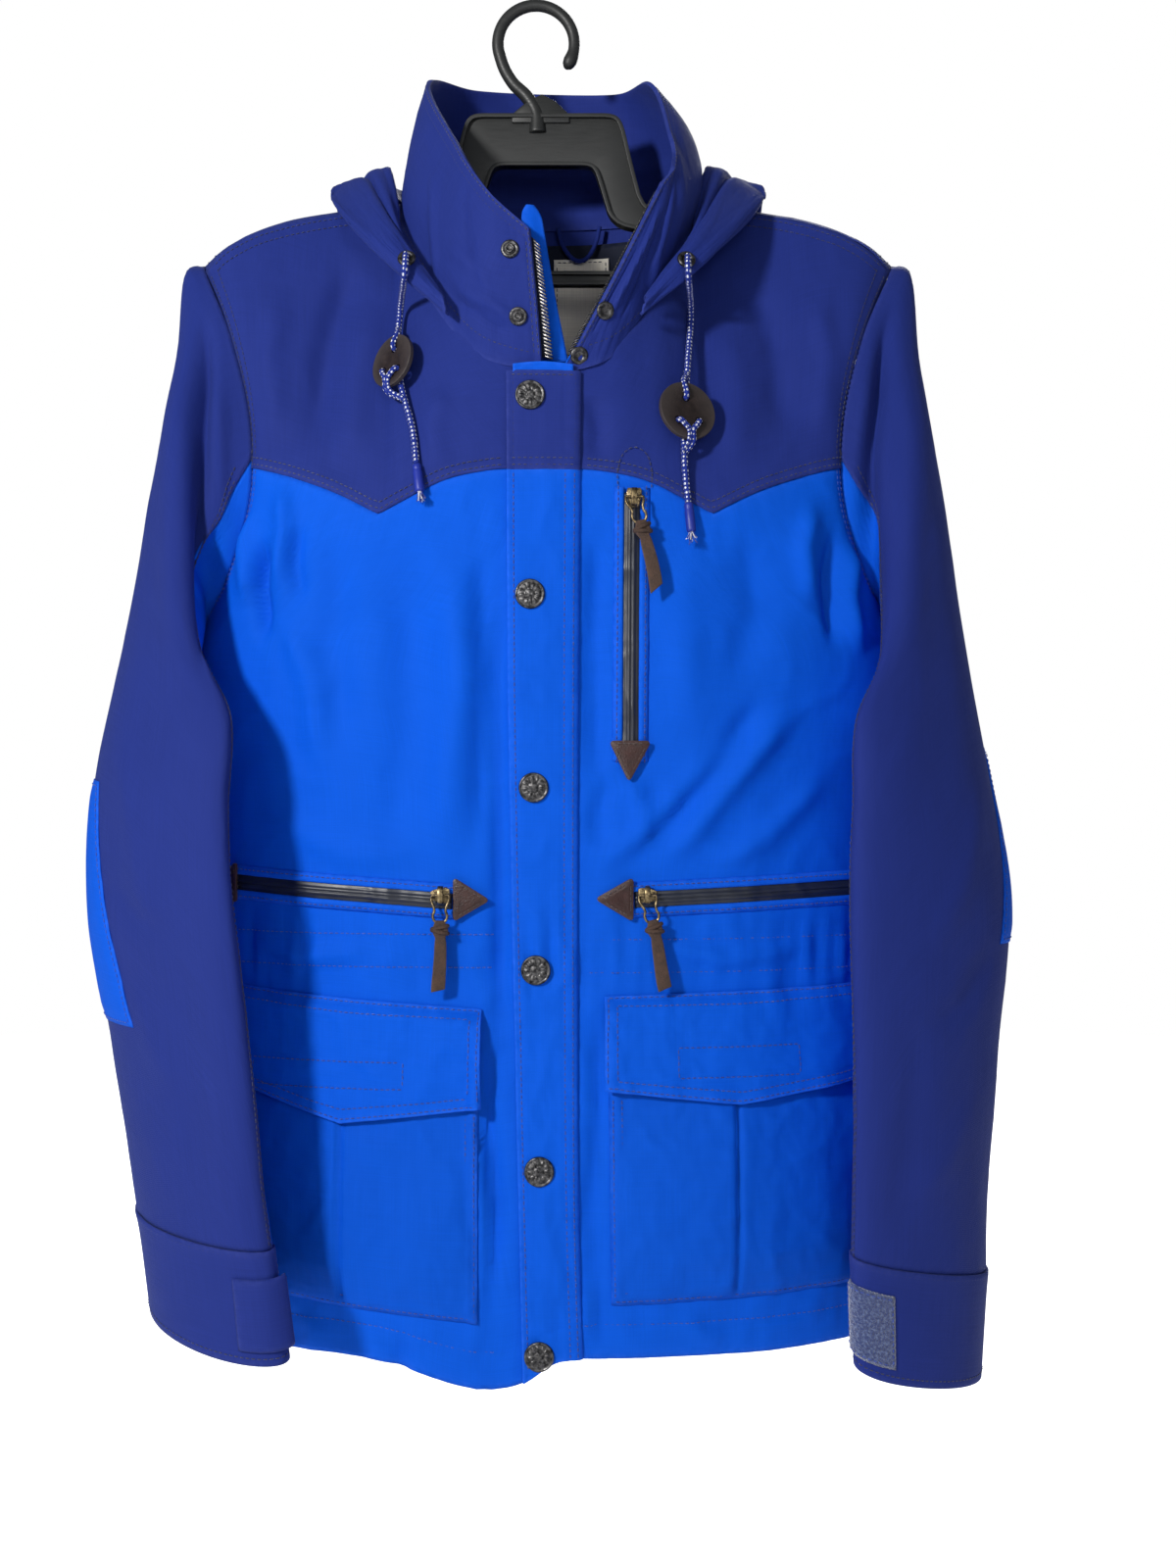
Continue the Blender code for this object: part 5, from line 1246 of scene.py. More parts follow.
HOOD_FOLDS = (
    (((30, 60), (90, 110), (150, 130)), 9.0, 3.5, 0.3),
    (((60, 20), (110, 60), (170, 70)), 8.0, -3.0, 0.3),
    (((490, 60), (430, 110), (370, 130)), 9.0, 3.5, -0.3),
    (((460, 20), (410, 60), (350, 70)), 8.0, -3.0, -0.3),
    (((200, 40), (210, 120), (200, 200)), 12.0, -4.0, 0.2),
    (((320, 40), (310, 120), (320, 200)), 12.0, -4.0, 0.2),
    (((180, 150), (260, 180), (340, 150)), 10.0, 4.0, 0.2),
    (((150, 230), (260, 250), (370, 232)), 8.0, -3.0, 0.2),
    (((120, 280), (180, 290), (240, 282)), 7.0, 2.4, 0.2),
    (((290, 286), (350, 292), (400, 280)), 7.0, 2.4, 0.2),
)

WAIST_ROWS = (-600, -620)  # heights of the two rows of the waist channel
CHEST_WELT = ((44.0, -330), (44.0, -316), (48, -306), (54, -303), (60, -306), (64, -316), (64.0, -330))
CALM = ((53.5, -340), (-62.5, -580), (61.5, -580))  # the sliders, where the cloth lies flat

YOKE_LINE = [(x, float(yoke_front_z(x))) for x in np.linspace(-190, 190, 77)]
BACK_YOKE_LINE = [(x, float(yoke_back_z(x))) for x in np.linspace(-196, 196, 60)]


def side_fade(u):
    """0 at the side seams, 1 a little way in."""
    return eased((1 - np.abs(u)) / 0.07)


def calm_near(x, z, spots, size):
    """0 at each of the spots, 1 away from them."""
    found = np.ones(np.shape(x))
    for sx, sz in spots:
        found = found * (1 - np.exp(-(((x - sx) ** 2 + (z - sz) ** 2) / size**2)))
    return found


FOLD_DEPTH = 1.8  # all body folds together


HEM_STITCHED = 20  # how far up the hem's row is


def gathers(x, z, v, seed, close, wide, at_hem):
    """Puckers and grooves of the waist channel's two rows and of the hem's row."""
    away = np.abs(z - (WAIST_ROWS[0] + WAIST_ROWS[1]) / 2)
    total = value_noise(x / 7.5, z / 55, seed) * (close * hump(away, 0, 20) + wide * hump(away, 0, 42))
    for row in WAIST_ROWS:
        total = total - 0.5 * hump(z, row, 1.3)
    total = total + at_hem * value_noise(x / 8.0, z / 30, seed + 1) * hump(v, HEM_STITCHED - 2, 9)
    return total - 0.55 * hump(v, HEM_STITCHED, 1.3)


def front_rise(u, v, base):
    """Relief of both fronts, calm under the sliders."""
    x = base[..., 0]
    z = base[..., 2]
    low = eased((-560 - z) / 70)
    chest = eased((z + 330) / 20)
    total = FOLD_DEPTH * folds_at(FRONT_FOLDS, x, z)
    total += 1.8 * value_noise(x / 90 + 4, z / 150, 3) + 0.8 * value_noise(x / 34, z / 62, 4)
    total += 1.1 * crumple(x, z * 0.75, 34, 5) * (1 - 0.6 * chest)
    total += 0.3 * crumple(x, z, 15, 15) * (1 - 0.7 * chest)
    total += low * 0.5 * crumple(x * 1.3, z * 0.8, 17, 6)
    beside_placket = hump(np.abs(x), 36, 14)
    total += low * beside_placket * 1.8 * crumple(x * 1.6, z * 0.6, 22, 16)
    total += gathers(x, z, v, 7, 1.3, 0.8, 0.9)
    total += seam_at(YOKE_LINE, x, z, 0.5, 1.2, 0.5, 9.0, 9)
    from_arm = (1 - np.abs(u)) * 210
    total -= 0.5 * hump(from_arm, 6.4, 1.0) * (z > ARM_FRONT[0][2])
    return total * side_fade(u) * calm_near(x, z, CALM, 13)


def back_rise(u, v, base):
    """Relief of the back, flat where the hanger and the hood lie close."""
    x = base[..., 0]
    z = base[..., 2]
    total = FOLD_DEPTH * folds_at(BACK_FOLDS, x, z)
    total += 2.2 * value_noise(x / 95, z / 160, 23) + 0.9 * value_noise(x / 36, z / 66, 24)
    total += 1.2 * crumple(x, z * 0.75, 32, 25) + 0.45 * crumple(x, z, 13, 35)
    total += gathers(x, z, v, 27, 1.4, 0.9, 0.5)
    total += seam_at(BACK_YOKE_LINE, x, z, 0.5, 1.2, 0.5, 9.0, 29)
    below_top = eased((-140 - z) / 40)
    return total * side_fade(u) * (0.15 + 0.85 * below_top)


def sleeve_rise(side, form):
    """A sleeve's relief, nearly flat on the cuff."""
    cuff_seam = form.knots[CUFF_FROM + 2]
    seed = 40 if side == "right" else 60

    def rise(s, t, base):
        x = np.abs(base[..., 0])
        z = base[..., 2]
        turn = t % 1.0
        y = turn * SLEEVE_ROUND
        front = eased((0.56 - turn) / 0.06) * eased((turn + 0.02) / 0.05)
        back = eased((turn - 0.54) / 0.06) * eased((1.0 - turn) / 0.05)
        total = folds_at(SLEEVE_FRONT_FOLDS[side], x, z) * front + folds_at(SLEEVE_BACK_FOLDS, x, z) * back
        round_x = 60 * np.cos(turn * 2 * math.pi)
        round_y = 60 * np.sin(turn * 2 * math.pi)
        total += 1.3 * value_noise(round_x / 60, round_y / 60 + s / 130, seed)
        total += 0.5 * value_noise(round_x / 24 + 7, s / 60 + round_y / 30, seed + 1)
        total += 0.30 * crumple(y, s * 0.8, 30, seed + 2) * np.sin(math.pi * turn) ** 0.3
        total += 0.35 * value_noise(y / 9, s / 30, seed + 3) * hump(s, cuff_seam, 12)
        total -= 0.6 * hump(s, cuff_seam, 1.3)
        total *= 1 - 0.75 * eased((s - cuff_seam + 6) / 12)
        return total * eased(s / 22)

    return rise


COLLAR_ROWS = (2.4, 8.0)  # its stitched rows, in from the edge


def collar_rise(c, r, base):
    """Relief of the collar, with grooves along its stitched rows."""
    x = c * COLLAR_ROUND
    y = r * COLLAR_HIGH
    total = folds_at(COLLAR_FOLDS, x, y)
    total += 0.8 * value_noise(x / 46, y / 40, 71) + 0.25 * crumple(x, y, 16, 72)
    total += 0.35 * value_noise(x / 8, y / 14, 73) * hump(r, 0.05, 0.12)
    edge = np.minimum(np.minimum(c, 1 - c) * COLLAR_ROUND, (1 - r) * COLLAR_HIGH)
    for row in COLLAR_ROWS:
        total -= 0.55 * hump(edge, row, 1.0)
    return total * (0.25 + 0.75 * eased(edge / 12))


def hood_rise(c, b, base):
    """Relief of the hood, with grooves beside its brim."""
    x = c * HOOD_ROUND
    y = b * HOOD_LONG
    total = folds_at(HOOD_FOLDS, x, y)
    total += 1.2 * value_noise(x / 60, y / 60, 81) + 0.35 * crumple(x, y, 22, 82)
    edge = (1 - b) * HOOD_LONG
    for row in (2.5, 22.0):
        total -= 0.5 * hump(edge, row, 1.1)
    total += 0.4 * value_noise(x / 9, y / 20, 83) * np.exp(-edge / 24)
    return total * eased(b / 0.06) * (0.35 + 0.65 * eased(edge / 20))


# ---------------------------------------------------------------- camera, light and stage
AMBIENT = 0.23
FLOOR_RADIUS = 3.0
FLOOR_HEIGHT = -1.06
FLOOR_GLOW = (0.12, 0.95)  # on the jacket, and as the camera sees it


def add_camera():
    camera = bpy.data.cameras.new("camera")
    camera.lens = 40.4
    camera.sensor_width = 36.0
    holder = bpy.data.objects.new("camera", camera)
    holder.location = (0.034, -1.15, -0.506)
    holder.rotation_euler = (math.radians(90), 0, 0)
    bpy.context.scene.collection.objects.link(holder)
    bpy.context.scene.camera = holder
    bpy.context.scene.view_settings.view_transform = "Standard"


def add_light(name, place, target, size, power, colour):
    light = bpy.data.lights.new(name, "AREA")
    light.shape = "DISK"
    light.size = size
    light.energy = power
    light.color = colour
    holder = bpy.data.objects.new(name, light)
    holder.location = place
    holder.rotation_euler = (Vector(target) - Vector(place)).to_track_quat("-Z", "Y").to_euler()
    bpy.context.scene.collection.objects.link(holder)


def add_world():
    """A soft light from all sides, and a white background for the camera."""
    world = bpy.data.worlds.new("studio")
    bpy.context.scene.world = world
    world.use_nodes = True
    nodes = world.node_tree.nodes
    ambient = nodes["Background"]
    ambient.inputs[0].default_value = (0.93, 0.96, 1.0, 1.0)
    ambient.inputs[1].default_value = AMBIENT
    seen = nodes.new("ShaderNodeBackground")
    seen.inputs[0].default_value = (1.0, 1.0, 1.0, 1.0)
    ray = nodes.new("ShaderNodeLightPath")
    mix = nodes.new("ShaderNodeMixShader")
    links = world.node_tree.links
    links.new(ray.outputs["Is Camera Ray"], mix.inputs[0])
    links.new(ambient.outputs[0], mix.inputs[1])
    links.new(seen.outputs[0], mix.inputs[2])
    links.new(mix.outputs[0], nodes["World Output"].inputs[0])


def add_floor():
    mesh = bpy.data.meshes.new("floor")
    corners = [(FLOOR_RADIUS * math.cos(a), FLOOR_RADIUS * math.sin(a), FLOOR_HEIGHT) for a in turns_round(64)]
    mesh.from_pydata(corners, [], [tuple(range(len(corners)))])
    paint = Paint("floor", 0.9)
    cloud = paint.noise(paint.solid(), 2.0, 3.0)
    paint.shader.inputs["Emission Color"].default_value = (1.0, 1.0, 1.0, 1.0)
    seen = paint.node("LightPath").outputs["Is Camera Ray"]
    glow = paint.between(seen, 0.0, 1.0, *FLOOR_GLOW)
    paint.tree.links.new(glow, paint.shader.inputs["Emission Strength"])
    mesh.materials.append(paint.finish(paint.mix(cloud, (0.93, 0.93, 0.93), (0.96, 0.96, 0.96))))
    floor = bpy.data.objects.new("floor", mesh)
    bpy.context.scene.collection.objects.link(floor)


def add_stage():
    add_camera()
    add_world()
    add_floor()
    add_light("key", (-0.90, -1.38, 0.10), (0.0, -0.05, -0.45), 0.22, 26, (1.0, 0.99, 0.97))
    add_light("fill", (0.30, -1.70, -0.15), (0.0, 0.0, -0.45), 0.5, 3.5, (0.95, 0.97, 1.0))
    add_light("rim", (0.4, 1.9, 0.6), (0.0, 0.0, -0.4), 1.4, 34, (1.0, 1.0, 1.0))


# ---------------------------------------------------------------- drawcords
CORD = 4.0
CORD_ROUTES = {  # x, z and how far out over the front
    "right": ((-86, -214, 6.5), (-87, -234, 6.5), (-85, -262, 6.5), (-79, -292, 4.2), (-76.5, -314, 4.2)),
    "left": ((85, -214, 6.5), (83, -256, 6.5), (82, -292, 6.5), (84, -320, 4.2), (86, -337, 4.2)),
}
TOGGLES = {"right": (-86.5, -249, 17.0), "left": (81.5, -283, 18.5)}  # x, z, radius
TOGGLE_THICK = 3.0
TOGGLE_HOLES = ((0.0, 0.45), (-0.38, -0.35), (0.38, -0.35))  # in shares of its radius
TOGGLE_HOLE = 2.3
FORK = 1.75  # radius of the strands through the toggle
TIP_LENGTH = 18
TIP_PROFILE = (
    (0, 0), (2.2, 0), (2.75, 0.6), (2.8, 3.0), (2.6, 3.6), (2.6, 4.2), (2.9, 5.0),
    (2.9, TIP_LENGTH - 1.4), (2.6, TIP_LENGTH - 0.3), (2.2, TIP_LENGTH), (0, TIP_LENGTH),
)
EYELET_PROFILE = ((2.6, 0), (5.4, 0), (5.7, 0.6), (5.2, 1.5), (4.2, 1.9), (3.2, 1.7), (2.6, 1.1))
TUFT_SEEDS = {"right": 11, "left": 12}
CLOTH = 1.6  # the CAD's plain wall
GROMMETS = {"right": (-84, -188), "left": (86, -188)}
GROMMET_SEARCH = {"right": ((0.02, 0.0), (0.22, 1.0)), "left": ((0.78, 0.0), (0.98, 1.0))}


def spot_on(form, x, z, out):
    """A point over a body form, and the way out from it there."""
    u, v = form.place(np.array([float(x)]), np.array([float(z)]))
    normal = form.normal(u, v)[0]
    return form.point(u, v)[0] + normal * out, normal


def facing_spot(form, x, z, low, high):
    """The frontmost place on a form at the given x and z, searched over its two parameters."""
    a, b = np.meshgrid(np.linspace(low[0], high[0], 61), np.linspace(low[1], high[1], 61))
    spots = form.point(a, b)
    miss = np.hypot(spots[..., 0] - x, spots[..., 2] - z) + 0.05 * spots[..., 1]
    best = np.unravel_index(np.argmin(miss), miss.shape)
    normal = form.normal(np.array([a[best]]), np.array([b[best]]))[0]
    if normal[1] > 0:
        normal = -normal
    return spots[best], normal


def add_eyelet(side, centre, normal, paints):
    """A metal ring, and in it a near-black disc that paints the shade of its hole."""
    around = 40
    points, faces = turned_shape(centre - normal * 0.5, normal, EYELET_PROFILE, around)
    last = (len(EYELET_PROFILE) - 1) * around
    inside = [(last + k, last + (k + 1) % around, (k + 1) % around, k) for k in range(around)]
    ring = add_solid("eyelet_" + side, (points, faces[:-2] + inside), paints["metal"])
    settle(ring, ["grommet_" + side])
    # painted shade: a near-black disc just inside the ring stands for the shade in the hole
    hole = turned_shape(centre - normal * 0.4, normal, ((0, 0.3), (2.7, 0.3), (2.7, 0.0), (0, 0.0)), 24)
    settle(add_solid("eyelet_hole_shade_" + side, hole, paints["dark"]))


def add_tuft(side, tip, way, paints):
    """The frayed strands below a cord's end, in two colours."""
    tuft = {"blue": Parts(), "white": Parts()}
    rng = np.random.RandomState(TUFT_SEEDS[side])
    across = unit(np.cross(way, (0, 1, 0)))
    over = np.cross(way, across)
    for k in range(26):
        turn = rng.rand() * 2 * math.pi
        out = across * math.cos(turn) + over * math.sin(turn)
        spread = 0.4 + 2.6 * rng.rand()
        reach = 4.0 + 4.0 * rng.rand()
        root = tip + way * (TIP_LENGTH - 0.6) + out * rng.rand() * 1.2
        t = np.linspace(0, 1, 6)[:, None]
        strand = root + way * t * reach + out * (t**1.5) * spread + over * 0.3 * np.sin(t * 5 + k)
        tuft["white" if k % 3 == 0 else "blue"].add(*tube_shape(strand, 0.28, 5)[:2])
    return [settle(parts.piece("cord_tuft_%s_%s" % (shade, side), paints["thread_" + shade]))
            for shade, parts in tuft.items()]


def add_drawcord(side, paints):
    """A cord from its eyelet to its end, with what is threaded on it."""
    centre, normal = facing_spot(hood, *GROMMETS[side], *GROMMET_SEARCH[side])
    centre = centre + normal * (CLOTH / 2 + 0.6)
    rows = np.array(CORD_ROUTES[side], float)
    u, v = front.place(rows[:, 0], rows[:, 1])
    laid = front.point(u, v) + front.normal(u, v) * rows[:, 2][:, None]
    start = centre + normal * (1.4 + CORD / 2 + 1.0)
    path = along(np.concatenate([[start], [start + (0, -4.0, -9)], laid]), np.linspace(0, 1, 70))
    cord = add_tube("drawcord_" + side, path, CORD / 2, 14, paints["cord"])
    settle(cord, ["cord_" + side])
    add_eyelet(side, centre, normal, paints)

    way = unit(path[-1] - path[-2])
    tip = path[-1] + way * 0.4
    end = add_solid("cord_end_" + side, turned_shape(tip, way, TIP_PROFILE, 28), paints["cord_tip"])
    settle(end, ["cord_tip_" + side])
    ends = add_tuft(side, tip, way, paints)

    x, z, radius = TOGGLES[side]
    disc_at, disc_normal = spot_on(front, x, z, 6.5 + CORD / 2 + 0.5)
    toggle, forks = add_toggle(side, paints, disc_at, disc_normal, radius, path)


def add_toggle(side, paints, centre, normal, radius, path):
    """A leather disc with three holes, and the cord's strands through them."""
    across = unit(np.cross(normal, (0, 0, 1)))
    if across[0] < 0:
        across = -across
    up = np.cross(across, normal)
    if up[2] < 0:
        up = -up
    made = bmesh.new()
    # The rim and a loop round each hole, filled between
    loops = [[(radius * math.cos(a), radius * math.sin(a)) for a in turns_round(72)]]
    for hx, hz in TOGGLE_HOLES:
        loops.append([(hx * radius + TOGGLE_HOLE * math.cos(a), hz * radius + TOGGLE_HOLE * math.sin(a))
                      for a in turns_round(24)])
    edges = []
    for loop in loops:
        corners = [made.verts.new((x, z, 0)) for x, z in loop]
        edges += [made.edges.new((corners[k], corners[(k + 1) % len(corners)])) for k in range(len(corners))]
    bmesh.ops.triangle_fill(made, use_beauty=True, use_dissolve=False, edges=edges)
    whole = bmesh.ops.extrude_face_region(made, geom=list(made.faces))
    for item in whole["geom"]:
        if isinstance(item, bmesh.types.BMVert):
            item.co.z += TOGGLE_THICK
    bmesh.ops.recalc_face_normals(made, faces=made.faces)
    mesh = bpy.data.meshes.new("toggle_disc_" + side)
    made.to_mesh(mesh)
    made.free()
    local = np.array([v.co for v in mesh.vertices])
    dish = 0.0008 * (local[:, 0] ** 2 + local[:, 1] ** 2) * 2
    placed = centre + local[:, :1] * across + local[:, 1:2] * up + (local[:, 2:3] + dish[:, None]) * normal
    mesh.vertices.foreach_set("co", in_world(placed).astype(np.float32).ravel())
    mark_edge(mesh, np.exp(-(radius - np.hypot(local[:, 0], local[:, 1])) / 1.5))
    mesh.materials.append(paints["leather_dark"])
    disc = bpy.data.objects.new("toggle_disc_" + side, mesh)
    bpy.context.scene.collection.objects.link(disc)
    outward(disc)
    soften(disc, 0.5)
    settle(disc, ["toggle_" + side])

    face = TOGGLE_THICK
    below = path[np.argmin(np.abs(path[:, 2] - (centre[2] - radius - 7)))]
    forks = []
    for hx, hz in TOGGLE_HOLES[1:]:
        sign = math.copysign(1, hx)
        inside = centre + across * hx * radius + up * hz * radius + normal * (face - 1.6)
        lip = centre + across * hx * radius * 0.93 + up * (hz * radius - 0.4) + normal * (face + 1.2)
        meet = centre + across * sign * 1.4 - up * radius * 0.70 + normal * (face + 1.7)
        rim_at = centre + across * sign * 1.3 - up * (radius + 1.2) + normal * (face - 0.2)
        ends_at = below + across * sign * 0.6 + normal * 0.8
        over = (lip + meet) / 2 + normal * 0.5
        line = along(np.array([inside, lip, over, meet, rim_at, ends_at]), np.linspace(0, 1, 26))
        name = "cord_fork_%s_%s" % (side, "in" if sign * centre[0] < 0 else "out")
        forks.append(settle(add_tube(name, line, FORK, 12, paints["cord"])))
    top = centre + up * TOGGLE_HOLES[0][1] * radius
    above = path[np.argmin(np.abs(path[:, 2] - (centre[2] + radius + 6)))]
    neck = [
        top + normal * (face - 1.4),
        top + normal * (face + 0.9) + up * 1.0,
        top + up * 4.5 + normal * (face + 1.2),
        centre + up * (radius + 0.6) + normal * (face - 0.6),
        above + normal * 0.8,
    ]
    line = along(np.array(neck), np.linspace(0, 1, 22))
    forks.append(settle(add_tube("cord_fork_%s_top" % side, line, FORK, 12, paints["cord"])))
    return disc, forks


# ---------------------------------------------------------------- body panels
FRONT_EDGE_U = 0.012
BODY_HALF_ROUND = 235  # from the middle round to the side seam
THIN = 0.9
ARM_STITCHED = (0.010, 0.031)  # how far in from the armhole its two rows are


def panel_grid(wrapped, columns, low, high, rows, lower_lip=0.0):
    """Points of a panel between two seams, given as row places for each column.

    The lip lifts the panel's lower edge, where it lies over the one below.
    """
    shares = np.linspace(0, 1, rows)[:, None]
    v = low * (1 - shares) + high * shares
    u = np.broadcast_to(columns, v.shape)
    lip = lower_lip * np.exp(-(v - low) / 7.0)
    return wrapped.at(u, v, lip)


def even_columns(first, last, step=3.2):
    count = max(2, int(round(abs(last - first) * BODY_HALF_ROUND / step)))
    return np.linspace(first, last, count + 1)


def add_body(paints):
    top = front.knots[-1]
    for side, sign in (("right", -1), ("left", 1)):
        u = even_columns(-1, -FRONT_EDGE_U) if sign < 0 else even_columns(FRONT_EDGE_U, 1)
        seam = front.v_on_curve(u, yoke_front_z)
        grid = panel_grid(front_cloth, u, 0 * seam, seam, 160)
        cloth("panel_front_" + side, grid, paints["azure"], THIN, ["front_" + side])
        grid = panel_grid(front_cloth, u, seam - 0.6, 0 * seam + top, 62, 0.9)
        cloth("shell_yoke_" + side, grid, paints["indigo"], THIN, ["yoke_" + side])
    u = even_columns(-1, 1, 4.0)
    seam = back.v_on_curve(u, yoke_back_z)
    top = back.knots[-1]
    grid = panel_grid(back_cloth, u, 0 * seam, seam, 125)
    cloth("panel_back", grid, paints["azure"], THIN, ["back"])
    grid = panel_grid(back_cloth, u, seam - 0.6, 0 * seam + top, 66, 0.9)
    cloth("shell_back_yoke", grid, paints["indigo"], THIN, ["back_yoke"])


def add_body_stitches():
    """Rows beside the yokes, the waist channel, the hem, the armholes, the shoulders and the sides."""
    arch = along(np.array([(x, 0, z) for x, z in CHEST_WELT], float), np.linspace(0, 1, 60))
    stitch_run(front_cloth.lay, arch[:, 0], arch[:, 2], out=1.5)
    for wrapped, line in ((front_cloth, YOKE_LINE), (back_cloth, BACK_YOKE_LINE)):
        line = np.array(line)
        parts = [line[(line[:, 0] < -24)], line[(line[:, 0] > 24)]] if wrapped is front_cloth else [line]
        for part in parts:
            for up in (2.0, 6.2):
                stitch_run(wrapped.lay, part[:, 0], part[:, 1] + up, out=1.1)
        for height in WAIST_ROWS:
            for x0, x1 in (((-205, -30), (26, 205)) if wrapped is front_cloth else ((-205, 205),)):
                x = np.linspace(x0, x1, 30)
                z = np.full(30, float(height))
                if wrapped is front_cloth:
                    z = z + 3 * (x < 0)
                stitch_run(wrapped.lay, x, z, "azure")
        for u0, u1 in (((-0.99, -0.08), (0.02, 0.99)) if wrapped is front_cloth else ((-0.99, 0.99),)):
            stitch_run(wrapped.at, np.linspace(u0, u1, 60), np.full(60, float(HEM_STITCHED)), "azure")
        # Beside the armhole: dark thread on the yoke, blue on the panels
        form = wrapped.form
        seam_z = -308
        for inset in ARM_STITCHED:
            for sign in (-1, 1):
                v = np.linspace(form.knots[5] + 14, form.knots[-1] - 4, 90)
                u = np.full(90, sign * (1 - inset))
                z = form.point(u, v)[:, 2]
                stitch_run(wrapped.at, u[z > seam_z + 6], v[z > seam_z + 6], out=0.7)
                stitch_run(wrapped.at, u[z < seam_z], v[z < seam_z], "azure", out=0.7)
    for down in (3.0, 8.0):
        for sign in (-1, 1):
            u = np.linspace(0.47, 0.975, 40) * sign
            stitch_run(front_cloth.at, u, np.full(40, front.knots[-1] - down), out=0.7)
    for sign in (-1, 1):
        for inset in (0.012, 0.030):
            stitch_run(back_cloth.at, np.full(60, sign * (1 - inset)), np.linspace(22, 420, 60), "azure")


# ---------------------------------------------------------------- sleeves
PATCH_LEAN = 0.035  # how far round the sleeve the elbow patch leans over


def add_sleeve(side, form, wrapped, paints):
    """Upper sleeve, undersleeve, elbow patch and cuff, with their stitches."""
    cuff_seam = form.knots[CUFF_FROM + 2]
    end = form.knots[-1]
    s = np.concatenate([np.linspace(0.4, 22, 9), np.linspace(22, cuff_seam, 136)[1:]])
    share = s / cuff_seam
    under_front = smooth([p[0] for p in UNDER_FRONT], [p[1] for p in UNDER_FRONT], share)
    under_back = smooth([p[0] for p in UNDER_BACK], [p[1] for p in UNDER_BACK], share)
    shares = np.linspace(0, 1, 74)
    t = (under_back - 1)[:, None] * (1 - shares) + under_front[:, None] * shares
    lip = 0.7 * np.exp(-np.minimum(shares, 1 - shares) * 50)[None, :]
    grid = wrapped.at(np.broadcast_to(s[:, None], t.shape), t, lip)
    cloth("shell_sleeve_" + side, grid, paints["indigo"], THIN, ["sleeve_" + side])
    shares = np.linspace(0, 1, 40)
    t = (under_front - 0.004)[:, None] * (1 - shares) + (under_back + 0.004)[:, None] * shares
    grid = wrapped.at(np.broadcast_to(s[:, None], t.shape), t)
    cloth("shell_undersleeve_" + side, grid, paints["azure"], THIN, ["undersleeve_" + side])
    for inset in (0.006, 0.018):
        stitch_run(wrapped.lay, s[4:], under_front[4:] - inset, out=1.0)
        stitch_run(wrapped.lay, s[4:], under_back[4:] + inset, out=1.0)

    add_elbow_patch(side, wrapped, cuff_seam, paints)

    vent_low, vent_high = CUFF_VENT
    down = np.linspace(cuff_seam - 0.8, end, 26)
    s, t = np.meshgrid(down, np.linspace(vent_high - 1, vent_low, 104), indexing="ij")
    lip = 0.9 * np.exp(-(s - cuff_seam) / 9.0) + 0.3
    cloth("shell_cuff_" + side, wrapped.at(s, t, lip), paints["indigo"], 1.7, ["cuff_" + side])
    round_t = np.linspace(vent_high - 1 + 0.008, vent_low - 0.008, 90)
    stitch_run(wrapped.lay, np.full(90, cuff_seam + 2.0), round_t, out=1.6)
    stitch_run(wrapped.lay, np.full(90, end - 4.0), round_t, out=1.3)
    stitch_run(wrapped.lay, np.linspace(cuff_seam + 2, end - 4, 20), np.full(20, vent_low - 0.008), out=1.3)
    add_cuff_tab(side, wrapped, cuff_seam, end, paints)


def add_elbow_patch(side, wrapped, cuff_seam, paints):
    """A patch laid askew over the elbow, stitched all round."""
    s0, s1 = (share * cuff_seam for share in ELBOW_ALONG[side])
    low, high = ELBOW_ROUND[side]

    def askew(s):
        return PATCH_LEAN * (2 * (s - s0) / (s1 - s0) - 1.2)

    s, t = np.meshgrid(np.linspace(s0, s1, 46), np.linspace(low, high, 34), indexing="ij")
    border = np.minimum(np.minimum(s - s0, s1 - s), np.minimum(t - low, high - t) * SLEEVE_ROUND)
    rise = 0.75 + 1.0 * eased(border / 10) + 0.35 * value_noise(s / 9, t * 50, 90) * np.exp(-border / 7)
    t = t + askew(s)
    cloth("patch_elbow_" + side, wrapped.at(s, t, rise), paints["azure"], THIN, ["elbow_" + side],
          base=wrapped.at(s, t))
    inset = 2.4
    inset_t = inset / SLEEVE_ROUND
    corners = [(s0 + inset, low + inset_t), (s1 - inset, low + inset_t),
               (s1 - inset, high - inset_t), (s0 + inset, high - inset_t)]
    for (sa, ta), (sb, tb) in zip(corners, corners[1:] + corners[:1]):
        run = np.linspace(sa, sb, 20)
        stitch_run(wrapped.lay, run, np.linspace(ta, tb, 20) + askew(run), "azure", out=1.7)


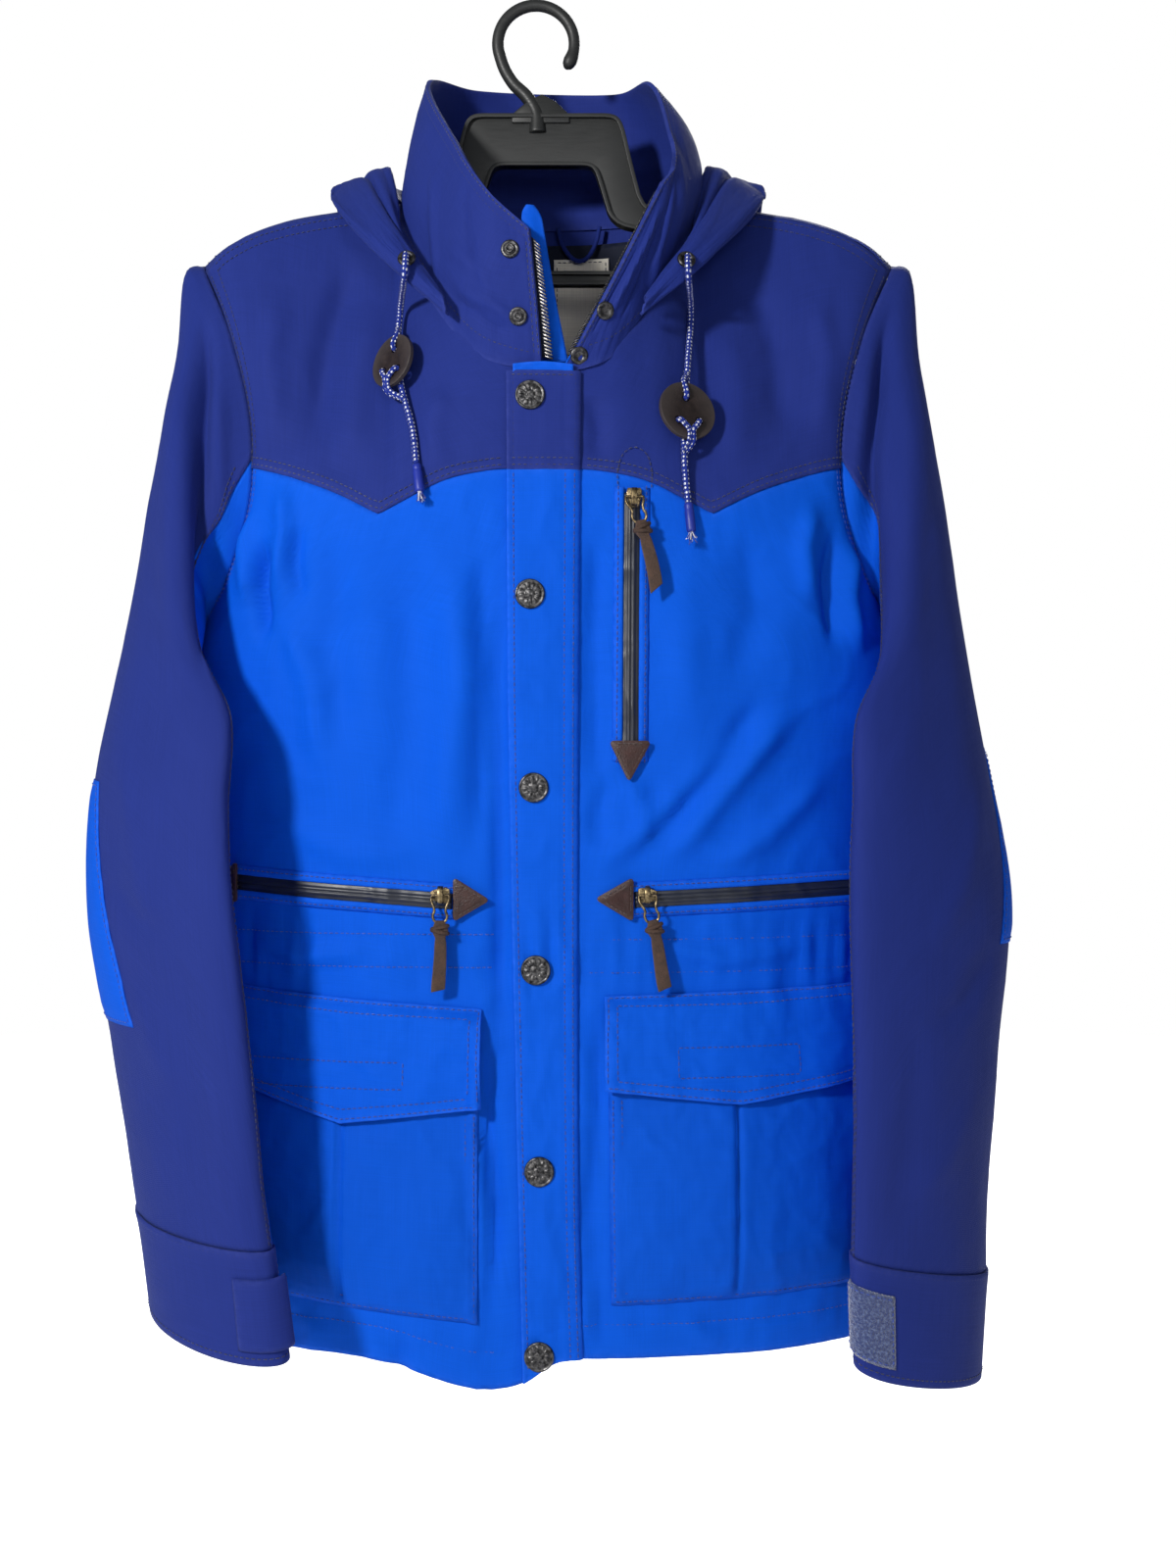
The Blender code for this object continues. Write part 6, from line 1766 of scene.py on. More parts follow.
def add_cuff_tab(side, wrapped, cuff_seam, end, paints):
    """The right cuff's tab, or the strip of looped tape that shows on the left one."""
    s0, s1 = cuff_seam + 14, end - 8
    t0, t1 = 0.30, 0.43
    s, t = np.meshgrid(np.linspace(s0, s1, 24), np.linspace(t0, t1, 30), indexing="ij")
    border = np.minimum(np.minimum(s - s0, s1 - s), np.minimum(t - t0, t1 - t) * CUFF_ROUND)
    if side == "left":
        rise = 1.5 + 0.9 * eased(border / 1.5) + 0.25 * value_noise(s / 2.2, t * 160, 95)
        cloth("cuff_tape_left", wrapped.at(s, t, rise), paints["napped"], 1.2, ["cuff_tab_left"],
              base=wrapped.at(s, t))
        thread = "azure"
    else:
        rise = 2.0 + 1.1 * eased(border / 2.5) + 2.5 * eased((t - 0.37) / 0.06) ** 2
        cloth("cuff_tab_end_right", wrapped.at(s, t, rise), paints["indigo"], 2.0, ["cuff_tab_right"],
              base=wrapped.at(s, t))
        thread = "indigo"
    inset = 2.0
    s0, s1 = s0 + inset, s1 - inset
    t0, t1 = t0 + inset / CUFF_ROUND, t1 - inset / CUFF_ROUND
    stitch_loop(wrapped.lay, [(s0, t0), (s0, t1), (s1, t1), (s1, t0)], 12, thread, out=3.2)


# ---------------------------------------------------------------- collar, hood, neck
COLLAR_CLOTH = 2.6
COLLAR_LAP = 0.09  # how far it laps down over the neck edge


def add_collar(paints):
    c, r = np.meshgrid(np.linspace(0, 1, 230), np.linspace(-COLLAR_LAP, 1, 41))
    lap = 2.0 * np.exp(-(r + COLLAR_LAP) * COLLAR_HIGH / 5.0)
    grid = collar_cloth.at(c, r, lap)
    thing = cloth("stand_collar", grid, paints["indigo"], COLLAR_CLOTH, ["collar"])
    soften(thing, 0.9, 3, 50)
    for row in COLLAR_ROWS:
        share = row / COLLAR_HIGH
        around = row / COLLAR_ROUND
        stitch_run(collar_cloth.lay, np.linspace(around, 1 - around, 300), np.full(300, 1 - share), out=1.45)
        for place in (around, 1 - around):
            stitch_run(collar_cloth.lay, np.full(30, place), np.linspace(0.04, 1 - share, 30), out=1.45)
    stitch_run(collar_cloth.lay, np.linspace(0.02, 0.98, 300), np.full(300, 0.045), out=1.45)


def add_hood(paints):
    for side, low, high in (("right", 0.0, 0.5), ("left", 0.5, 1.0)):
        c, b = np.meshgrid(np.linspace(low, high, 80), np.linspace(0, 1, 96))
        grid = hood_cloth.at(c, b)
        thing = cloth("hood_half_" + side, grid, paints["indigo"], 1.5, ["hood_" + side])
        soften(thing, 0.5, 2, 50)
    for share in (0.993, 0.935):
        stitch_run(hood_cloth.lay, np.linspace(0.02, 0.98, 300), np.full(300, share), out=0.9)
    for c in (0.492, 0.508):
        stitch_run(hood_cloth.lay, np.full(60, c), np.linspace(0.05, 0.93, 60), out=0.9)


LINING_HALF_WIDTH = 84
LINING_HEIGHTS = (-136, -345)
LABEL_X = (3, 42)
LABEL_HEIGHTS = (-146, -212)


def add_neck_lining(paints):
    """The lining inside the back of the neck, its label and the hanging loop."""
    x, z = np.meshgrid(np.linspace(-1, 1, 56) * LINING_HALF_WIDTH, np.linspace(*LINING_HEIGHTS, 60))
    x = x * (1 - 0.22 * np.clip((z + 200) / 64, 0, 1))
    base = back_plain.lay(x, z, -4.2)
    grid = back_plain.lay(x, z, -4.2 + 0.7 * value_noise(x / 30, z / 40, 101) + 0.3 * crumple(x, z, 16, 102))
    cloth("lining_back", grid, paints["lining"], 0.8, ["neck_lining"],
          base=base)
    x, z = np.meshgrid(np.linspace(*LABEL_X, 24), np.linspace(*LABEL_HEIGHTS, 34))
    grid = back_plain.lay(x, z, -6.6 + 0.25 * value_noise(x / 14, z / 14, 103))
    cloth("size_label", grid, paints["label"], 0.7, ["label"])
    inset = 2.0
    x0, x1 = LABEL_X[0] + inset, LABEL_X[1] - inset
    z0, z1 = LABEL_HEIGHTS[0] - inset, LABEL_HEIGHTS[1] + inset
    stitch_loop(back_plain.lay, [(x0, z0), (x1, z0), (x1, z1), (x0, z1)], 12, out=-7.3)
    loop = []
    for share in np.linspace(0, 1, 24):
        x = np.array([6 + 30 * share])
        bow = math.sin(math.pi * share)
        z = np.array([-124.0 - 24 * bow**0.55])
        loop.append(back_plain.lay(x, z, -8.5 - 3 * bow)[0])
    settle(add_tube("hang_loop", loop, 1.5, 10, paints["indigo"]))


# ---------------------------------------------------------------- what lies on the fronts
POCKET_OUT = 3.3
FLAP_OUT = 7.0
PLACKET_OUT = 3.4
ZIP_OUT = 2.9
POCKETS = {
    "right": ((-196, -644), (-40, -652), (-40, -829), (-192, -815)),
    "left": ((38, -643), (196, -643), (192, -815), (40, -818)),
}
FLAPS = {
    "right": ((-197, -631), (-38, -642), (-38, -701), (-121, -711), (-197, -688)),
    "left": ((36, -634), (197, -630), (197, -688), (117, -700), (36, -690)),
}
FLAP_TIP_SHARE = {"right": 0.48, "left": 0.5}
POCKET_WIDE = 154.0
POCKET_HIGH = 172.0
POCKET_ROWS = (2.2, 7.4)  # stitched rows, in from the edge
FLAP_WIDE = 158
FLAP_HIGH = 64
FLAP_STITCHED = 62  # the height that its rows are shared out over
FLAP_ROWS = (2.0, 7.0)
POCKET_SEEDS = {"right": 110, "left": 120}
PLEATS = {"right": (-122.5, 2.0), "left": (115.0, -2.5)}  # x, and how far it leans over the pocket's height
FLAP_BOXES = {"right": (-176, -84, -674, -690), "left": (79, 152, -665, -683)}


def between_corners(corners, s, t):
    """x and z at shares across and down a patch with four corners."""
    corners = np.array(corners, float)
    a = s[..., None]
    b = t[..., None]
    spot = (corners[0] * (1 - a) + corners[1] * a) * (1 - b) + (corners[3] * (1 - a) + corners[2] * a) * b
    return spot[..., 0], spot[..., 1]


def add_pocket(side, paints):
    """A pleated patch pocket, sewn on three sides and full at its mouth."""
    corners = POCKETS[side]
    seed = POCKET_SEEDS[side]
    s, t = np.meshgrid(np.linspace(0, 1, 72), np.linspace(0, 1, 76))
    x, z = between_corners(corners, s, t)
    to_side = np.minimum(s, 1 - s) * POCKET_WIDE
    to_low = (1 - t) * POCKET_HIGH
    border = np.minimum(to_side, to_low)
    fullness = 6.0 * np.clip(np.sin(math.pi * s), 0, 1) ** 0.7 * np.clip((t - 0.2) / 0.5, 0, 1)
    fullness = fullness * np.clip((1 - t) / 0.15, 0, 1)
    out = 0.9 + (POCKET_OUT - 0.9 + fullness) * eased(border / 5.5 + 0.12)
    x_pleat, lean = PLEATS[side]
    away = x - (x_pleat + lean * (t - 0.5))
    shown = eased((t - 0.16) / 0.1) * eased(to_low / 8)
    out = out + shown * (2.2 * np.exp(-np.abs(away) / 14) * (away < 0) - 2.8 * hump(away, 0, 1.7))
    out = out + 0.7 * value_noise(x / 30, z / 44, seed)
    out = out + 0.35 * crumple(x, z * 0.8, 20, seed + 1) * eased(border / 10)
    out = out + 0.4 * value_noise((x + z) / 8, border / 9, seed + 2) * np.exp(-border / 6)
    for row in POCKET_ROWS:
        out = out - 0.5 * hump(border, row, 1.1) * (border > 0.2)
    grid = front_cloth.lay(x, z, out)
    cloth("pocket_bag_" + side, grid, paints["pocket"], THIN, ["pocket_" + side],
          base=front_cloth.lay(x, z, 2.0))
    for row in POCKET_ROWS:
        a = row / POCKET_WIDE
        b = row / POCKET_HIGH
        full = 1.0 + (POCKET_OUT - 0.9) * float(eased(np.array(row / 5.5 + 0.12)))
        sides = (((a, 0.3), (a, 1 - b)), ((a, 1 - b), (1 - a, 1 - b)), ((1 - a, 1 - b), (1 - a, 0.3)))
        for (sa, ta), (sb, tb) in sides:
            x, z = between_corners(corners, np.linspace(sa, sb, 40), np.linspace(ta, tb, 40))
            stitch_run(front_cloth.lay, x, z, "azure_dark", out=full + 0.4)


def add_flap(side, paints):
    """A pocket's pointed flap, two layers thick, sewn along its top."""
    seed = POCKET_SEEDS[side]
    top_right, top_left, low_left, tip, low_right = (np.array(p, float) for p in FLAPS[side])
    tip_share = FLAP_TIP_SHARE[side]
    s, t = np.meshgrid(np.linspace(0, 1, 82), np.linspace(0, 1, 34))
    top = top_right * (1 - s[..., None]) + top_left * s[..., None]
    share = np.clip(s / tip_share, 0, 1)[..., None]
    rest = np.clip((s - tip_share) / (1 - tip_share), 0, 1)[..., None]
    low = np.where(s[..., None] < tip_share,
                   low_right * (1 - share) + tip * share, tip * (1 - rest) + low_left * rest)
    spot = top * (1 - t[..., None]) + low * t[..., None]
    x = spot[..., 0]
    z = spot[..., 1]
    height = np.abs(top[..., 1] - low[..., 1])
    from_top = t * height
    from_low = (1 - t) * height
    to_side = np.minimum(s, 1 - s) * FLAP_WIDE
    out = 1.6 + (FLAP_OUT - 1.6) * eased(from_top / 9) + 3.2 * t
    out = out + (0.6 + 0.8 * t) * value_noise(x / 26, z / 40, seed + 5) + 0.3 * crumple(x, z, 18, seed + 6)
    out = out + 0.8 * value_noise(x / 15, z / 30, seed + 7) * np.exp(-from_low / 10)
    border = np.minimum(to_side, from_low)
    for row in FLAP_ROWS:
        out = out - 0.5 * hump(border, row, 1.1) - 0.5 * hump(from_top, row, 1.1)
    grid = front_cloth.lay(x, z, out)
    thing = cloth("pocket_flap_" + side, grid, paints["azure"], 2.0, ["flap_" + side],
                  base=front_cloth.lay(x, z, 5.0))
    soften(thing, 0.6, 2, 50)

    normals = grid_normals(grid)

    def on_flap(across, down, extra):
        """Places on the flap, in mm across and down, read from its own points."""
        i = np.clip(np.asarray(across) / FLAP_WIDE, 0, 1) * (grid.shape[1] - 1)
        j = np.clip(np.asarray(down) / FLAP_HIGH, 0, 1) * (grid.shape[0] - 1)
        return read_grid(grid, i, j) + read_grid(normals, i, j) * extra

    def sew(ss, tt):
        stitch_run(on_flap, ss * FLAP_WIDE, tt * FLAP_HIGH, "azure_dark", out=1.25)

    for row in FLAP_ROWS:
        a = row / FLAP_WIDE
        b = row / FLAP_STITCHED
        for place in (1 - b, b):
            sew(np.linspace(a, 1 - a, 80), np.full(80, place))
        for place in (a, 1 - a):
            sew(np.full(30, place), np.linspace(b, 1 - b, 30))
    x0, x1, z0, z1 = FLAP_BOXES[side]
    box = ((x0, z0), (x1, z0), (x1, z1), (x0, z1))
    for (xa, za), (xb, zb) in zip(box, box[1:] + box[:1]):
        ss = (np.linspace(xa, xb, 30) - top_right[0]) / (top_left[0] - top_right[0])
        top_z = top_right[1] * (1 - ss) + top_left[1] * ss
        low_z = np.where(ss < tip_share,
                         low_right[1] + (tip[1] - low_right[1]) * ss / tip_share,
                         tip[1] + (low_left[1] - tip[1]) * (ss - tip_share) / (1 - tip_share))
        sew(ss, (np.linspace(za, zb, 30) - top_z) / (low_z - top_z))


def read_grid(grid, i, j):
    """Points between the points of a grid, at column i and row j."""
    i0 = np.clip(i.astype(int), 0, grid.shape[1] - 2)
    j0 = np.clip(j.astype(int), 0, grid.shape[0] - 2)
    a = (i - i0)[..., None]
    b = (j - j0)[..., None]
    low = grid[j0, i0] * (1 - a) + grid[j0, i0 + 1] * a
    high = grid[j0 + 1, i0] * (1 - a) + grid[j0 + 1, i0 + 1] * a
    return low * (1 - b) + high * b


def grid_normals(grid):
    """Unit normals of a grid of points that face the front."""
    found = unit(np.cross(np.gradient(grid, axis=1), np.gradient(grid, axis=0)))
    return np.where(found[..., 1:2] > 0, -found, found)


PLACKET_EDGE = ((-257, -23), (-440, -22), (-620, -19), (-780, -15), (-875, -12.5))
PLACKET_STITCHED = ((-257, 21.5), (-440, 20), (-620, 19.5), (-780, 20.5), (-875, 23.5))
PLACKET_WIDTH = 43
PLACKET_ROWS = (4.0, PLACKET_WIDTH - 3.0, PLACKET_WIDTH - 8.5)  # stitched rows, from the free edge
PLACKET_TOP = -257
PLACKET_SPLIT = -317
PLACKET_FOOT = -870
PLACKET_LOWEST = -874
PLACKET_SEWN_TO = -858
SNAPS = ((-8.8, -272.5), (-8.8, -392), (-6.6, -508), (-5.4, -618), (-3.1, -738), (-3.1, -847.5))


def placket_x(heights, share):
    """x across the placket at a share of its width from the free edge."""
    low = smooth([-p[0] for p in PLACKET_EDGE], [p[1] for p in PLACKET_EDGE], -heights)
    high = smooth([-p[0] for p in PLACKET_STITCHED], [p[1] for p in PLACKET_STITCHED], -heights)
    return low * (1 - share) + high * share


def placket_out(x, z, share):
    """How far the placket's cloth is out: full along its free edge, flat where it is sewn."""
    low = eased((-540 - z) / 120)
    free = eased((1 - share) / 0.5)
    snap_near = np.zeros(np.shape(z))
    for _, snap_z in SNAPS:
        snap_near = np.maximum(snap_near, hump(z, snap_z, 26.0))
    wave = value_noise(z / 36, share * 1.2, 131) * 1.5 * free * (1 - 0.7 * snap_near) * (0.5 + 0.7 * low)
    wave = wave + 0.45 * crumple(x * 1.4, z * 0.7, 14, 132) * (0.35 + low) * (1 - 0.6 * snap_near)
    from_seam = (1 - share) * PLACKET_WIDTH
    pucker = 0.5 * value_noise(z / 7.5, share * 3, 133) * np.exp(-(from_seam - 4) ** 2 / 30)
    sewn = 2.2 * eased((share - 0.94) / 0.06)
    total = PLACKET_OUT + wave + pucker - sewn
    for across in PLACKET_ROWS:
        total = total - 0.5 * hump(share * PLACKET_WIDTH, across, 1.1)
    return total


def add_placket_facing(paints):
    """The bright facing that shows over the placket's top edge."""
    x, up = np.meshgrid(np.linspace(-19, 17, 26), np.linspace(-3.0, 4.6, 9))
    grid = front_cloth.lay(x, np.full(x.shape, PLACKET_TOP - 0.5), PLACKET_OUT + 0.6)
    grid[..., 1] -= 0.35 * np.clip(up, 0, 9) + 0.25 * value_noise(x / 6, up / 5, 121)
    grid[..., 2] += up + 1.6 * np.cos((x + 1) / 18 * math.pi / 2) - 0.8
    cloth("placket_facing", grid, paints["azure"], 0.9, ())


def add_placket(paints):
    """The two pieces of the placket, with their stitches."""
    shares = np.linspace(0, 1, 24)
    for name, node, top, bottom, rows, paint in (
        ("placket_upper", "placket_yoke", PLACKET_TOP, PLACKET_SPLIT - 0.6, 32, "indigo"),
        ("placket_strip", "placket", PLACKET_SPLIT + 0.4, None, 230, "azure"),
    ):
        grid_x = []
        grid_z = []
        for share in shares:
            end = bottom
            if end is None:
                x_low = placket_x(np.array([float(PLACKET_FOOT)]), share)
                end = front.point(x_low / 214 * 0.65, np.zeros(1))[0, 2] - 1.0  # at the hem below it
            z = np.linspace(top, end, rows)
            grid_x.append(placket_x(z, share))
            grid_z.append(z)
        x = np.stack(grid_x, axis=1)
        z = np.maximum(np.stack(grid_z, axis=1), PLACKET_LOWEST)
        share = np.broadcast_to(shares, x.shape)
        out = placket_out(x, z, share) + (0.5 if node == "placket_yoke" else 0.0)
        thing = cloth(name, front_cloth.lay(x, z, out), paints[paint], 1.9, [node],
                      base=front_plain.lay(x, z, PLACKET_OUT))
        soften(thing, 0.6, 2, 50)

    def on_placket(z, across, out):
        share = across / PLACKET_WIDTH
        x = placket_x(z, share)
        return front_cloth.lay(x, z, placket_out(x, z, share) + out)

    lengths = ((PLACKET_TOP - 3, PLACKET_SPLIT, "indigo"), (PLACKET_SPLIT - 2, PLACKET_SEWN_TO, "azure_dark"))
    for across in PLACKET_ROWS:
        for top, low, thread in lengths:
            stitch_run(on_placket, np.linspace(top, low, 200), np.full(200, across), thread, out=1.3)
    across = np.linspace(0.06, 0.94, 20) * PLACKET_WIDTH
    for height in (PLACKET_TOP - 3.0, PLACKET_SPLIT + 2.4, PLACKET_SPLIT + 6.4):
        stitch_run(on_placket, np.full(20, height), across, out=1.5)


# ---------------------------------------------------------------- pocket zips
ZIPS = {
    "chest": ((52.5, -331), (51.5, -489)),
    "hand_right": ((-56, -577), (-192, -567)),
    "hand_left": ((54, -576), (192, -570)),
}
ZIP_HALF = 6.2
ZIP_PROFILE = np.array((  # across the closed zip, and how far out
    (-6.2, -1.6), (-6.0, -1.2), (-3.4, -1.0), (-2.5, -0.7), (-2.1, -0.1), (-1.2, 0.2), (-0.5, 0.1),
    (-0.15, -0.5), (0.15, -0.5), (0.5, 0.1), (1.2, 0.2), (2.1, -0.1), (2.5, -0.7), (3.4, -1.0),
    (6.0, -1.2), (6.2, -1.6),
))
WELT_PROFILE = np.array(((0.0, 0.6), (0.2, 1.9), (0.9, 2.5), (2.2, 2.3), (4.2, 1.5), (5.6, 0.5)))
END_CHEST = ((38.6, -480), (63.8, -480), (50.3, -505))
ENDS_IN = {
    "hand_right": ((-55, -562), (-55, -589), (-33, -576)),
    "hand_left": ((53, -562), (53, -589), (30, -575)),
}


def add_zip(name, paints):
    """A closed coated zip, and the folded edges of the opening that it fills."""
    (x0, z0), (x1, z1) = ZIPS[name]
    length = math.hypot(x1 - x0, z1 - z0)
    side = np.array((-(z1 - z0), x1 - x0)) / length

    def places(share, across):
        return x0 + (x1 - x0) * share + side[0] * across, z0 + (z1 - z0) * share + side[1] * across

    s, k = np.meshgrid(np.linspace(0, 1, int(length / 1.6)), np.arange(len(ZIP_PROFILE)))
    across, high = ZIP_PROFILE[k, 0], ZIP_PROFILE[k, 1]
    x, z = places(s, across)
    tape = add_mesh("coated_zip_" + name, front_cloth.lay(x, z, ZIP_OUT + high - 0.2), grid_faces(*x.shape),
                    paints["zip_tape"], np.stack([across, s * length], axis=-1))
    thicken(tape, 0.9, -1.0 if tape.data.polygons[0].normal.y < 0 else 1.0)
    settle(tape, ["zip_" + name])
    # The opening's folded edges, and the stitches that frame it
    for sign in (-1, 1):
        s, k = np.meshgrid(np.linspace(-0.02, 1.02, int(length / 3)), np.arange(len(WELT_PROFILE)))
        across = sign * (ZIP_HALF - 1.2 + WELT_PROFILE[k, 0])
        high = WELT_PROFILE[k, 1] + 0.25 * value_noise(s * length / 6, across / 9, 140)
        # An upright zip's welts are told apart by their sides
        ahead = sign * (side[0] if abs(side[1]) < 0.3 else side[1])
        label = "upper" if ahead > 0 else "lower"
        cloth("welt_%s_%s" % (name, label), front_cloth.lay(*places(s, across), high), paints["azure"], 0.8,
              ())
        x, z = places(np.linspace(-0.03, 1.03, 60), sign * (ZIP_HALF + 2.2))
        stitch_run(front_cloth.lay, x, z, "azure_dark", out=2.6)


def add_leather_end(name, corners, node, paints):
    """A stitched triangle of leather with rounded corners."""
    a, b, tip = (np.array(p, float) for p in corners)
    middle = (a + b + tip) / 3
    outline = []
    for corner, before, after in ((a, tip, b), (b, a, tip), (tip, b, a)):
        for share in np.linspace(0, 1, 7):
            inward = corner + (middle - corner) * 0.10
            from_side = corner + (before - corner) * 0.10
            to_side = corner + (after - corner) * 0.10
            bend = inward * 0.4 + corner * 0.6
            outline.append((1 - share) ** 2 * from_side + 2 * share * (1 - share) * bend + share**2 * to_side)
    outline = np.array(outline)
    rings = 9
    points = []
    border = []
    for ring in range(rings):
        share = ring / rings
        loop = outline * (1 - share) + middle * share
        points.append(loop)
        border.append(np.full(len(loop), share))
    points = np.concatenate(points + [middle[None]])
    border = np.concatenate(border + [np.ones(1)])
    count = len(outline)
    faces = []
    for ring in range(rings - 1):
        faces += [(ring * count + i, ring * count + (i + 1) % count, (ring + 1) * count + (i + 1) % count,
                   (ring + 1) * count + i) for i in range(count)]
    last = (rings - 1) * count
    faces += [(last + i, last + (i + 1) % count, rings * count) for i in range(count)]
    out = 3.9 + 0.9 * eased(border / 0.25) - 0.5 * hump(border, 0.2, 0.05)
    patch = add_mesh(name, front_cloth.lay(points[:, 0], points[:, 1], out), faces, paints["leather"],
                     points - middle, np.exp(-border * 9))
    thicken(patch, 1.7)
    soften(patch, 0.4, 2, 50)
    settle(patch, [node])
    loop = outline * 0.80 + middle * 0.20
    for k in (0, 7, 14):
        start = loop[(k + 6) % count]
        stop = loop[(k + 7) % count]
        t = np.linspace(0, 1, 12)
        stitch_run(front_cloth.lay, start[0] + (stop[0] - start[0]) * t, start[1] + (stop[1] - start[1]) * t,
                   "brown", out=5.5, pitch=3.1)


# ---------------------------------------------------------------- sliders and pulls
SLIDERS = {
    "chest": (53.5, -334, -0.24),
    "hand_right": (-62.5, -573, 0.0),
    "hand_left": (61.5, -573, -0.2),
}
SHIELD = (  # its plate, which narrows away from the teeth's open end
    (-3.9, 5.6), (3.9, 5.6), (4.6, 3.6), (4.5, 0.5), (3.3, -4.4), (2.2, -6.0), (-2.2, -6.0),
    (-3.3, -4.4), (-4.5, 0.5), (-4.6, 3.6),
)
TAPE = 1.2
SLIDER_WIDTH = 7.0
BRIDGE_OUT = 5.4
WIRE = 1.7
WIRE_DROP = 16
PULL_DROP = 57
PULL_SEEDS = {"chest": 151, "hand_right": 152, "hand_left": 153}


def add_slider(name, paints):
    """A slider's plate and the bridge over it; returns where its pull hangs, and the pull's lean."""
    x, z, lean = SLIDERS[name]
    centre, _ = spot_on(front, x, z, ZIP_OUT + TAPE / 2 + 0.45)
    shield = SHIELD
    if name != "chest":
        turn = -1 if name == "hand_right" else 1
        shield = [(-turn * b, a) for a, b in shield]
    parts = Parts()
    plate = [(centre[0] + a, centre[1] + 0.4, centre[2] + b) for a, b in shield]
    parts.add(*slab_shape(plate, (0, -1.7, 0)))
    arch = []
    for angle in np.linspace(0, math.pi, 15):
        rise = (BRIDGE_OUT - 1.4) * math.sin(angle) ** 0.7
        arch.append((centre[0], centre[1] - 1.0 - rise, centre[2] + 5.2 * math.cos(angle)))
    arch = np.array(arch)
    bar = []
    for point, toward in zip(arch, unit(np.gradient(arch, axis=0))):
        out = np.cross(toward, (1, 0, 0))
        for a, b in ((-1.7, -0.55), (1.7, -0.55), (1.7, 0.55), (-1.7, 0.55)):
            bar.append(point + np.array((a, 0, 0)) + out * b)
    faces = grid_faces(len(arch), 4, closed=True)
    faces += [(3, 2, 1, 0), tuple(range(4 * len(arch) - 4, 4 * len(arch)))]
    parts.add(bar, faces)
    slider = parts.piece("slider_body_" + name, paints["brass"])
    soften(slider, 0.35, 2)
    settle(slider, ["slider_" + name])
    return centre + np.array((0, -2.75, 0)), lean


def add_pull(name, pivot, lean, paints):
    """A wire bulb through the slider's bridge, and a leather strip looped on it."""
    half = SLIDER_WIDTH / 2 + 1.6
    drop = WIRE_DROP
    front_of = 2.2
    bar = [(-half, 0, 0), (-half * 0.5, 0, 0), (half * 0.5, 0, 0), (half, 0, 0)]
    side = [(half * wide, -front_of * out, z) for wide, out, z in
            ((1.02, 0.7, -3.2), (0.72, 1, -7.0), (0.66, 1, -9.0), (0.84, 1, -12.0), (0.62, 1, -15.2))]
    other = [(-x, y, z) for x, y, z in reversed(side)]
    wire = np.array(bar + side + [(0, -front_of, -16.4)] + other)
    wire = along(np.concatenate([wire, wire[:1]]), np.linspace(0, 1, 57)[:-1])
    points, faces, _ = tube_shape(leaned(wire, pivot, lean), WIRE / 2, 10, closed=True)
    body = "pull_" + name
    settle(add_mesh("pull_wire_" + name, points, faces, paints["brass"]), ["pull_" + name], body)

    seed = PULL_SEEDS[name]
    rng = np.random.RandomState(seed)
    rows = 34
    share = np.linspace(0, 1, rows)
    drop_z = -drop + 1.2 - share * (PULL_DROP - drop + 1.2)
    wide = np.interp(share, (0, 0.10, 0.16, 0.24, 0.34, 0.9, 1), (2.6, 4.6, 4.9, 3.1, 3.6, 4.3, 4.2))
    thick = np.interp(share, (0, 0.08, 0.16, 0.24, 0.3, 1), (1.0, 2.0, 2.2, 1.5, 1.1, 1.0))
    sway = 1.2 * np.sin(share * 3.2 + seed)
    depth = -front_of - 0.4 * np.sin(share * 2.6)
    strip = []
    angle = turns_round(16)
    skew = 0.9 if name != "chest" else 2.2  # how much lower the strip's end is on one side
    for k in range(rows):
        for turn in angle:
            a = math.copysign(abs(math.cos(turn)) ** 0.35, math.cos(turn)) * wide[k]
            b = math.copysign(abs(math.sin(turn)) ** 0.6, math.sin(turn)) * thick[k]
            low = skew * a / 4.2 * share[k]
            rough = 0.15 * rng.randn() * (0 < k < rows - 1)
            strip.append((a + sway[k] * share[k], depth[k] + b, drop_z[k] + low + rough))
    faces = grid_faces(rows, 16, closed=True)
    faces += [tuple(reversed(range(16))), tuple(range(16 * (rows - 1), 16 * rows))]
    edge = np.tile(np.abs(np.cos(angle)) ** 3, rows)
    strip = add_mesh("pull_strip_" + name, leaned(strip, pivot, lean), faces, paints["suede"],
                     np.array(strip)[:, (0, 2)], edge)
    outward(strip)
    settle(soften(strip, 0.3, 2, 60), (), body)
    knot = Parts()
    for rise, tilt in ((-drop - 3.0, 0.5), (-drop - 5.6, -0.5)):
        turns = turns_round(30)
        ring = np.stack([4.6 * np.cos(turns), -front_of + 2.5 * np.sin(turns),
                         rise + tilt * 2.0 * np.cos(turns)], axis=1)
        knot.add(*tube_shape(leaned(ring, pivot, lean), 1.35, 8, closed=True)[:2])
    knot = knot.piece("pull_knot_" + name, paints["suede"])
    settle(knot, (), body)


def leaned(points, pivot, lean):
    """Local points hung from the pivot, leaning sideways below it."""
    points = np.asarray(points, float)
    cos, sin = math.cos(lean), math.sin(lean)
    x, y, z = points.T
    turned = np.stack([x * cos + z * sin, y, -x * sin + z * cos], axis=1)
    share = np.clip(-points[:, 2:3] / 8.0, 0, 1)
    return np.asarray(pivot) + points * (1 - share) + turned * share


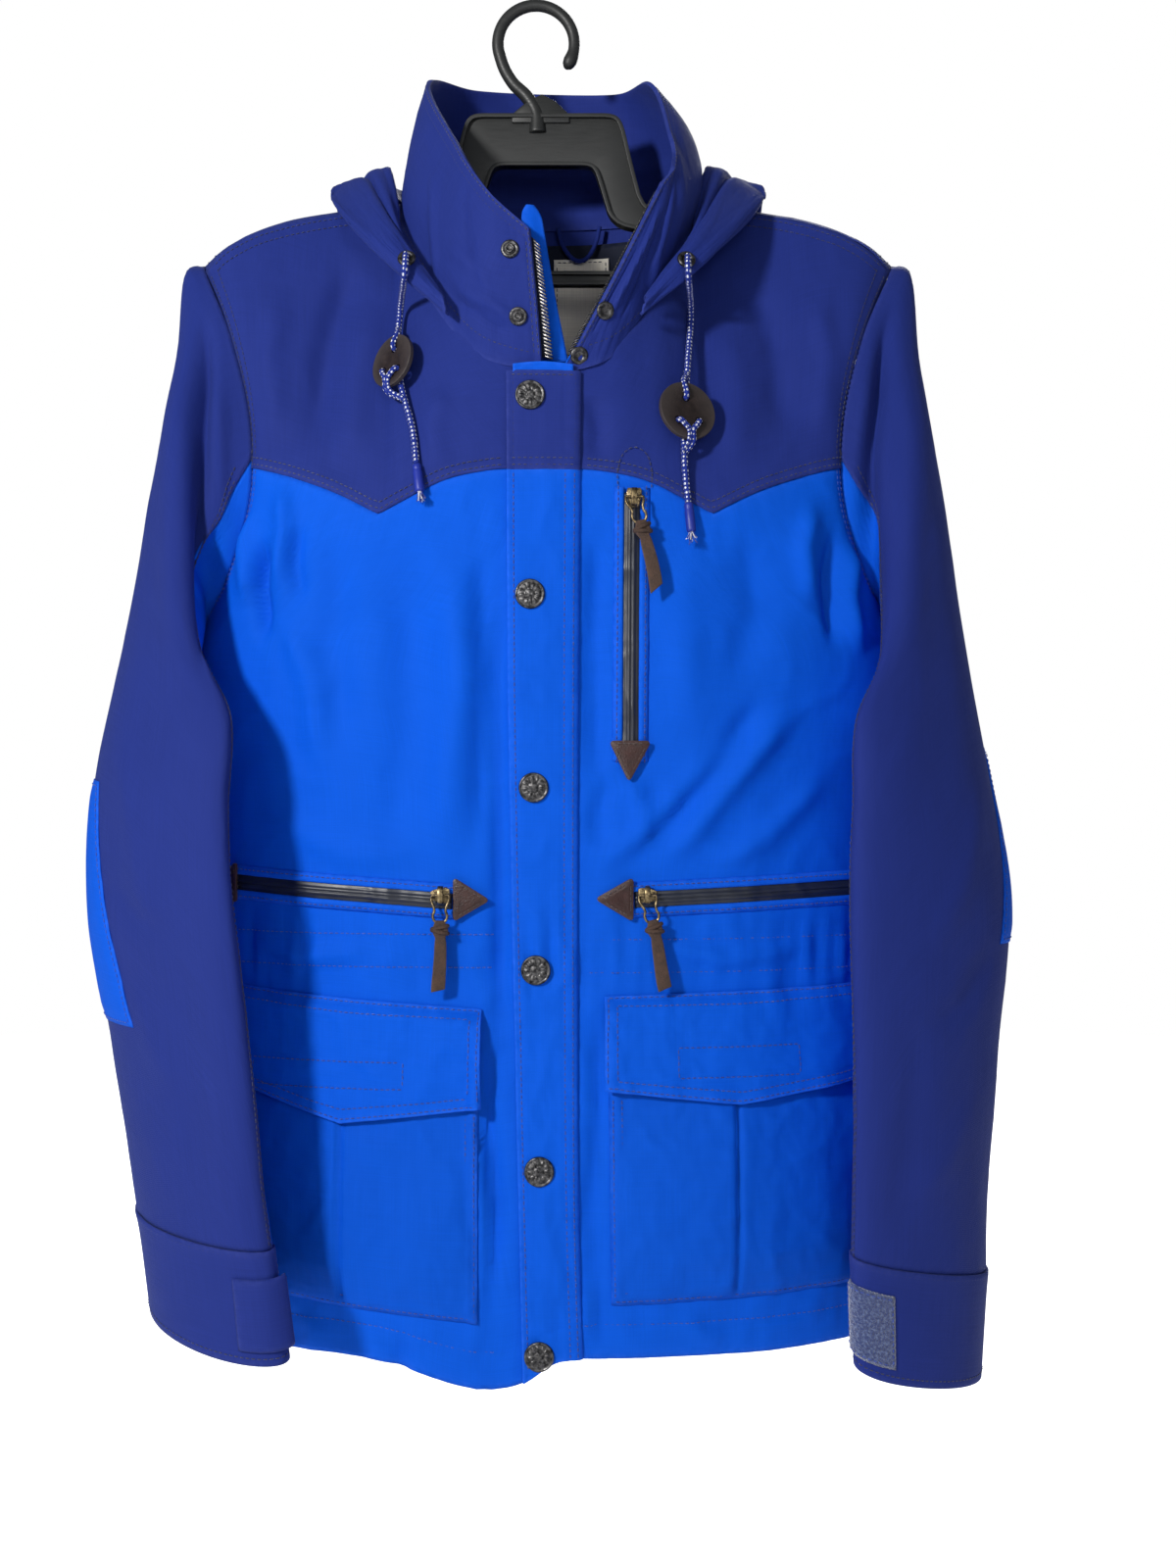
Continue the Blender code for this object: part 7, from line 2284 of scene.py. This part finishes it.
# ---------------------------------------------------------------- snaps and studs
SNAP_PROFILE = (
    (0, 0), (8.0, 0), (8.8, 0.3), (9.0, 1.0), (8.8, 1.7), (8.3, 2.1), (7.8, 2.0), (7.5, 1.6), (7.0, 1.7),
    (6.6, 2.0), (5.4, 2.3), (4.2, 2.4), (3.7, 2.2), (3.2, 2.0), (2.7, 2.3), (2.2, 2.7), (1.2, 2.8),
    (0.5, 2.8), (0, 2.8),
)
STUD_PROFILE = (
    (0, 0), (5.2, 0), (5.5, 0.5), (5.3, 1.0), (4.6, 1.3), (3.8, 1.2), (3.2, 0.8), (2.7, 0.9), (2.6, 2.2),
    (2.9, 2.7), (2.6, 3.1), (1.8, 3.2), (1.4, 2.6), (0.8, 2.4), (0, 2.4),
)
SOCKET_PROFILE = (
    (0, 0), (5.2, 0), (5.5, 0.5), (5.3, 1.0), (4.4, 1.4), (3.2, 1.3), (2.7, 0.6), (1.6, 0.4), (0, 0.4),
)
STUDS = ((-20.5, -187), (-16, -226))
SOCKETS = ((36, -222), (21, -250))


def snap_ripple(radius, turn):
    """A plain pattern of bars round the cap, in place of any lettering."""
    if 3.6 < radius < 7.0:
        return 0.22 * np.sign(np.sin(turn * 12))
    if 0.6 < radius < 2.6:
        return 0.18 * np.sign(np.cos(turn * 4))
    return np.zeros(len(turn))


def add_snaps(paints):
    for number, (x, z) in enumerate(SNAPS, 1):
        x, z = np.array([float(x)]), np.array([float(z)])
        _, normal = spot_on(front, x[0], z[0], 0.0)
        share = (x - placket_x(z, 0.0)) / PLACKET_WIDTH
        rise = float(placket_out(x, z, share)[0])
        rise = min(max(rise, PLACKET_OUT - 0.3), PLACKET_OUT + 0.6)
        at = front_cloth.lay(x, z, 0.0)[0] + normal * (rise + 0.95)
        shape = turned_shape(at, normal, SNAP_PROFILE, 96, snap_ripple)
        settle(add_solid("snap_cap_%d" % number, shape, paints["metal"]), ["snap_%d" % number])


def add_studs(paints):
    """The collar's studs on its right edge, and their sockets on its left one."""
    for number, (x, z) in enumerate(STUDS, 1):
        centre, normal = facing_spot(collar, x, z, (0.0, 0.0), (0.3, 1.0))
        shape = turned_shape(centre + normal * (COLLAR_CLOTH / 2 + 0.5), normal, STUD_PROFILE, 48)
        settle(add_solid("stud_post_%d" % number, shape, paints["metal"]), ["stud_%d" % number])
    for number, (x, z) in enumerate(SOCKETS, 1):
        centre, normal = facing_spot(collar, x, z, (0.86, 0.0), (1.0, 1.0))
        shape = turned_shape(centre + normal * (COLLAR_CLOTH / 2 + 0.3), normal, SOCKET_PROFILE, 48)
        settle(add_solid("collar_socket_%d" % number, shape, paints["metal"]))


# ---------------------------------------------------------------- the collar's zip, guard and facing
TAPE_REACHES = {"right": (-9, -6, -3, 0, 2.0, 3.4), "left": (-9, -7, -5, -3, -1, 0.6)}  # past the edge
TOOTH = ((-2.4, -0.68), (1.6, -0.62), (2.6, -0.3), (2.6, 0.3), (1.6, 0.62), (-2.4, 0.68))
TOOTH_HALF_HIGH = 1.3
TOOTH_PITCH = 2.1
GUARD_LEFT = ((-15, -88, -156), (-10, -85, -205), (-3, -82, -250))
GUARD_RIGHT = ((-3, -86, -157), (5, -84, -205), (14, -82, -250))


def collar_edge(c, c_inside, r):
    """Points down a front edge of the collar, and the way out past it from each."""
    edge = collar.point(np.full(len(r), c), r)
    toward = unit(edge - collar.point(np.full(len(r), c_inside), r))
    return edge, toward


def add_collar_zip(paints):
    """The open zip's tape and teeth on both front edges of the collar."""
    r = np.linspace(0.03, 0.95, 40)
    for side, edge_c, inside_c, normal_c, node in (
        ("right", 0.0, 0.03, 0.02, ["zip_front_right"]), ("left", 1.0, 0.97, 0.98, []),
    ):
        edge, toward = collar_edge(edge_c, inside_c, r)
        inward = -collar.normal(np.full(40, normal_c), r)
        reaches = TAPE_REACHES[side]
        grid = np.stack([edge + inward * 2.6 + toward * reach for reach in reaches], axis=1)
        cloth("front_zip_tape_" + side, grid, paints["webbing"], 0.9, node)
        line = edge + inward * 2.2 + toward * (reaches[-1] + 1.2)
        run = lengths_along(line)
        teeth = Parts()
        for at in np.arange(1.0, run[-1] - 1.0, TOOTH_PITCH):
            centre = np.array([np.interp(at, run, line[:, k]) for k in range(3)])
            ahead = unit(np.array([np.interp(at + 1, run, line[:, k]) for k in range(3)]) - centre)
            out = toward[int(np.clip(np.searchsorted(run, at), 1, 39))]
            lift = np.cross(out, ahead)
            outline = [centre + out * a + ahead * b - lift * TOOTH_HALF_HIGH for a, b in TOOTH]
            teeth.add(*slab_shape(outline, lift * 2 * TOOTH_HALF_HIGH))
        settle(soften(teeth.piece("front_zip_teeth_" + side, paints["brass_dark"]), 0.15, 1))


def add_zip_guard(paints):
    """The bright tongue of cloth behind the open zip, rounded at its top."""
    rows = np.linspace(0, 2, 46)
    left = smooth((0, 1, 2), GUARD_LEFT, rows)
    right = smooth((0, 1, 2), GUARD_RIGHT, rows)
    share = np.linspace(0, 1, 12)
    middle = (left + right) / 2
    narrow = np.sqrt(np.clip(1 - (1 - rows / 0.2) ** 2, 0.12, 1) * (rows < 0.2) + (rows >= 0.2))[:, None]
    left = middle + (left - middle) * narrow
    right = middle + (right - middle) * narrow
    grid = left[:, None] * (1 - share)[None, :, None] + right[:, None] * share[None, :, None]
    bow = 1.2 * np.sin(share * math.pi)[None, :]
    grid[..., 1] -= bow + 0.5 * value_noise(share[None, :] * 2, rows[:, None] * 5, 161)
    cloth("zip_guard", grid, paints["azure"], 1.3, ["collar_guard"])


def add_collar_facing(paints):
    """The bright facing that shows along the left collar's open edge."""
    r = np.linspace(-0.05, 0.70, 44)
    edge, toward = collar_edge(1.0, 0.97, r)
    inward = -collar.normal(np.full(44, 0.98), r)
    columns = []
    for reach in np.linspace(-10, 1.4, 12):
        depth = 2.4 + 0.06 * (reach + 10) - 0.8 * eased((reach + 1) / 2)
        columns.append(edge + inward * depth + toward * reach)
    cloth("collar_facing", np.stack(columns, axis=1), paints["azure"], 0.9, ())


# ---------------------------------------------------------------- hanger
HANGER_Y = 3.0
HANGER_DEPTH = 9.0
HOOK_INNER = 21.0
HOOK_BAR = 8.0
HANGER_OUTER = (
    (0, -68), (28, -68), (46, -68), (52, -74), (58, -101), (66, -131), (92, -136), (128, -139),
    (165, -146), (192, -156), (206, -164), (204, -177), (186, -180), (120, -180), (60, -180), (0, -180),
)
HANGER_WINDOW = (
    (0, -102), (14, -102), (28, -102), (33, -104), (37, -116), (44, -140), (70, -146), (100, -148),
    (132, -152), (160, -160), (176, -166), (178, -169), (168, -171), (110, -171), (56, -171), (0, -171),
)
HANGER_CENTRE_X = -3
HOOK_NECK = ((-21, -37), (-15, -47), (-6, -56), (0, -66), (1, -80))  # from the hook's middle, below its arc
HOOK_RADIUS_AT = (0, 0.012, 0.03, 0.05, 0.08, 0.75, 0.9, 1)
HOOK_RADIUS = (1.4, 3.6, 4.6, 4.4, 3.7, 4.0, 4.6, 6.0)
BOSS = ((-24, -68.5), (-14, -60), (-4, -55), (5, -60), (14, -68.5), (14, -74), (-24, -74))


def mirrored_loop(half):
    right = [(-x, z) for x, z in reversed(half[1:-1])]
    return [(x + HANGER_CENTRE_X, z) for x, z in list(half) + right]


def band_between(outer, inner, y0, depth):
    """A flat band between two matched loops."""
    count = len(outer)
    points = [(x, y, z) for y in (y0, y0 + depth) for loop in (outer, inner) for x, z in loop]
    faces = []
    for i in range(count):
        k = (i + 1) % count
        faces.append((i, k, count + k, count + i))
        faces.append((2 * count + i, 3 * count + i, 3 * count + k, 2 * count + k))
        faces.append((i, 2 * count + i, 2 * count + k, k))
        faces.append((count + i, count + k, 3 * count + k, 3 * count + i))
    return points, faces


def drawn_in(loop, by):
    """The loop moved towards its inside by a distance."""
    loop = np.asarray(loop, float)
    before = np.roll(loop, 1, axis=0)
    after = np.roll(loop, -1, axis=0)
    way = unit(after - before)
    return loop + np.stack([way[:, 1], -way[:, 0]], axis=1) * by


def rounded(loop, count):
    """A closed loop with more points and softened corners."""
    loop = np.asarray(loop, float)
    for _ in range(count):
        after = np.roll(loop, -1, axis=0)
        loop = np.stack([loop * 0.78 + after * 0.22, loop * 0.22 + after * 0.78], axis=1).reshape(-1, 2)
    return loop


def add_hanger(paints):
    """A moulded frame with a window and thick rims, and the hook on its boss."""
    outer = rounded(mirrored_loop(HANGER_OUTER), 2)
    inner = rounded(mirrored_loop(HANGER_WINDOW), 2)
    web = Parts()
    web.add(*band_between(outer, inner, HANGER_Y - 1.8, 3.6))
    for pair in ((outer, drawn_in(outer, 2.6)), (drawn_in(inner, -2.4), inner)):
        web.add(*band_between(*pair, HANGER_Y - HANGER_DEPTH / 2, HANGER_DEPTH))
    frame_piece = web.piece("hanger_frame", paints["hanger"])
    soften(frame_piece, 0.7, 3, 40)
    settle(frame_piece, ["hanger"])

    middle = HOOK_INNER + HOOK_BAR / 2
    centre = np.array((-HOOK_SIDE, HANGER_Y, -HOOK_INNER))
    path = [centre + middle * np.array((math.cos(a), 0, math.sin(a)))
            for a in np.radians(np.linspace(-40, 200, 25))]
    path += [np.array((-HOOK_SIDE + x, HANGER_Y, z)) for x, z in HOOK_NECK]
    share = np.linspace(0, 1, 90)
    hook = Parts()
    radius = np.interp(share, HOOK_RADIUS_AT, HOOK_RADIUS)
    hook.add(*tube_shape(along(np.array(path), share), radius, 24)[:2])
    hook.add(*slab_shape([(x, HANGER_Y - 3.4, z) for x, z in BOSS], (0, 6.8, 0)))
    hook = hook.piece("hanger_hook", paints["hanger"])
    soften(hook, 0.8, 2, 50)
    settle(hook, ())


# ---------------------------------------------------------------- everything together
def flat_rise(a, b, base):
    """No relief, for what lies inside and for measuring a cut."""
    return np.zeros(np.shape(a))


INDIGO = (0.014, 0.029, 0.205)
AZURE = (0.0, 0.090, 0.64)

add_stage()
front = BodySide("front")
back = BodySide("back")
sleeves = {"right": Sleeve(-1, SLEEVE_RIGHT_RINGS), "left": Sleeve(1, SLEEVE_LEFT_RINGS)}
collar = Collar()
hood = Hood()
front_cloth = BodyCloth(front, front_rise)
back_cloth = BodyCloth(back, back_rise)
front_plain = BodyCloth(front, flat_rise)
back_plain = BodyCloth(back, flat_rise)
collar_cloth = Cloth(collar, collar_rise)
hood_cloth = Cloth(hood, hood_rise)

paints = {
    "indigo": woven("indigo_shell", INDIGO, 0.55, 0.00010, 0.62, 0.05, 0.09),
    "azure": woven("azure_shell", AZURE, 0.60, 0.00009, 0.70, 0.0, 0.06),
    # the pocket bags' cloth is the azure shell scaled to 0.90: painted shade, a darker copy of the same cloth
    "pocket": woven("azure_pocket_painted_shade", scale_colour(AZURE, 0.90), 0.60, 0.00009, 0.70, 0.0, 0.06),
    "lining": woven("dark_lining", (0.004, 0.007, 0.022), 0.5, 0.00006, 0.5, 0.1, 0.1),
    "label": woven("label_cloth", (0.86, 0.80, 0.68), 0.4, 0.00006, 0.7, 0.1, 0.12, (1.0, 0.95, 0.9)),
    "webbing": woven("zip_webbing", (0.005, 0.007, 0.016), 0.8, 0.00015, 0.7, 0.2, 0.15),
    "leather": leather("patch_leather", (0.032, 0.011, 0.009), 0.44),
    "leather_dark": leather("disc_leather", (0.014, 0.008, 0.007), 0.45, 0.0002),
    "suede": leather("strip_leather", (0.052, 0.029, 0.020), 0.8, 0.0005),
    "metal": metal("antique_metal", (0.17, 0.165, 0.165), (0.020, 0.020, 0.022), 0.40),
    "brass": metal("antique_brass", (0.42, 0.32, 0.17), (0.07, 0.05, 0.03), 0.36),
    "brass_dark": metal("zip_teeth", (0.36, 0.34, 0.32), (0.06, 0.06, 0.065), 0.34),
    "cord": braided("flecked_cord", (0.010, 0.028, 0.27), (0.85, 0.87, 0.95)),
    "cord_tip": moulded("cord_end", (0.010, 0.024, 0.26), 0.36),
    "thread_blue": plain_thread("tuft_blue", (0.014, 0.030, 0.27)),
    "thread_white": plain_thread("tuft_white", (0.85, 0.86, 0.92)),
    "zip_tape": coated("coated_tape", (0.012, 0.015, 0.026)),
    "napped": napped("looped_tape", (0.020, 0.036, 0.140), (0.10, 0.14, 0.28)),
    "hanger": moulded("hanger_plastic", (0.017, 0.018, 0.018), 0.40),
    # near-black disc inside each eyelet: painted shade of its hole
    "dark": moulded("eyelet_painted_shade", (0.004, 0.004, 0.006), 0.8),
}

for side in ("right", "left"):
    add_drawcord(side, paints)
add_body(paints)
add_body_stitches()
for side, form in sleeves.items():
    add_sleeve(side, form, Cloth(form, sleeve_rise(side, form)), paints)
add_collar(paints)
add_hood(paints)
add_neck_lining(paints)
for side in ("right", "left"):
    add_pocket(side, paints)
    add_flap(side, paints)
add_placket_facing(paints)
add_placket(paints)
for name in ZIPS:
    add_zip(name, paints)
add_leather_end("zip_end_chest", END_CHEST, "end_chest", paints)
for name, corners in ENDS_IN.items():
    side = name.split("_")[1]
    add_leather_end("zip_end_in_" + side, corners, "end_hand_%s_in" % side, paints)
    x, z = ZIPS[name][1]
    away = math.copysign(1, x)
    corners = ((x - away * 2, z + 13), (x - away * 2, z - 13), (x + away * 14, z - 2))
    add_leather_end("zip_end_out_" + side, corners, "end_hand_%s_out" % side, paints)
for name in SLIDERS:
    add_pull(name, *add_slider(name, paints), paints)
add_snaps(paints)
add_studs(paints)
add_collar_zip(paints)
add_zip_guard(paints)
add_collar_facing(paints)
add_hanger(paints)
add_stitches({
    "indigo": plain_thread("thread_indigo", (0.006, 0.008, 0.045)),
    "azure": plain_thread("thread_azure", (0.010, 0.050, 0.36)),
    "azure_dark": plain_thread("thread_azure_dark", (0.010, 0.026, 0.22)),
    "brown": plain_thread("thread_brown", (0.045, 0.022, 0.016)),
})
